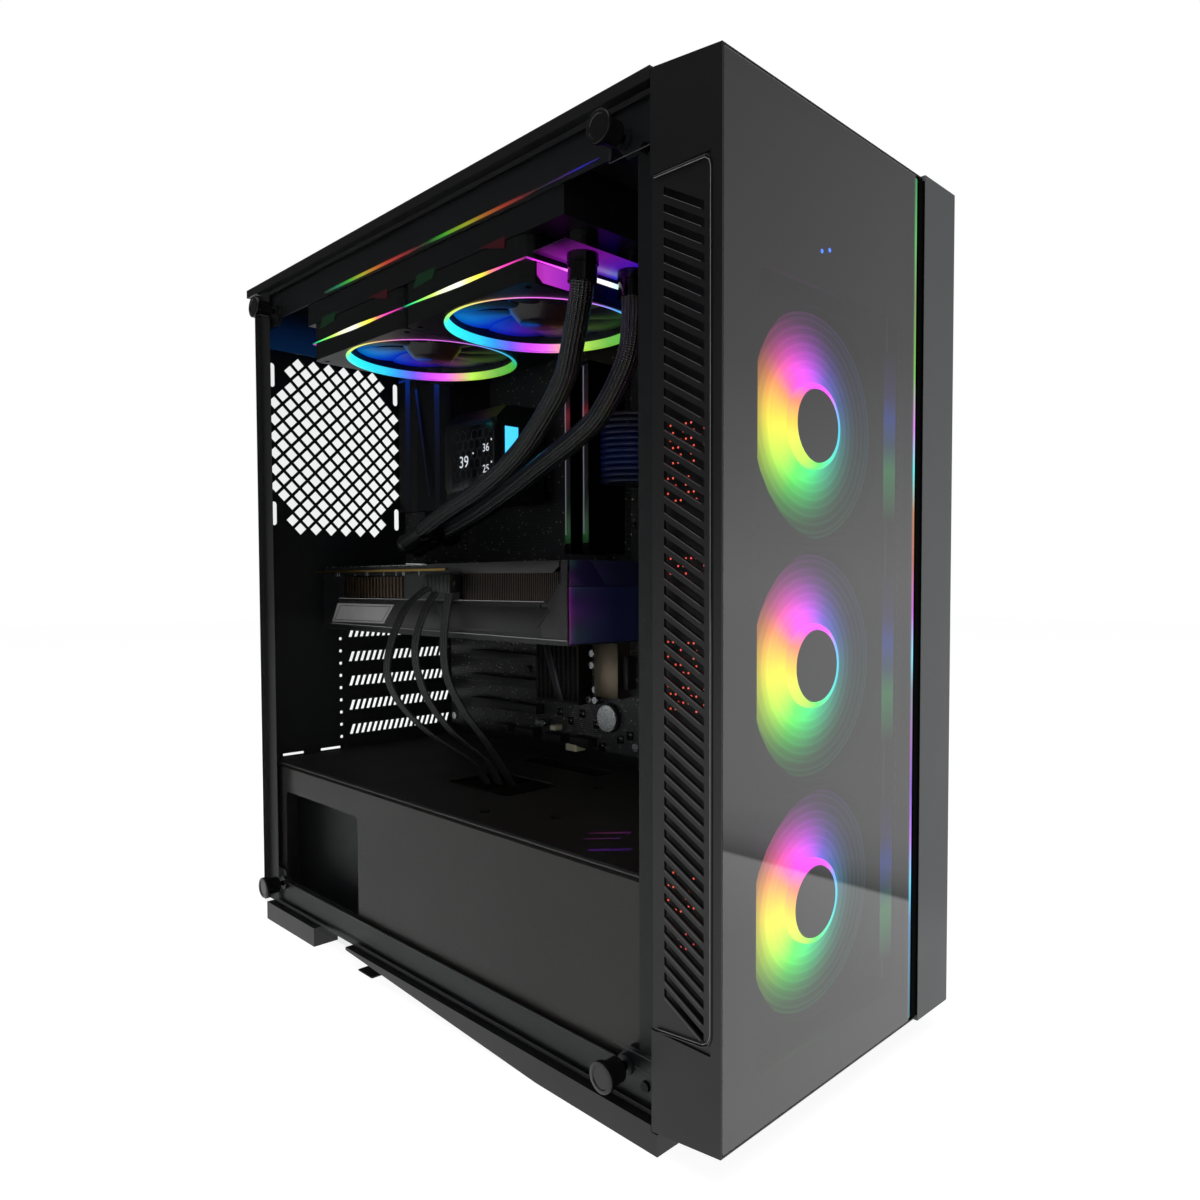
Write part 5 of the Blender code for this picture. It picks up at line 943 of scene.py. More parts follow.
def ring_tree() -> Grower:
    """Tree that repeats a piece at even angles round its own z axis.

    Returns:
        The tree.
    """
    rings = Grower("repeat round an axis", Count="Int")
    tree, count = rings.tree, rings.start["Count"]
    spots = add(tree, "GeometryNodePoints", {"Count": count})
    step = add(tree, MATHS, FULL_TURN, count, operation="DIVIDE")
    angle = add(tree, MATHS, add(tree, "GeometryNodeInputIndex"), step, operation="MULTIPLY")
    turn = add(tree, "FunctionNodeEulerToRotation", add(tree, "ShaderNodeCombineXYZ", {"Z": angle}))
    copies = {"Points": spots, "Instance": rings.start["Geometry"], "Rotation": turn}
    return rings.close(add(tree, "GeometryNodeInstanceOnPoints", copies))


def kept_value(tree: Tree, geometry: Node, kind: str, value: Node | Socket) -> Node:
    """Keep a value of each point of a curve as "kept", for use after the sweep.

    Args:
        tree: the geometry tree.
        geometry: the curve.
        kind: FLOAT or VECTOR.
        value: the value to keep.

    Returns:
        The node that hands on the curve and the kept value.
    """
    made = add(tree, "GeometryNodeCaptureAttribute", {"Geometry": geometry}, domain="POINT")
    made.capture_items.new(kind, "kept")
    source = value if isinstance(value, Socket) else value.outputs[0]
    tree.links.new(source, made.inputs["kept"])
    return made


def tube_tree() -> Grower:
    """Tree that sweeps a round section along lines and keeps each point's turn and length.

    Returns:
        The tree.
    """
    tubes = Grower("tube along a path", Radius="Float", Sides="Int", Step="Float")
    tree, start = tubes.tree, tubes.start
    line = add(tree, "GeometryNodeMeshToCurve", start["Geometry"])
    bent = add(tree, "GeometryNodeCurveSplineType", {"Curve": line}, spline_type="CATMULL_ROM")
    even = add(tree, "GeometryNodeResampleCurve", {"Curve": bent, "Length": start["Step"]}, mode="LENGTH")
    length = kept_value(tree, even, "FLOAT", add(tree, "GeometryNodeSplineParameter").outputs["Length"])
    size = {"Resolution": start["Sides"], "Radius": start["Radius"]}
    section = add(tree, "GeometryNodeCurvePrimitiveCircle", size, mode="RADIUS")
    unit = add(tree, VECTOR, add(tree, "GeometryNodeInputPosition"), operation="NORMALIZE")
    turn = kept_value(tree, section, "VECTOR", unit)
    sweep = {"Curve": length, "Profile Curve": turn, "Fill Caps": True}
    swept = add(tree, "GeometryNodeCurveToMesh", sweep)
    parts = add(tree, SPLIT, turn.outputs["kept"]).outputs
    lay = add(tree, "ShaderNodeCombineXYZ", parts["X"], parts["Y"], length.outputs["kept"])
    stored = {"Geometry": swept, "Name": "lay", "Value": lay}
    held = add(tree, "GeometryNodeStoreNamedAttribute", stored, data_type="FLOAT_VECTOR", domain="POINT")
    return tubes.close(add(tree, "GeometryNodeSetShadeSmooth", held))


def repeated(rows: Grower, name: str, shape: Shape, spots: Iterable[Sequence[float]], finish: Finish) -> Mesh:
    """Set one small shape at every place and return the mesh of them all.

    Args:
        rows: the tree that sets pieces at points.
        name: the mesh's name.
        shape: what is repeated, made round the origin.
        spots: where it goes, in millimetres.
        finish: its finish.

    Returns:
        The mesh.
    """
    copied = bpy.data.objects.new("copied piece", shape.mesh())
    bpy.context.scene.collection.objects.link(copied)
    mesh = rows.grow(name, points_mesh(spots), finish, Piece=copied)
    bpy.data.objects.remove(copied)
    return mesh


# ------------------------------------------------------------------ the studio
@dataclass
class Studio:
    """Pale floor, bright surroundings, soft lamps and the camera."""

    floor_half: float = 6.0
    sheet_edge: float = 0.283  # where the near sheet of paper ends, along Y
    eye: Point = (-0.3850, -0.46386, 0.25795)
    heading_deg: float = 45.683
    pitch_deg: float = -2.050
    roll_deg: float = -0.107
    lens_mm: float = 26.75
    shift: Pair = (-0.0318, 0.0123)

    def build(self) -> None:
        """Make the floor, the surroundings, the lamps and the camera."""
        self.floor()
        self.surroundings()
        self.lamps()
        self.camera()

    def floor(self) -> None:
        """A wide pale floor that keeps the shadow under the feet."""
        mesh = bpy.data.meshes.new("floor")
        h = self.floor_half
        mesh.from_pydata([(-h, -h, 0), (h, -h, 0), (h, h, 0), (-h, h, 0)], [], [(0, 1, 2, 3)])
        floor = bpy.data.objects.new("floor", mesh)
        bpy.context.scene.collection.objects.link(floor)
        paper = bpy.data.materials.new("matt paper")
        paper.use_nodes = True
        tree = paper.node_tree
        tree.nodes.clear()
        fibre = add(tree, NOISE, {"Vector": centred(tree), "Scale": per_mm(8)})
        shades = {0: fibre, 6: (0.80, 0.80, 0.80, 1), 7: (0.84, 0.84, 0.84, 1)}
        matt = add(tree, "ShaderNodeBsdfDiffuse", add(tree, MIX, shades, data_type="RGBA"))
        seen = add(tree, EITHER, 0.70, matt, add(tree, "ShaderNodeEmission", (1, 1, 1, 1), 1.3))
        near = add(tree, "ShaderNodeEmission", self.reach(tree), 1.15)
        path = add(tree, "ShaderNodeLightPath").outputs
        mirrored = add(tree, EITHER, path["Is Glossy Ray"], matt, near)
        both = add(tree, EITHER, self.straight(tree), mirrored, seen)
        add(tree, "ShaderNodeOutputMaterial", both)
        mesh.materials.append(paper)

    def straight(self, tree: Tree) -> Node:
        """1 for what is seen directly or through glass, 0 for the rest."""
        path = add(tree, "ShaderNodeLightPath").outputs
        return add(tree, MATHS, path["Is Camera Ray"], path["Is Transmission Ray"], operation="MAXIMUM")

    def reach(self, tree: Tree) -> Node:
        """Colour of the floor in mirrors: the near sheet is brighter than what lies past its edge, and a
        painted band of shade lies just past the edge.

        Args:
            tree: the material's node tree.

        Returns:
            The node that gives the colour.
        """
        place = add(tree, SPLIT, centred(tree)).outputs["X"]
        share = add(tree, RANGE, place, self.sheet_edge - 0.4, self.sheet_edge + 0.4)
        levels = (
            (0.0, 0.76), (0.3, 0.82), (0.49, 1.0), (0.5, 0.34),
            (0.53, 0.46), (0.58, 0.62), (0.70, 0.74), (1.0, 0.77),
        )
        return add(tree, RAMP, share, stops=tuple((at, grey(level)) for at, level in levels))

    def surroundings(self) -> None:
        """White behind the object, and a soft room in reflections that is brighter in front."""
        world = bpy.data.worlds.new("studio")
        bpy.context.scene.world = world
        world.use_nodes = True
        tree = world.node_tree
        tree.nodes.clear()
        way = add(tree, "ShaderNodeTexCoord").outputs["Generated"]
        front = add(tree, VECTOR, way, (0.72, -0.69, 0), operation="DOT_PRODUCT").outputs["Value"]
        lobe = add(tree, RANGE, front, 0.0, 0.75, 0.0, 1.0, interpolation_type="SMOOTHSTEP")
        up = add(tree, SPLIT, way).outputs["Z"]
        levels = ((0.0, 0.8), (0.5, 0.9), (0.62, 0.5), (0.8, 0.28), (1.0, 0.6))
        height = add(tree, MATHS, up, 0.5, 0.5, operation="MULTIPLY_ADD")
        wall = add(tree, RAMP, height, stops=tuple((at, grey(level)) for at, level in levels))
        room = add(tree, MIX, {0: lobe, 6: (0.07, 0.07, 0.075, 1), 7: wall}, data_type="RGBA")
        overhead = add(tree, RANGE, up, 0.55, 0.95, 0.0, 0.5, interpolation_type="SMOOTHSTEP")
        room = add(tree, MIX, {0: overhead, 6: room, 7: (0.9, 0.9, 0.92, 1)}, data_type="RGBA")
        mirrored = add(tree, "ShaderNodeBackground", room, 1.0)
        behind = add(tree, "ShaderNodeBackground", (1, 1, 1, 1), 1.0)
        add(tree, "ShaderNodeOutputWorld", add(tree, EITHER, self.straight(tree), mirrored, behind))

    def lamps(self) -> None:
        """Large soft boxes that lift the plain level without showing in the gloss."""
        for name, place, size, power in (
            ("softbox over", (-0.2, -0.3, 1.9), 1.6, 16.0),
            ("softbox left", (-1.9, -0.9, 1.1), 1.4, 9.0),
            ("softbox rear", (0.9, 1.9, 1.2), 1.4, 9.0),
            ("softbox low left", (-1.1, -0.5, 0.12), 0.7, 5.0),
        ):
            lamp = bpy.data.lights.new(name, "AREA")
            lamp.energy, lamp.size = power, size
            holder = bpy.data.objects.new(name, lamp)
            holder.location = place
            aim = Vector((0, 0, 0.2)) - Vector(place)
            holder.rotation_euler = aim.to_track_quat("-Z", "Y").to_euler()
            holder.visible_glossy = holder.visible_camera = False
            bpy.context.scene.collection.objects.link(holder)

    def camera(self) -> None:
        """Camera a little below the tower's middle, at its front left corner."""
        lens = bpy.data.cameras.new("camera")
        lens.lens, lens.sensor_width, lens.clip_start = self.lens_mm, 36.0, 0.01
        lens.shift_x, lens.shift_y = self.shift
        eye = bpy.data.objects.new("camera", lens)
        eye.matrix_world = Matrix.Translation(self.eye)
        turns = ((-self.heading_deg, "Z"), (90 + self.pitch_deg, "X"), (self.roll_deg, "Z"))
        for degrees, axis in turns:
            eye.matrix_world = eye.matrix_world @ Matrix.Rotation(math.radians(degrees), 4, axis)
        bpy.context.scene.collection.objects.link(eye)
        bpy.context.scene.camera = eye


# ------------------------------------------------------------------ the solid model's nodes
CORNERS = ("front_bottom", "front_top", "rear_bottom", "rear_top")


@dataclass
class Casing:
    """Dresses the nodes of the solid model that stay as they are."""

    nodes: dict[Finish, str] = field(
        default_factory=lambda: {
            POWDER: "base_pan top_plate right_panel " + " ".join(f"corner_bracket_{c}" for c in CORNERS),
            # the inner walls and the supply take the darker coat, which is painted shade
            SHADED_INNER_COAT: "front_wall rear_wall motherboard_tray power_supply",
            SHROUD_COAT: "psu_shroud",
            DARK_PAINT: "radiator io_cover",
            ABS: "top_cover front_shell front_foot rear_foot_left rear_foot_right",
            ABS_PALE: "front_pillar",
            NYLON: "top_dust_filter front_io_ports pump_head psu_dust_filter "
            + " ".join(f"window_thumbscrew_{c}" for c in CORNERS),
            GLOSS: "psu_switch light_strip pump_display",
            PBT: "psu_fan_rotor front_fan_frame_1 front_fan_frame_2 front_fan_frame_3 front_fan_rotor_1 "
            "front_fan_rotor_2 front_fan_rotor_3 graphics_fan_1 graphics_fan_2 graphics_fan_3 "
            "top_fan_frame_1 top_fan_frame_2 top_fan_rotor_1 top_fan_rotor_2",
            LAMINATE: "motherboard",
            GREY_ANODISED: "power_button reset_button",
            STEEL: "panel_thumbscrew_lower panel_thumbscrew_upper",
            BLACK_ANODISED: "memory_stick_1 memory_stick_2",
            WARM_ANODISED: "chipset_heatsink",
            CARD_PLASTIC: "graphics_card",
            SHEATH: "graphics_cable main_power_cable",
            TINTED: "front_glass",
            CLEAR: "side_glass",
        }
    )

    def dress(self) -> None:
        """Give every node its finish."""
        for finish, names in self.nodes.items():
            for name in names.split():
                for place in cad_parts[name].material_slots:
                    place.material = finish.material()
            log.info("%s: %s", finish.name, names)


# ------------------------------------------------------------------ fans
HUB_STOPS = (
    (-180, "100a10"), (-120, "180c10"), (-60, "201008"), (-20, "38180c"), (20, "281020"),
    (60, "0c0c30"), (100, "0830a0"), (140, "0a50c8"), (165, "082848"), (180, "100a10"),
)
FRONT_STOPS = (
    (-180, "f4e030"), (-150, "c4ff38"), (-120, "54fa50"), (-90, "30f07c"), (-60, "34d898"),
    (-30, "30c0a8"), (0, "30a8c0"), (30, "3474d8"), (60, "7858e8"), (90, "d840fa"),
    (120, "ff40d8"), (135, "ff58a8"), (150, "ff9450"), (165, "ffc038"), (180, "f4e030"),
)
HUB_RING_STOPS = (
    (-180, "f8c830"), (-150, "d8f040"), (-120, "b8fc40"), (-90, "50fc60"), (-60, "40e8b0"),
    (-30, "38d0d0"), (0, "30c8e0"), (30, "78a0f0"), (60, "f048fa"), (90, "fe38fe"),
    (120, "fe40d8"), (150, "fe8060"), (180, "f8c830"),
)
FRONT_FADE = (
    (0.0, grey(0.9)), (0.19, grey(0.85)), (0.30, grey(0.6)), (0.38, grey(0.45)),
    (0.51, grey(0.28)), (0.65, grey(0.13)), (0.84, grey(0.035)), (1.0, grey(0.012)),
)
RIPPLE_FADE = (
    (0.0, grey(0.9)), (0.19, grey(0.9)), (0.30, grey(0.66)), (0.38, grey(0.48)),
    (0.51, grey(0.31)), (0.65, grey(0.155)), (0.84, grey(0.05)), (1.0, grey(0.03)),
)
TOP_STOPS = (
    (-180, "0c1018"), (-150, "100a16"), (-60, "0a0614"), (0, "06060a"), (45, "0a0630"),
    (75, "0a10a0"), (100, "0230c0"), (125, "0460c0"), (142, "083058"), (158, "0a1422"),
    (180, "0c1018"),
)
TOP_FADE = ((0.0, grey(0.3)), (0.3, grey(0.7)), (0.7, grey(1.0)), (1.0, grey(1.0)))
RING_STOPS = (
    (-180, "f0f060"), (-168, "f8e070"), (-156, "f8b090"), (-144, "fa80e0"), (-132, "fa60fb"),
    (-108, "f078fc"), (-96, "b080f8"), (-84, "60a0ff"), (-72, "40c0e8"), (-60, "28b0e0"),
    (-48, "20c0b0"), (-36, "28b858"), (-24, "40b028"), (0, "68b838"), (14, "98d040"),
    (26, "c0f840"), (37, "f8a8a0"), (48, "fa60fe"), (60, "e03cff"), (72, "7058ff"),
    (84, "289cff"), (96, "28dcff"), (120, "28fafe"), (144, "40fcf4"), (156, "90ff90"),
    (168, "e0ff60"), (180, "f0f060"),
)
SIDE_LINE = (
    (0.0, "601060"), (0.08, "d830a0"), (0.17, "ff40b8"), (0.25, "ff8878"), (0.33, "fff030"),
    (0.42, "fffa80"), (0.5, "fffff0"), (0.64, "fcffd8"), (0.72, "e0ff70"), (0.83, "80fc60"),
    (0.92, "20e088"), (1.0, "0c3830"),
)
FRONT_LINE = (
    (0.0, "b020b0"), (0.08, "fe40ff"), (0.2, "ff60ff"), (0.3, "fdcbff"), (0.5, "fffafa"),
    (0.6, "60f8ff"), (0.75, "40d8ff"), (1.0, "1048c0"),
)
NOTCH_STOPS = ((0.0, "d030d0"), (0.15, "e040e8"), (0.5, "c030e0"), (1.0, "6020b0"))


class Facing(Enum):
    """Which way a fan's open face looks."""

    FRONT = "Y"
    DOWN = "Z"


@dataclass
class CaseFan(Assembly):
    """A 120 mm fan's blades and hub, made in its own frame and set over its solid rotor."""

    facing: Facing = Facing.FRONT
    stops: Stops = FRONT_STOPS
    fade: Stops = FRONT_FADE
    strength: float = 3.2
    shade: str = "303034"
    tilt: float = 0.10
    spill: Point = (-0.010, 0, 0.001)
    hub: float = 19.0
    tip: float = 55.8
    low: float = 4.2
    high: float = 23.0
    seat: float = 3.8
    blades: int = 9

    def __post_init__(self) -> None:
        """Take the axis and the seat from the solid rotor."""
        kind, number = self.body.rsplit("_", 1)
        self.node = f"{kind}_rotor_{number}"
        low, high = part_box(self.node)
        self.centre = (low + high) / 2
        k = 1 if self.facing is Facing.FRONT else 2
        self.centre[k] = high[k] + self.seat * MM

    def place(self) -> Matrix:
        """Matrix from the fan's own frame, open face towards its +Z, to the tower."""
        turn = math.pi / 2 if self.facing is Facing.FRONT else math.pi
        return Matrix.Translation(self.centre) @ Matrix.Rotation(turn, 4, "X")

    def blade(self, across: int = 8, out: int = 9) -> Mesh:
        """One swept blade: a thin cambered sheet, wide enough to shade the next one's root.

        Args:
            across: how many faces it is wide.
            out: how many faces it is long.

        Returns:
            Its closed mesh.
        """
        shape = Shape()
        sector = FULL_TURN / self.blades
        middle, rise = (self.low + self.high) / 2, self.tilt * (self.high - self.low)
        sheets: list[list[list[bmesh.types.BMVert]]] = [[], []]
        for side, sheet in zip((1, -1), sheets):
            for t in (i / out for i in range(out + 1)):
                radius = (self.hub - 1) + (self.tip - self.hub + 1) * t
                line = []
                for s in (2 * j / across - 1 for j in range(across + 1)):
                    angle = (0.42 * t + s * (0.72 - 0.08 * t)) * sector
                    thick = 0.7 * math.sqrt(max(0.02, 1 - s * s))
                    z = middle - s * rise * (1 - 0.35 * t) + 1.6 * (1 - s * s) + side * thick
                    x, y = radius * math.cos(angle), radius * math.sin(angle)
                    line.append(shape.bm.verts.new((x, y, z)))
                sheet.append(line)
            for i in range(out):
                for j in range(across):
                    corners = (sheet[i][j], sheet[i + 1][j], sheet[i + 1][j + 1], sheet[i][j + 1])
                    shape.bm.faces.new(corners)
        rim = [(0, j) for j in range(across)] + [(i, across) for i in range(out)]
        rim += [(out, j) for j in range(across, 0, -1)] + [(i, 0) for i in range(out, 0, -1)]
        top, under = sheets
        for (i, j), (m, n) in zip(rim, rim[1:] + rim[:1]):
            shape.bm.faces.new((top[i][j], top[m][n], under[m][n], under[i][j]))
        bmesh.ops.recalc_face_normals(shape.bm, faces=shape.bm.faces)
        return shape.mesh()

    def build(self, rings: Grower) -> None:
        """Make the blades and the hub.

        Args:
            rings: the tree that repeats a piece round an axis.
        """
        name, centre, axis = f"{self.body}_rotor", tuple(self.centre), self.facing.value
        light = (self.strength, self.shade, centre, axis, self.stops, self.fade, self.spill)
        finish = LitBlades(f"frosted polycarbonate, {name}", *light)
        mesh = rings.grow(f"{name}_blades", self.blade(), finish, Count=self.blades)
        mesh.transform(self.place())
        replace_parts(self.piece(f"{name}_blades", mesh, finish, "translucent_blade", 60), self.node)
        rim_lit = RingGlow(f"PBT under rim light, {name}", 0.5, "08080a", centre, axis, HUB_STOPS)
        hub = Shape().lathe(self.dish()).mesh(self.place())
        self.piece(f"{name}_hub", hub, PBT if self.facing is Facing.FRONT else rim_lit, "fan_plastic", 40)

    def dish(self) -> list[Pair]:
        """The hub's profile: a flat cap in the intake fans, a proud cone in the radiator's.

        Returns:
            Radius and height of each corner.
        """
        top, under = self.high, self.low - 0.2
        if self.facing is Facing.FRONT:
            cap = [(0.0, top), (11, top), (16.5, top + 0.4), (18, top + 0.2), (18.4, top - 0.8)]
        else:
            cap = [(0.0, top + 0.2), (13, top + 0.2), (13.8, top - 0.3), (20.5, top - 8)]
        return [*cap, (cap[-1][0], under), (0.0, under)]


@dataclass
class FrontFans(Assembly):
    """The three intake fans, lit from their hubs, each under its frosted diffuser."""

    count: int = 3
    milk: str = "606064"
    diffuser_z: float = 18.4

    def build(self, rings: Grower) -> None:
        """Make each fan's rotor, the bright ring round its hub and the diffuser with its rings.

        Args:
            rings: the tree that repeats a piece round an axis.
        """
        z = self.diffuser_z
        ring = [(18.6, 23.2), (20.8, 22.6), (21.4, 21.2), (21.4, 18.6), (18.6, 18.6)]
        sheet = [(18.4, z - 0.4), (55.6, z - 0.4), (55.6, z), (18.4, z)]
        edge = [(54.9, z), (55.7, z + 0.6), (56.2, z), (55.7, z - 0.6)]
        for i in range(1, self.count + 1):
            fan = CaseFan(f"front_fan_{i}")
            fan.build(rings)
            at = (tuple(fan.centre), "Y")
            glow = RingGlow(f"lit acrylic, front fan {i}", 4.2, self.milk, *at, HUB_RING_STOPS)
            name = f"frosted diffuser, front fan {i}"
            veil = LitBlades(name, 4.6, "202024", *at, FRONT_STOPS, FRONT_FADE, fan.spill, 0.12)
            name = f"moulded diffuser rings, front fan {i}"
            pale = LitBlades(name, 4.6, "505056", *at, FRONT_STOPS, RIPPLE_FADE, fan.spill)
            ripples = Shape()
            for radius in (27.0 + k * 4.2 for k in range(7)):
                ripples.lathe([(radius, z), (radius + 0.8, z + 0.2), (radius + 1.6, z)], 72)
            ripples.lathe(edge, 96)
            parts = (
                ("hub_ring", Shape().lathe(ring), glow),
                ("diffuser", Shape().lathe(sheet, 96), veil),
                ("rings", ripples, pale),
            )
            for word, shape, finish in parts:
                fan.piece(f"{fan.body}_{word}", shape.mesh(fan.place()), finish, "translucent_blade", 40)


@dataclass
class TopFans(Assembly):
    """The two radiator fans, with lit rims and lit lines round their frames."""

    count: int = 2
    line_width: float = 2.0
    line_ends: float = 0.8

    def build(self, rings: Grower) -> None:
        """Make each fan's rotor, its lit rim and the lit lines on its sides.

        Args:
            rings: the tree that repeats a piece round an axis.
        """
        rim = [(56.2, 0.2), (58.5, -0.4), (58.8, 0.4), (57.6, 5.0), (56.2, 5.0)]
        for i in range(1, self.count + 1):
            fan = CaseFan(
                f"top_fan_{i}", Facing.DOWN, TOP_STOPS, TOP_FADE, 1.0, "0a0a0c", 0.12, spill=(0, 0, 0)
            )
            fan.build(rings)
            low, _ = box_mm(f"top_fan_frame_{i}")
            seat = (fan.centre.x / MM, fan.centre.y / MM, low.z)
            glow = RingGlow(f"lit acrylic, top fan {i}", 1.1, "606064", tuple(fan.centre), "Z", RING_STOPS)
            shape = Shape().lathe(rim, 96, "Z", seat)
            self.piece(f"top_fan_{i}_lit_rim", shape, glow, "translucent_blade", 40)
            self.lines(i)

    def swell(self, start: float, end: float, z: float, steps: int = 12) -> list[Pair]:
        """Outline of a light line: thin at its ends and wide where the diodes burn through.

        Args:
            start: where it starts.
            end: where it ends.
            z: its height.
            steps: how many straight lengths each side has.

        Returns:
            Its corners.
        """
        shares = [step / steps for step in range(steps + 1)]
        half = [(self.line_ends + self.line_width * math.sin(math.pi * s) ** 3) / 2 for s in shares]
        along = [start + (end - start) * s for s in shares]
        under = [(a, z - h) for a, h in zip(along, half)]
        return under + [(a, z + h) for a, h in reversed(list(zip(along, half)))]

    def lines(self, i: int) -> None:
        """The lit lines at mid-height of a frame's outer sides, and the first one's lit notch.

        Args:
            i: the fan's number.
        """
        low, high = box_mm(f"top_fan_frame_{i}")
        z = (low.z + high.z) / 2 - 0.4
        out, deep = 0.2, 0.4
        ends = ("front", (low.y - out, low.y + deep)) if i == 1 else ("rear", (high.y - deep, high.y + out))
        for word, (near, far), k, stops in (
            ("left", (low.x - out, low.x + deep), 1, SIDE_LINE),
            ("right", (high.x - deep, high.x + out), 1, SIDE_LINE),
            (*ends, 0, FRONT_LINE),
        ):
            name = f"lit acrylic strip, top fan {i} {word}"
            glow = LineGlow(name, 1.3, "303034", "XY"[k], low[k] * MM, high[k] * MM, stops)
            line = Shape().prism(self.swell(low[k], high[k], z), "XY"[1 - k], near, far)
            self.piece(f"top_fan_{i}_lit_{word}", line, glow, "translucent_blade", None)
        if i == 1:
            corners = [(-84, 425.4), (-61, 425.4), (-45, 419.5), (-44, 415.6), (-80, 415.6), (-84, 419)]
            glow = LineGlow("diffuser in a notch", 0.75, "202024", "X", -0.084, -0.044, NOTCH_STOPS)
            notch = Shape().prism(corners, "Y", low.y - 0.3, low.y + 0.4)
            self.piece("top_fan_1_lit_notch", notch, glow, "translucent_blade", None)


# ------------------------------------------------------------------ liquid cooler
OFFSET = Vector((5.65, -232.75, 0.0))  # from the case's own frame to the tower's
HOSE_ROUTES: dict[str, Sequence[Point]] = {
    "coolant_hose_supply": (
        (-73, 119, 419.2), (-73, 119.5, 416), (-71.5, 122.5, 408), (-68, 131, 393), (-62, 146, 372.5),
        (-56, 171, 354.5), (-50, 203.5, 336.5), (-44, 246, 321), (-38, 299, 307), (-34, 334, 296.5),
    ),
    "coolant_hose_return": (
        (-36, 119, 419.2), (-36, 119, 416), (-36.5, 118.5, 404), (-38, 121, 382), (-38, 141, 356.5),
        (-34, 164.5, 346), (-30, 200, 334), (-26, 239, 320.5), (-20, 290, 306), (-16, 345, 293),
    ),
}


@dataclass
class Cooler(Assembly):
    """The cooler's two braided hoses."""

    radius: float = 6.4
    step: float = 1.5

    def build(self, tubes: Grower) -> None:
        """Sweep each hose along its route and put it in its solid's place.

        Args:
            tubes: the tree that sweeps tubes along lines.
        """
        for node, route in HOSE_ROUTES.items():
            path = paths_mesh([[Vector(p) + OFFSET for p in route]])
            size = {"Radius": self.radius * MM, "Sides": 32, "Step": self.step * MM}
            mesh = tubes.grow(f"{node}_braid", path, SLEEVE, **size)
            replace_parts(self.piece(f"{node}_braid", mesh, SLEEVE, "sleeved_hose", 60), node)


# ------------------------------------------------------------------ front panel
STRIP_STOPS = (
    (0.0, "50747c"), (0.12, "5890c0"), (0.17, "70e0ff"), (0.22, "c080ff"), (0.28, "8860d0"),
    (0.34, "a870c0"), (0.40, "8890a0"), (0.44, "88e8ff"), (0.49, "c868e0"), (0.55, "c07060"),
    (0.61, "b88058"), (0.66, "60f0f0"), (0.71, "e088f0"), (0.77, "78c050"), (0.86, "789860"),
    (0.93, "60c068"), (1.0, "389858"),
)
SPILL_STOPS = (
    (0.0, "04100c"), (0.15, "208850"), (0.3, "38b060"), (0.45, "205c80"), (0.6, "2050c8"),
    (0.75, "301c70"), (1.0, "060410"),
)


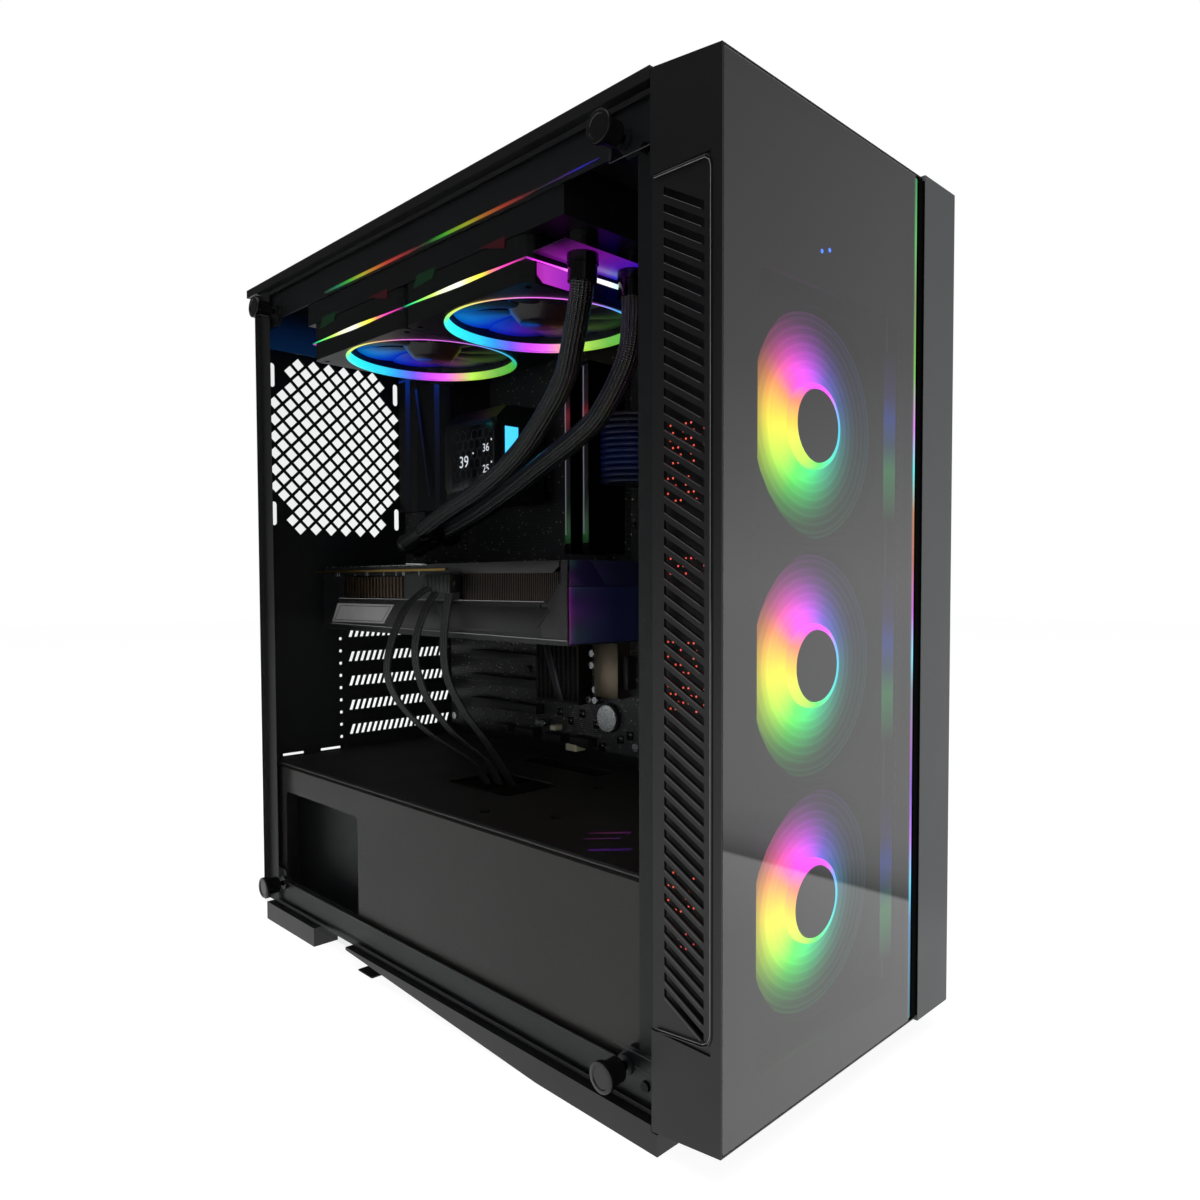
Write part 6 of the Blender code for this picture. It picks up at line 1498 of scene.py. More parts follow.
@dataclass
class FrontPanel(Assembly):
    """The lights, the trim and the perforated side screen of the front panel."""

    body: str = "front_panel"
    glass_y: float = -232.7
    vent_sides: Pair = (-99.38, 110.5)
    vent_first: float = 424.4
    vent_pitch: float = 7.14
    vent_count: int = 50
    screen_x: float = -92.0
    dot_pitch: Pair = (3.0, 3.3)
    dot_bands: tuple[tuple[float, float, str], ...] = (
        (294.0, 330.0, "ff5028"),
        (262.0, 271.0, "ff3a30"),
        (202.0, 232.0, "ff4a2a"),
        (112.0, 130.0, "ff5830"),
        (96.0, 104.0, "d03028"),
    )

    def build(self, rows: Grower) -> None:
        """Make every piece of the front panel's looks.

        Args:
            rows: the tree that sets pieces at points.
        """
        self.light_strip()
        self.status_lights()
        self.glass_edges()
        self.fan_spill()
        self.vent_trim()
        self.vent_lips(rows)
        self.screen(rows)

    def light_strip(self) -> None:
        """The lit line down the strip, and a black sheet of painted shadow in the gap beside it and on the
        pillar's side.
        """
        low, high = box_mm("light_strip")
        glow = LineGlow(
            "lit acrylic strip, front", 1.15, "202024", "Z", low.z * MM, high.z * MM, STRIP_STOPS
        )
        line = Shape().block(
            (low.x + 0.1, low.y - 0.2, low.z + 1), (low.x + 2.4, low.y + 1, high.z - 1)
        )
        self.piece("light_strip_line", line, glow, "light_diffuser", None)
        # black sheets in the gap and on the pillar's left side: painted shadow
        gap = Shape().block((66.85, -232.95, 17), (72.5, self.glass_y, 474))
        gap.block((72.35, -233.6, 17), (72.6, -229.5, 474))
        self.piece("light_strip_shadow_gap", gap, PAINTED_SHADOW_BLACK, "black_plastic", None)

    def glass_edges(self) -> None:
        """The shell's rounded front arris and the polished edges of the glass, drawn as painted highlights
        where they catch light.
        """
        lips = Shape().rod((-99.1, -232.5, 19), (-99.1, -232.5, 472), 0.22, 8)
        lips.rod((-98, -232.6, 474.3), (63.8, -232.6, 474.3), 0.18, 8)
        lips.rod((72.9, -233.45, 19), (72.9, -233.45, 472), 0.22, 8)
        self.piece("front_arris", lips, PAINTED_EDGE_HIGHLIGHT, "black_plastic", 40)
        # a black sheet in the gap at the glass's left edge: painted shade
        gap = Shape().block((-98.7, self.glass_y, 18), (-98.3, -232.3, 473.4))
        self.piece("front_glass_gap", gap, GLOSS, "black_plastic", None)

    def fan_spill(self) -> None:
        """Painted fan light in the fans' colours on the wall inside the front panel's right side."""
        for i in (1, 2, 3):
            low, high = box_mm(f"front_fan_rotor_{i}")
            z0, z1 = ((low.z + high.z) / 2 + half for half in (-45, 45))
            glow = LineGlow(f"ABS under fan light {i}", 1.0, "101012", "Z", z0 * MM, z1 * MM, SPILL_STOPS)
            patch = Shape().block((50, -223, z0), (62.2, -222.6, z1), 0.1)
            self.piece(f"fan_spill_{i}", patch, glow, "black_plastic", None)

    def status_lights(self) -> None:
        """Two small blue diodes on a dark tongue behind the glass."""
        tongue = Shape().block((-26, -228.6, 410), (-7, -227.6, 471), 0.2)
        self.piece("status_board", tongue, GLOSS, "black_plastic")
        lights = Shape()
        for x, z in ((-20.0, 413.8), (-13.4, 415.9)):
            lights.rod((x, -228.55, z), (x, -228.95, z), 1.0, 16)
        self.piece("status_lights", lights, BLUE_DIODE, "light_diffuser")

    def vent_trim(self) -> None:
        """The groove, darker as painted shade, and the thin rolled edge round the left side's vents, with a
        painted highlight.
        """
        corners = (
            (-195.2, 58.0), (-223.0, 60.6), (-226.2, 62.2), (-227.6, 65.6), (-227.6, 428.8),
            (-226.8, 431.6), (-224.4, 433.2), (-195.2, 433.6),
        )
        for name, inset, radius, finish in (
            ("vent_groove", 0.0, 0.45, GLOSS),
            ("vent_trim", 0.75, 0.20, PAINTED_EDGE_HIGHLIGHT),
        ):
            line = [
                (-99.5, y + (inset if y < -215 else 0), z + (inset if z < 200 else -inset))
                for y, z in corners
            ]
            self.piece(name, Shape().rods(line, radius, 8), finish, "black_plastic", 40)

    def vent_lips(self, rows: Grower) -> None:
        """A painted highlight on the rounded lower edge of each vent, where it catches the light.

        Args:
            rows: the tree that sets pieces at points.
        """
        lip = Shape().rod((0, -221.6, -12.14), (0, -200.8, -0.5), 0.14, 6)
        heights = [self.vent_first - self.vent_pitch * i for i in range(self.vent_count)]
        spots = [(side, 0, z) for side in self.vent_sides for z in heights]
        mesh = repeated(rows, "vent_lips", lip, spots, PAINTED_LIP_HIGHLIGHT)
        self.piece("vent_lips", mesh, PAINTED_LIP_HIGHLIGHT, "black_plastic", 40)

    def screen(self, rows: Grower) -> None:
        """The perforated screen behind the vents and the glow of the fans through its holes.

        The holes are drawn coarser than real ones, which are too fine to show.

        Args:
            rows: the tree that sets pieces at points.
        """
        x = self.screen_x
        sheet = Shape().block((x, -226, 27), (x + 0.8, -194.5, 458))
        # the screen takes the darker coat, which is painted shade
        self.piece("vent_screen", sheet, SHADED_INNER_COAT, "powder_coated_steel", None)
        across, up = self.dot_pitch
        for i, (low, high, code) in enumerate(self.dot_bands, start=1):
            finish = Lamp(f"fan light through the screen {i}", 0.8, LAMP_BODY, code)
            dot = Shape().rod((0.12, 0, 0), (-0.12, 0, 0), 0.48, 8)
            spots = [
                (x - 0.1, -222 + column * across + (across / 2 if row % 2 else 0), low + row * up)
                for row in range(int((high - low) / up) + 1)
                for column in range(9)
                if (row * 5 + column * 3 + row * column) % 7 < 5
            ]
            mesh = repeated(rows, f"screen_glow_{i}", dot, spots, finish)
            self.piece(f"screen_glow_{i}", mesh, finish, "light_diffuser", None)


# ------------------------------------------------------------------ graphics card
END_UPPER = LineGlow(
    "satin ABS under fan light, upper", 0.16, "0c0c10", "X", -0.051, 0.020,
    ((0.0, "301458"), (0.15, "1c1044"), (0.5, "0c1034"), (1.0, "05071c")),
)
END_LOWER = LineGlow(
    "satin ABS under fan light, lower", 0.17, "0c0c10", "X", -0.051, 0.020,
    ((0.0, "c030c8"), (0.022, "601c90"), (0.08, "301860"), (0.5, "101444"), (1.0, "082038")),
)
COMB_ROUTES: tuple[Sequence[Point], ...] = (
    (
        (-62, 277, 259), (-78, 290, 240), (-86, 298, 206), (-82, 295, 183), (-66, 285, 160),
        (-40, 270, 137), (-30, 266, 121.5),
    ),
    (
        (-62, 268, 259), (-71, 276, 240), (-75, 282, 214), (-69, 280, 185), (-55, 272, 160),
        (-34, 262, 138), (-26, 258, 121.5),
    ),
    (
        (-62, 258, 259), (-64, 264, 230), (-62, 266, 200), (-53, 262, 176), (-36, 254, 148),
        (-22, 248, 121.5),
    ),
)


@dataclass
class GraphicsCard(Assembly):
    """The fins, the frame, the plates, the board edge and the cables on the card's open side."""

    side: float = -51.35
    fin_pitch: float = 1.75
    fin_span: Pair = (-74.0, 19.0)
    wire_pitch: float = 2.05

    def build(self, rows: Grower, tubes: Grower) -> None:
        """Make every piece of the card's looks.

        Args:
            rows: the tree that sets pieces at points.
            tubes: the tree that sweeps tubes along lines.
        """
        self.frame()
        self.plates()
        self.fins(rows)
        self.board_edge()
        self.end_face()
        self.wires(tubes)

    def frame(self) -> None:
        """The raised frame with its slanted end, and the lower band."""
        bar = [(24, 271), (18.9, 264.2), (-70, 263.8), (-75.6, 267.5), (-75.6, 271)]
        post = [
            (-82.5, 271), (-77, 271), (-77, 258.5), (-65.6, 246.2), (-65.6, 243),
            (-58, 243), (-58, 229), (-60, 226.6), (-82.5, 225.4),
        ]
        band = [(-58.4, 229), (-58.4, 245.4), (25.6, 246.1), (185.4, 244.9), (197, 227.4), (60, 226.8)]
        shape = Shape()
        for outline in (bar, post, band):
            shape.prism(outline, "X", self.side - 0.7, self.side + 0.05, 0.15)
        self.piece("card_frame", shape, CARD_FRAME, "card_shroud")

    def plates(self) -> None:
        """The bare plates on the band, the line round one of them, and painted highlights along the band's
        edges.
        """
        x = self.side
        badge = [(187.2, 242.6), (104, 242.8), (118.6, 228.8), (196.6, 228.2)]
        ring = [(x - 1.1, y, z) for y, z in ((182.6, 241.0), (108.6, 241.2), (120.6, 230.4), (191.6, 229.8))]
        long = [(51.6, 244.4), (-64.0, 243.6), (-66.8, 241.6), (-54.5, 229.6), (-51.5, 228.4), (40.0, 229.4)]
        edges = Shape().rod((x - 1.0, 197, 226.9), (x - 0.8, -82.3, 225.0), 0.3, 6)
        edges.rod((x - 0.6, 185, 246.6), (x - 0.6, -62, 247.0), 0.3, 6)
        for name, shape, finish in (
            ("card_badge_plate", Shape().prism(badge, "X", x - 1.1, x - 0.65, 0.12), BADGE),
            ("card_badge_line", Shape().rods([*ring, ring[0]], 0.22, 6), GREY_ANODISED),
            ("card_name_plate", Shape().prism(long, "X", x - 1.0, x - 0.65, 0.12), CARD_PLATE),
            ("card_edges", edges, PAINTED_CARD_EDGE_HIGHLIGHT),
        ):
            self.piece(name, shape, finish, "card_shroud")

    def fins(self, rows: Grower) -> None:
        """Two stacks of thin upright fins seen through the card's open side.

        Args:
            rows: the tree that sets pieces at points.
        """
        x, (low, high) = self.side, self.fin_span
        # a black sheet behind both fin stacks: painted shadow
        back = Shape().block((x - 0.15, low - 2, 246), (x + 0.02, high + 5, 264.5))
        back.block((x - 0.15, 92, 247), (x + 0.02, 178, 264))
        self.piece("card_fin_shadow", back, GLOSS, "card_shroud", None)
        thin = Shape().block((-0.35, -0.22, 0), (0, 0.22, 17.6))
        broad = Shape().block((-0.35, -1.1, 0), (0, 1.1, 15.0))
        near = [low + i * self.fin_pitch for i in range(int((high - low) / self.fin_pitch) + 1)]
        far = [95 + i * 4.6 for i in range(18)]
        for name, fin, places, z, finish in (
            ("card_fins_front", thin, near, 246.4, FIN),
            ("card_fins_rear", broad, far, 247.6, COPPER_FIN),
        ):
            mesh = repeated(rows, name, fin, [(x - 0.1, y, z) for y in places], finish)
            self.piece(name, mesh, finish, "card_shroud", None)

    def board_edge(self) -> None:
        """The bare edge of the card's board, the bright lip of its back plate and small parts."""
        x = self.side
        edge = Shape().block((x - 0.5, 40, 266.3), (x + 0.05, 224, 267.9), 0.1)
        self.piece("card_board_edge", edge, BRASS, "card_shroud", None)
        lip = Shape().block((x - 0.3, 62, 270.2), (x + 0.05, 206, 270.9), 0.1)
        self.piece("card_back_lip", lip, STEEL, "card_shroud", None)
        parts = Shape()
        for i, y in enumerate((188, 184.5, 160, 141, 118, 101, 90, 71)):
            parts.block((x - 0.6, y, 263.4), (x, y + (1.2 if i % 3 else 3.2), 266.0), 0.1)
        self.piece("card_small_parts", parts, STEEL, "card_shroud", None)

    def end_face(self) -> None:
        """The card's front end, washed by the light of the intake fans."""
        x0, x1, near, far = -50.8, 78.0, -83.5, -82.7
        split, seam, top = 255.8, 256.2, 271
        upper = Shape().prism([(x0, seam), (x0, top), (-36.2, top), (-22.6, seam)], "Y", near, far, 0.15)
        upper.prism([(-21.6, seam), (-35.2, top), (x1, top), (x1, seam)], "Y", near, far, 0.15)
        self.piece("card_end_upper", upper, END_UPPER, "card_shroud")
        lower = Shape().block((x0, near, 223), (x1, far, split), 0.15)
        self.piece("card_end_lower", lower, END_LOWER, "card_shroud")

    def wires(self, tubes: Grower) -> None:
        """The three combed cables as rows of four round wires, with their plug.

        Args:
            tubes: the tree that sweeps tubes along lines.
        """
        routes = [
            [Vector((x, y + row * self.wire_pitch, z)) + OFFSET for x, y, z in route]
            for route in COMB_ROUTES
            for row in (-1.5, -0.5, 0.5, 1.5)
        ]
        size = {"Radius": 0.98 * MM, "Sides": 10, "Step": 4 * MM}
        mesh = tubes.grow("graphics_wires", paths_mesh(routes), SHEATH, **size)
        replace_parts(self.piece("graphics_wires", mesh, SHEATH, "cable_sheath", 60), "graphics_cable")
        plug = Shape().block((-60.5, 22, 251.5), (-51.6, 52, 263.8), 0.6)
        for y in (24.2 + row * 4.6 for row in range(6)):
            plug.block((-60.8, y, 252.2), (-60.2, y + 3.2, 263.0), 0.2)
        self.piece("graphics_plug", plug, NYLON, "cable_sheath")


# ------------------------------------------------------------------ pump and memory
LEFTWARDS = Matrix(((0, 0, -1), (-1, 0, 0), (0, 1, 0)))  # a face whose outward side is -X
MEMORY_STOPS = (
    (0.0, "041008"), (0.1, "104c1c"), (0.22, "06200e"), (0.35, "05050a"), (0.62, "100306"),
    (0.74, "801020"), (0.80, "280610"), (0.95, "08050a"), (1.0, "0c0410"),
)


@dataclass
class Pump(Assembly):
    """The pump's cap, its screen with the plain numbers it shows, its lit bar and its fittings."""

    face_x: float = 11.35
    screen_y: Pair = (71.5, 124.0)
    screen_z: Pair = (329.0, 376.0)
    cell_radius: float = 4.0

    def build(self, rows: Grower) -> None:
        """Make the cap, the screen, the bar and the fittings.

        Args:
            rows: the tree that sets pieces at points.
        """
        self.cap()
        self.grid(rows)
        self.numbers()
        self.bar()
        self.fittings()

    def cap(self) -> None:
        """The cap and the dark screen on it."""
        x, (y0, y1), (z0, z1) = self.face_x, self.screen_y, self.screen_z
        outline = [
            (y0 - 1.6, z0 - 1.5), (y1 + 6.5, z0 - 1.5), (y1 + 9.5, z0 + 2.5), (y1 + 9.5, z1 - 3),
            (y1 + 5.0, z1 + 3.5), (y0 + 3.5, z1 + 3.5), (y0 - 1.6, z1 - 1.5),
        ]
        self.piece("pump_cap", Shape().prism(outline, "X", x - 0.35, x + 5, 0.3), NYLON, "black_plastic")
        screen = Shape().block((x - 0.6, y0, z0), (x, y1, z1), 0.15)
        self.piece("pump_screen", screen, SCREEN, "display_glass")

    def grid(self, rows: Grower) -> None:
        """The faint honeycomb printed on the screen.

        Args:
            rows: the tree that sets pieces at points.
        """
        turns = [math.radians(degrees) for degrees in range(30, 391, 60)]
        radius = self.cell_radius
        cell = Shape().rods([(0, radius * math.cos(a), radius * math.sin(a)) for a in turns], 0.18, 4)
        x, y, z = self.face_x - 0.62, self.screen_y[0] + 4, self.screen_z[0] + 4.5
        spots = [
            (x, y + column * 7.4 + 3.7 * (row % 2), z + row * 7.2) for row in range(6) for column in range(6)
        ]
        mesh = repeated(rows, "pump_screen_grid", cell, spots, GRID_INK)
        self.piece("pump_screen_grid", mesh, GRID_INK, "display_glass", None)

    def numbers(self) -> None:
        """Three plain numbers and the square marks beside them."""
        x = self.face_x
        lit = Shape()
        for text, size, y, z in (("39", 9, 107.5, 349.6), ("36", 6, 79.5, 358.0), ("25", 6, 79.5, 342.4)):
            lit.write(text, size, (x - 0.72, y, z), LEFTWARDS)
        for y, z in ((95.5, 355.5), (72.6, 363.5), (72.6, 347.0)):
            lit.block((x - 0.77, y - 0.7, z - 0.7), (x - 0.67, y + 0.7, z + 0.7))
        self.piece("pump_screen_numbers", lit, NUMBER_LIGHT, "display_glass", None)

    def bar(self) -> None:
        """The lit bar on the pump's front and the two sides of its frame."""
        bar = Shape().block((20.5, 68.6, 351), (32.5, 69.8, 374), 0.15)
        self.piece("pump_lit_bar", bar, CYAN_BAR, "light_diffuser")
        sides = Shape().block((17.6, 68.8, 349), (20.3, 69.8, 376), 0.15)
        sides.block((32.7, 68.8, 344), (36.5, 69.8, 377), 0.15)
        self.piece("pump_bar_frame", sides, NYLON, "black_plastic")

    def fittings(self) -> None:
        """Polished swivel elbows on the pump and straight fittings under the radiator."""
        elbows = Shape()
        for middle, heading in (((-26.5, 98.5, 297.0), (1, 0.2, 0)), ((-8.5, 108.5, 294.2), (1, 0.3, 0))):
            centre, way = Vector(middle), Vector(heading).normalized()
            elbows.rod(centre - way * 4, centre + way * 9, 8.2, 32)
            elbows.rod(centre + way * 9, centre + way * 13, 7.0, 32)
            elbows.rod(centre + Vector((0, -4.5, 1.2)), centre + Vector((0, 2, -0.5)), 7.9, 32)
        self.piece("pump_elbows", elbows, GLOSS, "black_plastic", 40)
        collars = Shape()
        for x, y in ((-67.35, -113.75), (-30.35, -113.75)):
            collars.rod((x, y, 424), (x, y, 439.4), 8.4, 32)
            collars.rod((x, y + 0.6, 415), (x, y, 424), 7.8, 32)
        self.piece("radiator_collars", collars, GLOSS, "black_plastic", 40)


@dataclass
class Memory(Assembly):
    """The edges with painted highlights, the side plates and the painted fan light on the two memory sticks.
    """

    def build(self) -> None:
        """Make each stick's front face in painted fan light, then the edges with painted highlights and the
        stepped plates.
        """
        edges, plates = Shape(), Shape()
        for stick in (1, 2):
            low, high = box_mm(f"memory_stick_{stick}")
            middle = (low.y + high.y) / 2
            edges.block((34.1, middle + 1.1, 292), (34.9, middle + 1.8, 408), 0.1)
            for z0, z1 in ((284, 318), (322, 350), (354, 404)):
                plates.block((38, low.y - 0.45, z0), (66, low.y + 0.05, z1), 0.2)
            name = f"heat spreader under fan light {stick}"
            lit = LineGlow(name, 0.55, "101012", "Z", 0.280, 0.410, MEMORY_STOPS)
            face = Shape().block((34.4, low.y + 0.6, 286), (34.8, high.y - 0.6, 409), 0.1)
            self.piece(f"memory_{stick}_front_light", face, lit, "heat_spreader")
        self.piece("memory_edges", edges, EDGE_LIGHT, "heat_spreader")
        self.piece("memory_plates", plates, BLACK_ANODISED, "heat_spreader")


# ------------------------------------------------------------------ motherboard
COVER_STOPS = ((0.0, "020308"), (0.4, "04081c"), (0.75, "06184c"), (1.0, "0c38a0"))
CABLE_STOPS = ((0.0, "060c28"), (0.3, "0c2060"), (0.6, "081850"), (0.85, "100828"), (1.0, "180620"))
CAN_PLACES: Sequence[Pair] = (
    (24.5, 170), (31.5, 170), (24.5, 178), (86, 146), (92.5, 146), (28, 205), (28, 196),
    (10, 222), (20, 222), (120, 212), (128, 212), (136, 212), (144, 212), (152, 212),
)
CHIP_PLACES: Sequence[Pair] = (
    (4, 142), (60, 150), (72, 156), (30, 150), (46, 157), (82, 136), (98, 166), (110, 187),
    (24, 134), (-6, 146), (90, 222), (60, 226), (40, 222),
)


@dataclass
class Board(Assembly):
    """The motherboard's sockets, parts, covers and main power cable."""

    face: float = 75.75
    slot_heights: Point = (156.0, 176.4, 196.8)
    pad_count: int = 230
    wire_heights: tuple[float, float, int] = (328.4, 4.15, 12)

    def build(self, rows: Grower, tubes: Grower) -> None:
        """Make the board's parts and the cable that feeds it.

        Args:
            rows: the tree that sets pieces at points.
            tubes: the tree that sweeps tubes along lines.
        """
        self.sockets()
        self.cell_and_headers()
        self.small_parts(rows)
        self.pins_and_screws()
        self.chipset()
        self.covers()
        self.power_cable(tubes)

    def sockets(self) -> None:
        """Expansion slots, drive sockets and the brushed bar."""
        x = self.face
        slots = Shape()
        for z in self.slot_heights:
            slots.block((x - 9, 92, z - 3.6), (x + 0.1, 181, z + 3.6), 0.4)
        for deep, y0, y1, z0, z1 in (
            (9, -12, -7.5, 181, 205), (9, 30, 52, 133, 140), (9, 62, 84, 133, 139),
            (9, 96, 120, 133, 140), (8, 130, 148, 134, 140),
        ):
            slots.block((x - deep, y0, z0), (x + 0.1, y1, z1), 0.3)
        self.piece("board_sockets", slots, NYLON, "board_laminate")
        bar = Shape().block((62.6, -6, 174), (x, 19, 214), 0.4)
        self.piece("board_brushed_bar", bar, BROWN_BRUSHED, "heat_spreader")

    def cell_and_headers(self) -> None:
        """The coin cell in its seat and the pale headers."""
        x, y, z = self.face, 15.2, 156.9
        cell = Shape().rod((x - 4.4, y, z), (x - 0.5, y, z), 10, 48)
        self.piece("board_coin_cell", cell, STEEL, "bare_metal", 40)
        seat = Shape().rod((x - 3.2, y, z), (x, y, z), 11.2, 48)
        self.piece("board_cell_seat", seat, NYLON, "board_laminate", 40)
        headers = Shape().block((x - 10, 43, 129), (x, 55, 134), 0.3)
        headers.block((x - 8, 70, 142), (x, 76, 146), 0.3)
        self.piece("board_pale_headers", headers, PALE_NYLON, "board_laminate")

    def clear(self, place: Pair) -> bool:
        """Whether a place on the board is clear of the chipset's heatsink and of the slots.

        Args:
            place: the place, from front to back and upwards.

        Returns:
            Whether it is.
        """
        y, z = place
        if 34 < y < 87 and 164 < z < 214:
            return False
        return not (92 < y < 182 and any(abs(z - height) < 4.4 for height in self.slot_heights))

    def small_parts(self, rows: Grower) -> None:
        """Capacitors, solder pads and chips where the board shows.

        Args:
            rows: the tree that sets pieces at points.
        """
        can = Shape().rod((0, 0, 0), (-7.2, 0, 0), 3.1, 20).rod((-7.2, 0, 0), (-7.8, 0, 0), 3.1, 20, 2.6)
        pad = Shape().block((-0.9, -0.8, -0.45), (0, 0.8, 0.45))
        chip = Shape().block((-1.3, -3.0, -3.0), (0, 3.0, 3.0), 0.2)
        pads = [(-14 + (i * 61 % 227) * 0.86, 134 + (i * 37 % 151) * 0.56) for i in range(self.pad_count)]
        for name, shape, places, finish, slot, smooth_deg in (
            ("board_capacitors", can, CAN_PLACES, STEEL, "bare_metal", 40),
            ("board_chips", pad, filter(self.clear, pads), PALE_METAL, "bare_metal", None),
            ("board_controllers", chip, CHIP_PLACES, GLOSS, "board_laminate", 30),
        ):
            mesh = repeated(rows, name, shape, [(self.face, y, z) for y, z in places], finish)
            self.piece(name, mesh, finish, slot, smooth_deg)

    def pins_and_screws(self) -> None:
        """Rows of soldered pins and the screws that hold the board."""
        x = self.face
        pins = Shape()
        for i in range(17):
            z = 141.6 + i * 1.5
            pins.block((x - 0.08, 26 + i * 0.8, z), (x + 0.02, 66 - i * 0.7, z + 0.35))
        self.piece("board_pin_rows", pins, PALE_METAL, "board_laminate", None)
        screws = Shape()
        for y, z in ((-12, 138), (-12, 300), (-12, 428), (110, 138), (218, 138), (218, 300), (120, 226)):
            screws.rod((x - 1.6, y, z), (x, y, z), 3.1, 24, 3.4)
        self.piece("board_screws", screws, STEEL, "bare_metal", 40)

    def chipset(self) -> None:
        """The ribs and the slanted stripe on the chipset's heatsink."""
        ribs = Shape()
        for y in (37.5 + i * 5.4 for i in range(9)):
            ribs.block((61.2, y, 168), (61.9, y + 3.4, 210), 0.25)
        self.piece("chipset_ribs", ribs, BLACK_ANODISED, "heat_spreader")
        stripe = Shape().prism([(52, 168), (60, 168), (76, 210), (68, 210)], "X", 60.9, 61.3, 0.1)
        self.piece("chipset_stripe", stripe, GREY_ANODISED, "heat_spreader")

    def covers(self) -> None:
        """Painted fan light on the edges of the cover over the rear sockets."""
        lit = LineGlow("stoved enamel under fan light", 0.6, "0a0a0c", "Z", 0.318, 0.434, COVER_STOPS)
        edges = Shape()
        for y in (160.0, 204.0):
            edges.block((23.4, y, 320), (23.8, y + 7.0, 430), 0.1)
        edges.block((23.2, 164, 429), (24.2, 221, 431), 0.1)
        edges.prism([(174, 330), (177, 330), (196, 420), (193, 420)], "X", 23.3, 23.7)
        self.piece("cover_lit_edges", edges, lit, "satin_cover", None)

    def power_cable(self, tubes: Grower) -> None:
        """The board's main power cable as a comb of round wires, with its plug.

        Args:
            tubes: the tree that sweeps tubes along lines.
        """
        first, pitch, count = self.wire_heights
        heights = [first + i * pitch for i in range(count)]
        corners = ((44.5, -10), (43.5, -16), (46.5, -27), (56, -38), (70, -46), (85.5, -52))
        lit = LineGlow("PVC wire sheath under fan light", 0.15, "09090b", "Z", 0.326, 0.378, CABLE_STOPS)
        size = {"Radius": 1.7 * MM, "Sides": 10, "Step": 4 * MM}
        routes = [[(x, y, z) for x, y in corners] for z in heights]
        mesh = tubes.grow("main_power_wires", paths_mesh(routes), lit, **size)
        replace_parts(self.piece("main_power_wires", mesh, lit, "cable_sheath", 60), "main_power_cable")
        plug = Shape().block((46, -14, 326.2), (75.6, -8.9, 377.8), 0.5)
        for z in heights:
            plug.block((45.4, -13.4, z - 1.6), (46.2, -9.4, z + 1.6), 0.2)
        self.piece("main_power_plug", plug, NYLON, "cable_sheath")


# ------------------------------------------------------------------ radiator and shroud
TANK_STOPS = (
    (0.0, "04020a"), (0.08, "280830"), (0.2, "801090"), (0.36, "8a1cb8"), (0.5, "6a18d0"),
    (0.6, "2808e0"), (0.75, "0c08e8"), (0.9, "1048c0"), (1.0, "0828a0"),
)
RAIL_STOPS = (
    (0.0, "180a58"), (0.05, "1810a0"), (0.09, "300a50"), (0.16, "0a0408"), (0.2, "501018"),
    (0.27, "982c18"), (0.33, "a86018"), (0.39, "98a018"), (0.47, "38a020"), (0.53, "0c3814"),
    (0.57, "300808"), (0.64, "902020"), (0.7, "c03828"), (0.76, "c87820"), (0.81, "b8b020"),
    (0.87, "40b030"), (0.93, "107850"), (1.0, "041410"),
)
GLINT_STOPS = ((0.0, "301070"), (0.4, "602090"), (0.7, "702060"), (1.0, "200818"))


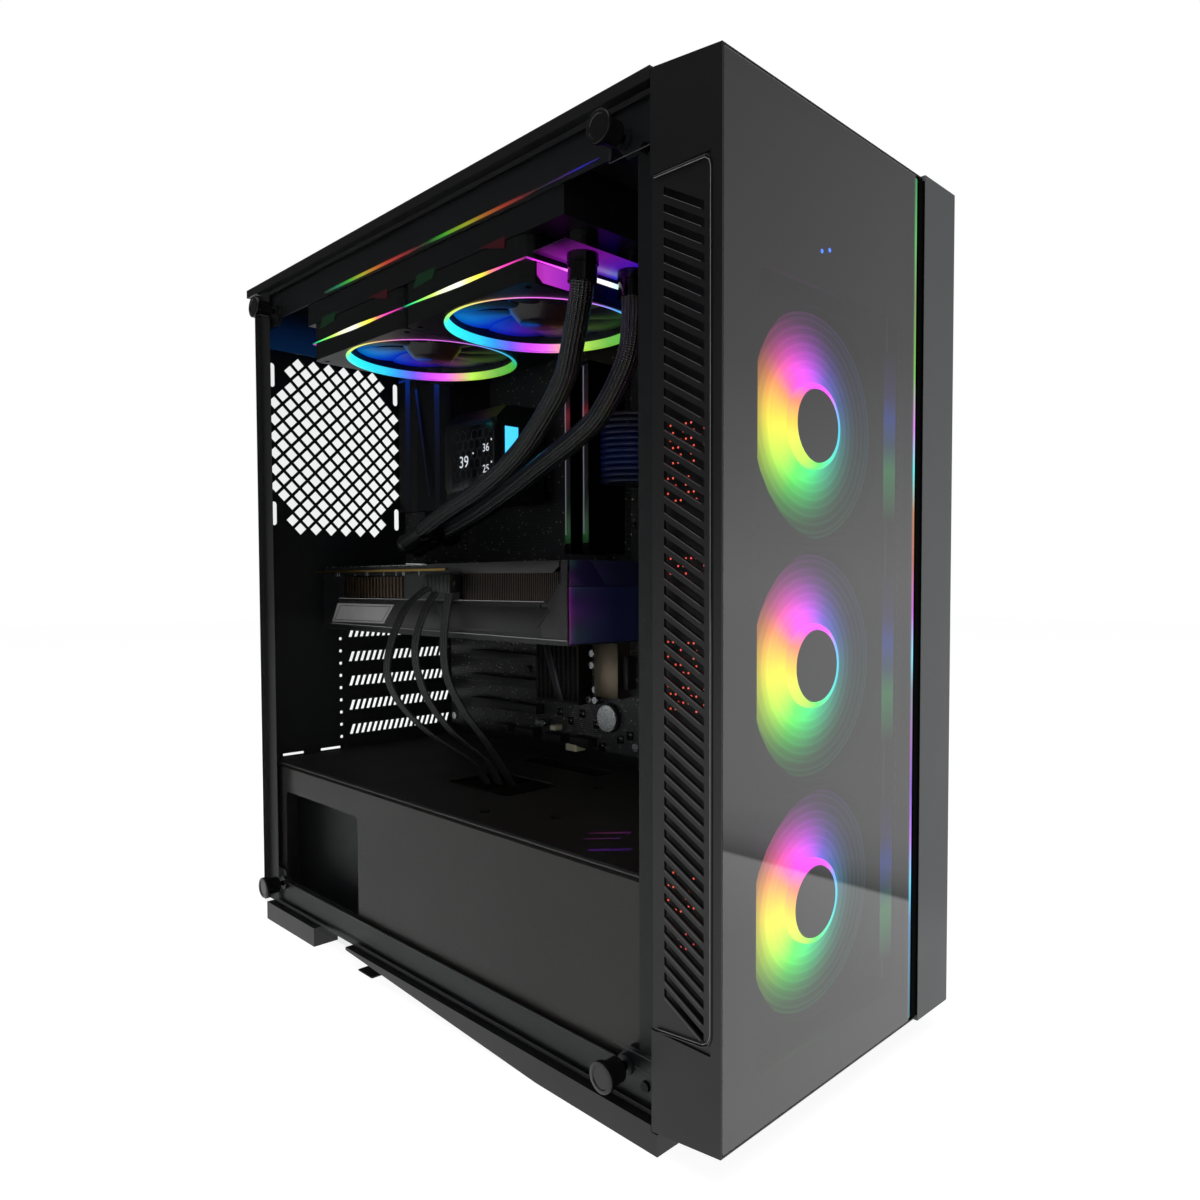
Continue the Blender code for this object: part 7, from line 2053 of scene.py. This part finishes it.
@dataclass
class Radiator(Assembly):
    """The radiator's fins, its end tank under fan light, the lit rail beside it and its screws."""

    fin_pitch: float = 2.6
    fin_count: int = 85
    rail_x: float = -93.2

    def build(self, rows: Grower) -> None:
        """Make the fins, the light on the end tank and the rail, and the screws.

        Args:
            rows: the tree that sets pieces at points.
        """
        low, high = box_mm("radiator")
        fin = Shape().block((-52, -0.15, 0), (52, 0.15, 0.5))
        middle, first = (low.x + high.x) / 2, low.y + 34
        spots = [
            (middle, first + i * self.fin_pitch, z)
            for i in range(self.fin_count)
            for z in (low.z - 0.2, high.z)
        ]
        mesh = repeated(rows, "radiator_fin_edges", fin, spots, BLACK_ANODISED)
        self.piece("radiator_fin_edges", mesh, BLACK_ANODISED, "painted_aluminium", None)
        name = "stoved enamel under fan light, radiator"
        lit = LineGlow(name, 0.6, "060608", "X", -0.096, 0.012, TANK_STOPS)
        near, far = (low.x + 3, low.y + 2.5, low.z - 0.35), (high.x - 1, low.y + 29, low.z + 0.1)
        self.piece("radiator_tank_light", Shape().block(near, far, 0.1), lit, "painted_aluminium")
        self.rail_windows(low.x)
        self.painted_rail_reflection()
        screws = Shape()
        for y in (-88.75, -36.75, 15.25):
            for x in (low.x + 7, high.x - 7):
                screws.rod((x, y, high.z + 0.1), (x, y, high.z + 1.0), 3.0)
        self.piece("radiator_screws", screws, STEEL, "bare_metal", 40)

    def rail_windows(self, x: float) -> None:
        """The green and red light of the two fans in the rail's openings.

        Args:
            x: the rail's outer side.
        """
        for name, corners, finish in (
            ("rail_green_light", ((6.5, 441.6), (-12.9, 441.6), (-9.8, 436), (10.8, 434.5)), GREEN_ENAMEL),
            ("rail_red_light", ((-56.2, 441.0), (-79.4, 441.4), (-78.6, 435.4), (-70, 437.5)), RED_ENAMEL),
        ):
            windows = Shape()
            for shift in (0, 120):
                windows.prism([(y + shift, z) for y, z in corners], "X", x - 0.3, x + 0.1)
            self.piece(name, windows, finish, "painted_aluminium", None)

    def painted_rail_reflection(self) -> None:
        """A painted reflection of the fan lines in the rolled lower edge of the top plate's rail."""
        name = "powder coat with painted reflection of the fan lines"
        glow = LineGlow(name, 0.95, "0a0a0b", "Y", -0.154, 0.119, RAIL_STOPS)
        x = self.rail_x
        edge = Shape().rod((x, 119, 456.4), (x, -97, 456.4), 0.9, 10)
        edge.rod((x, -97, 456.4), (x, -154, 457.0), 0.7, 10, 0.3)
        self.piece("rail_rolled_edge", edge, glow, "powder_coated_steel", 40)


@dataclass
class Shroud(Assembly):
    """Screws, painted highlights on the folds and painted coloured glints on the shroud and the window's
    flanges.
    """

    top: float = 120.5

    def build(self) -> None:
        """Make the screws, the painted highlights on the folds and the painted bars of light on the shroud's
        top.
        """
        z = self.top
        screws = Shape()
        for x, y in ((-69.4, -26.7), (-49.1, -67.4), (20, -30), (20, -150)):
            screws.rod((x, y, z - 0.1), (x, y, z + 1.0), 3.1, 24, 2.7)
        for y, h in ((-165.2, 464.6), (-184.2, 451.4), (-168.2, 31.7), (-183.2, 24.8)):
            screws.rod((-92.0, y, h), (-94.2, y, h), 2.9, 24, 2.4)
        self.piece("small_screws", screws, DARK_SCREW, "bare_metal", 40)
        folds = Shape().rod((-89.2, -190.5, z - 0.3), (-89.2, 214, z - 0.3), 0.5, 8)
        folds.rod((-92.7, -190.5, 31.3), (-92.7, 225, 31.3), 0.4, 8)
        for (y0, z0), (y1, z1) in (
            ((-188.8, 451.0), (-162.8, 451.0)),
            ((-162.7, 451.5), (-162.7, 475.0)),
            ((-188.8, 39.5), (-162.8, 39.5)),
        ):
            folds.rod((-94.95, y0, z0), (-94.95, y1, z1), 0.22, 8)
        self.piece("folded_edges", folds, PAINTED_FOLD_HIGHLIGHT, "powder_coated_steel", 40)
        glint = LineGlow("powder coat under fan light", 0.3, "131314", "Y", -0.150, -0.100, GLINT_STOPS)
        bars = Shape()
        for corners in (
            ((-58, -106), (-55.6, -104), (-38.6, -120), (-41, -122)),
            ((-79, -129), (-76.6, -127), (-60.6, -142), (-63, -144)),
            ((-66, -112), (-65, -111), (-51, -124), (-52, -125)),
        ):
            bars.prism(corners, "Z", z, z + 0.12)
        self.piece("shroud_glints", bars, glint, "powder_coated_steel", None)


# ------------------------------------------------------------------ the back, the top and the underside
REARWARDS = Matrix(((-1, 0, 0), (0, 0, 1), (0, 1, 0)))  # a face whose outward side is +Y
WALL_STOPS = ((0.0, "07294f"), (0.4, "051d42"), (0.75, "020a1a"), (1.0, "010204"))


class Port(Enum):
    """The kinds of socket row on the board's rear plate."""

    TWIN = "two pairs of flat sockets"
    NETWORK = "a network socket and three round ones"
    VIDEO = "two video sockets"


@dataclass
class Rear(Assembly):
    """The sockets, slots, switch marks and screws on the tower's back."""

    wall: float = 227.25
    plate_x: float = 40.0

    def build(self) -> None:
        """Make every piece of the back's looks."""
        self.io_plate()
        self.card_ports()
        self.supply()
        self.wash()
        self.screws()

    def row(self, shells: Shape, holes: Shape, z: float, port: Port) -> None:
        """One row of sockets.

        Args:
            shells: the shape that takes the shells.
            holes: the shape that takes the openings.
            z: height of the row's middle.
            port: what the row holds.
        """
        x0, y = self.plate_x, self.wall
        if port is Port.TWIN:
            for x in (x0 + 1, x0 + 17):
                shells.block((x, y - 3.2, z - 6.5), (x + 14, y + 0.2, z + 6.5), 0.25)
                for h in (z - 3.2, z + 3.2):
                    holes.block((x + 1.2, y + 0.1, h - 2.2), (x + 12.8, y + 0.35, h + 2.2))
        elif port is Port.NETWORK:
            shells.block((x0 + 1, y - 3.2, z - 7), (x0 + 17, y + 0.2, z + 7), 0.25)
            holes.block((x0 + 3, y + 0.1, z - 5), (x0 + 15, y + 0.35, z + 4.4))
            for h in (z - 6, z + 0.2, z + 6.4):
                shells.rod((x0 + 26, y - 3.2, h), (x0 + 26, y + 0.3, h), 2.6, 24)
                holes.rod((x0 + 26, y + 0.28, h), (x0 + 26, y + 0.4, h), 1.6, 16)
        else:
            for x, wide, rim in ((x0 + 1, 16, 1.2), (x0 + 20, 12, 1.4)):
                shells.block((x, y - 3.2, z - 3.2), (x + wide, y + 0.2, z + 3.2), 0.25)
                holes.block((x + rim, y + 0.1, z - 2.2), (x + wide - rim, y + 0.35, z + 2.2))

    def io_plate(self) -> None:
        """The board's rear sockets, seen through the opening of the rear wall."""
        y = self.wall
        plate = Shape().block((32.0, y - 0.4, 275.4), (75.5, y + 0.05, 432.6), 0.1)
        # the plate takes the darker coat, which is painted shade
        self.piece("io_plate", plate, SHADED_INNER_COAT, "powder_coated_steel")
        shells, holes = Shape(), Shape()
        for z in (420, 402, 384):
            self.row(shells, holes, z, Port.TWIN)
        self.row(shells, holes, 366, Port.NETWORK)
        self.row(shells, holes, 348, Port.VIDEO)
        self.piece("rear_socket_shells", shells, STEEL, "bare_metal")
        # the openings are black: partly the dark plastic inside the sockets, partly painted shade
        self.piece("rear_socket_holes", holes, GLOSS, "board_laminate", None)

    def card_ports(self) -> None:
        """The graphics card's sockets in its bracket."""
        y = self.wall
        shells, holes = Shape(), Shape()
        for x in (-11.35, 12.65, 36.65, 58.65):
            shells.block((x - 8.0, y - 8, 254.8), (x + 8.0, y - 1.8, 261.2), 0.5)
            holes.block((x - 6.6, y - 2.0, 256.0), (x + 6.6, y - 1.6, 260.0))
        self.piece("card_socket_shells", shells, STEEL, "bare_metal")
        # the openings are black: partly the dark plastic inside the sockets, partly painted shade
        self.piece("card_socket_holes", holes, GLOSS, "board_laminate", None)

    def supply(self) -> None:
        """The inlet's pins and the switch's plain marks."""
        pins = Shape()
        for x, z in ((-52.8, 55.8), (-39.9, 55.8), (-46.35, 61.8)):
            pins.block((x - 1.0, 207, z - 2.0), (x + 1.0, 221.5, z + 2.0), 0.3)
        self.piece("inlet_pins", pins, STEEL, "bare_metal")
        low, high = box_mm("psu_switch")
        middle = (low + high) / 2
        marks = Shape()
        for text, rise in (("I", 5.0), ("O", -5.0)):
            marks.write(text, 3.4, (middle.x, high.y + 0.06, middle.z + rise), REARWARDS)
        self.piece("switch_marks", marks, WHITE_INK, "black_plastic", None, "mains_rocker")

    def wash(self) -> None:
        """The blue light that the rear top fan throws on the wall's inner face above the grille."""
        lit = LineGlow("powder coat under blue fan light", 0.6, "08080a", "Z", 0.436, 0.470, WALL_STOPS)
        patch = Shape().block((-91, 214.9, 436.3), (20, 215.2, 471))
        self.piece("rear_wall_light", patch, lit, "powder_coated_steel", None)

    def screws(self) -> None:
        """Screws round the supply and beside the cards."""
        y = self.wall
        heads, slots = Shape(), Shape()
        for x, z in (
            (-63.4, 21.0), (-63.4, 94.8), (74.8, 21.0), (74.8, 94.8),
            (-86, 250), (-86, 229), (-86, 208), (-86, 187), (-86, 166), (-86, 145),
        ):
            heads.rod((x, y - 0.1, z), (x, y + 1.6, z), 3.6, 24, 2.8)
            slots.block((x - 2.2, y + 1.5, z - 0.35), (x + 2.2, y + 1.68, z + 0.35))
            slots.block((x - 0.35, y + 1.5, z - 2.2), (x + 0.35, y + 1.68, z + 2.2))
        self.piece("rear_screws", heads, STEEL, "bare_metal", 40)
        # the slots in the steel heads are black as painted shade in the recesses
        self.piece("rear_screw_slots", slots, GLOSS, "bare_metal", None)


@dataclass
class Outside(Assembly):
    """The right panel's rolled edges, the top filter's mesh, the feet's pads and the button rims."""

    weave_inset: float = 8.0
    weave_step: float = 2.6

    def build(self, rows: Grower) -> None:
        """Make the outer pieces.

        Args:
            rows: the tree that sets pieces at points.
        """
        self.rolled_edges()
        self.top_mesh(rows)
        self.pads()
        self.controls()
        self.pane_border()
        for corner in CORNERS:
            self.thumbscrew(corner)

    def rolled_edges(self) -> None:
        """The right panel's edges, rolled inwards along its top, bottom and front."""
        edges = Shape().block((104.45, -192.1, 474.7), (109.75, 227.0, 475.7), 0.3)
        edges.block((104.45, -192.1, 14.0), (109.75, 227.0, 15.0), 0.3)
        edges.block((104.45, -192.15, 14.2), (109.75, -191.15, 475.5), 0.3)
        self.piece("right_panel_edges", edges, POWDER, "powder_coated_steel", body="right_side_panel")

    def top_mesh(self, rows: Grower) -> None:
        """The fine woven mesh of the top filter, drawn coarser than its real 0.5 mm weave.

        Args:
            rows: the tree that sets pieces at points.
        """
        low, high = box_mm("top_dust_filter")
        inset, step, z = self.weave_inset, self.weave_step, high.z - 0.12
        x0, y0 = low.x + inset, low.y + inset
        wide, long = high.x - inset - x0, high.y - inset - y0
        warp = Shape().block((0, 0, 0), (0.5, long, 0.1))
        weft = Shape().block((0, 0, 0), (wide, 0.5, 0.12))
        for name, thread, spots in (
            ("top_filter_warp", warp, [(x0 + i * step, y0, z) for i in range(int(wide / step) + 1)]),
            ("top_filter_weft", weft, [(x0, y0 + i * step, z) for i in range(int(long / step) + 1)]),
        ):
            mesh = repeated(rows, name, thread, spots, NYLON)
            self.piece(name, mesh, NYLON, "black_plastic", None, "top_filter")

    def pads(self) -> None:
        """Rubber pads round the feet's lower edges, flush with the floor."""
        pads = Shape()
        for x in (-90.35, 101.65):
            for y in (-170, 70, 150, 202):
                pads.block((x - 6.5, y - 9, 0.0), (x + 6.5, y + 9, 1.2), 0.4)
        self.piece("foot_pads", pads, RUBBER, "black_plastic")

    def pane_border(self) -> None:
        """The black ceramic border fired on the inner face of the window and on its rear edge."""
        x0, x1 = -95.36, -95.16
        border = Shape().block((x0, 203.0, 14.4), (x1, 219.4, 475.3))
        border.block((x0, -191.9, 472.6), (x1, 203.0, 475.3))
        border.block((x0, -191.9, 14.4), (x1, 203.0, 16.8))
        border.block((-99.3, 219.42, 14.1), (x1, 219.7, 475.6))
        self.piece("window_border", border, FRIT, "tinted_glass", None, "glass_panel")

    def thumbscrew(self, corner: str) -> None:
        """One of the window's screws: a broad flat head with rounded rims on a plain barrel.

        Args:
            corner: the corner that it holds.
        """
        node = f"window_thumbscrew_{corner}"
        low, high = box_mm(node)
        middle = (low + high) / 2
        rim, head = low.x, low.x + 3.0
        profile = [
            (0.0, rim + 0.45), (5.2, rim + 0.45), (5.5, rim), (6.9, rim), (7.32, rim + 0.2),
            (7.44, rim + 0.6), (7.44, head - 0.6), (7.3, head - 0.15), (6.9, head), (6.1, head),
            (6.0, head + 0.3), (6.0, -99.75), (5.7, -99.4), (2.0, -99.4), (1.75, -99.0),
            (1.75, high.x - 0.3), (1.4, high.x), (0.0, high.x),
        ]
        shape = Shape().lathe(profile, 64, "X", (0, middle.y, middle.z))
        body = f"window_screw_{corner}"
        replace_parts(self.piece(f"{node}_turned", shape, SCREW_GLOSS, "black_plastic", 40, body), node)

    def controls(self) -> None:
        """Thin bright rims round the two buttons."""
        rims = Shape()
        for x, near in ((37.65, 5.4), (19.65, 3.4)):
            far = near + 0.5
            rims.lathe([(near, 0.0), (far, 0.0), (far, 0.1), (near, 0.1)], 48, "Z", (x, -210.25, 480.5))
        self.piece("button_rims", rims, GREY_ANODISED, "bare_metal", 40, "front_panel")


# ------------------------------------------------------------------ the whole scene
def main() -> None:
    """Build every sub-assembly round the solid model and report each piece."""
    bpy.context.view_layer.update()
    Studio().build()
    Casing().dress()
    rings, tubes, rows = ring_tree(), tube_tree(), row_tree()
    FrontPanel().build(rows)
    FrontFans().build(rings)
    TopFans().build(rings)
    Cooler().build(tubes)
    GraphicsCard().build(rows, tubes)
    Pump().build(rows)
    Memory().build()
    Board().build(rows, tubes)
    Radiator().build(rows)
    Shroud().build()
    Rear().build()
    Outside().build(rows)
    bpy.context.scene.view_settings.view_transform = "Standard"


if __name__ == "__main__":
    main()
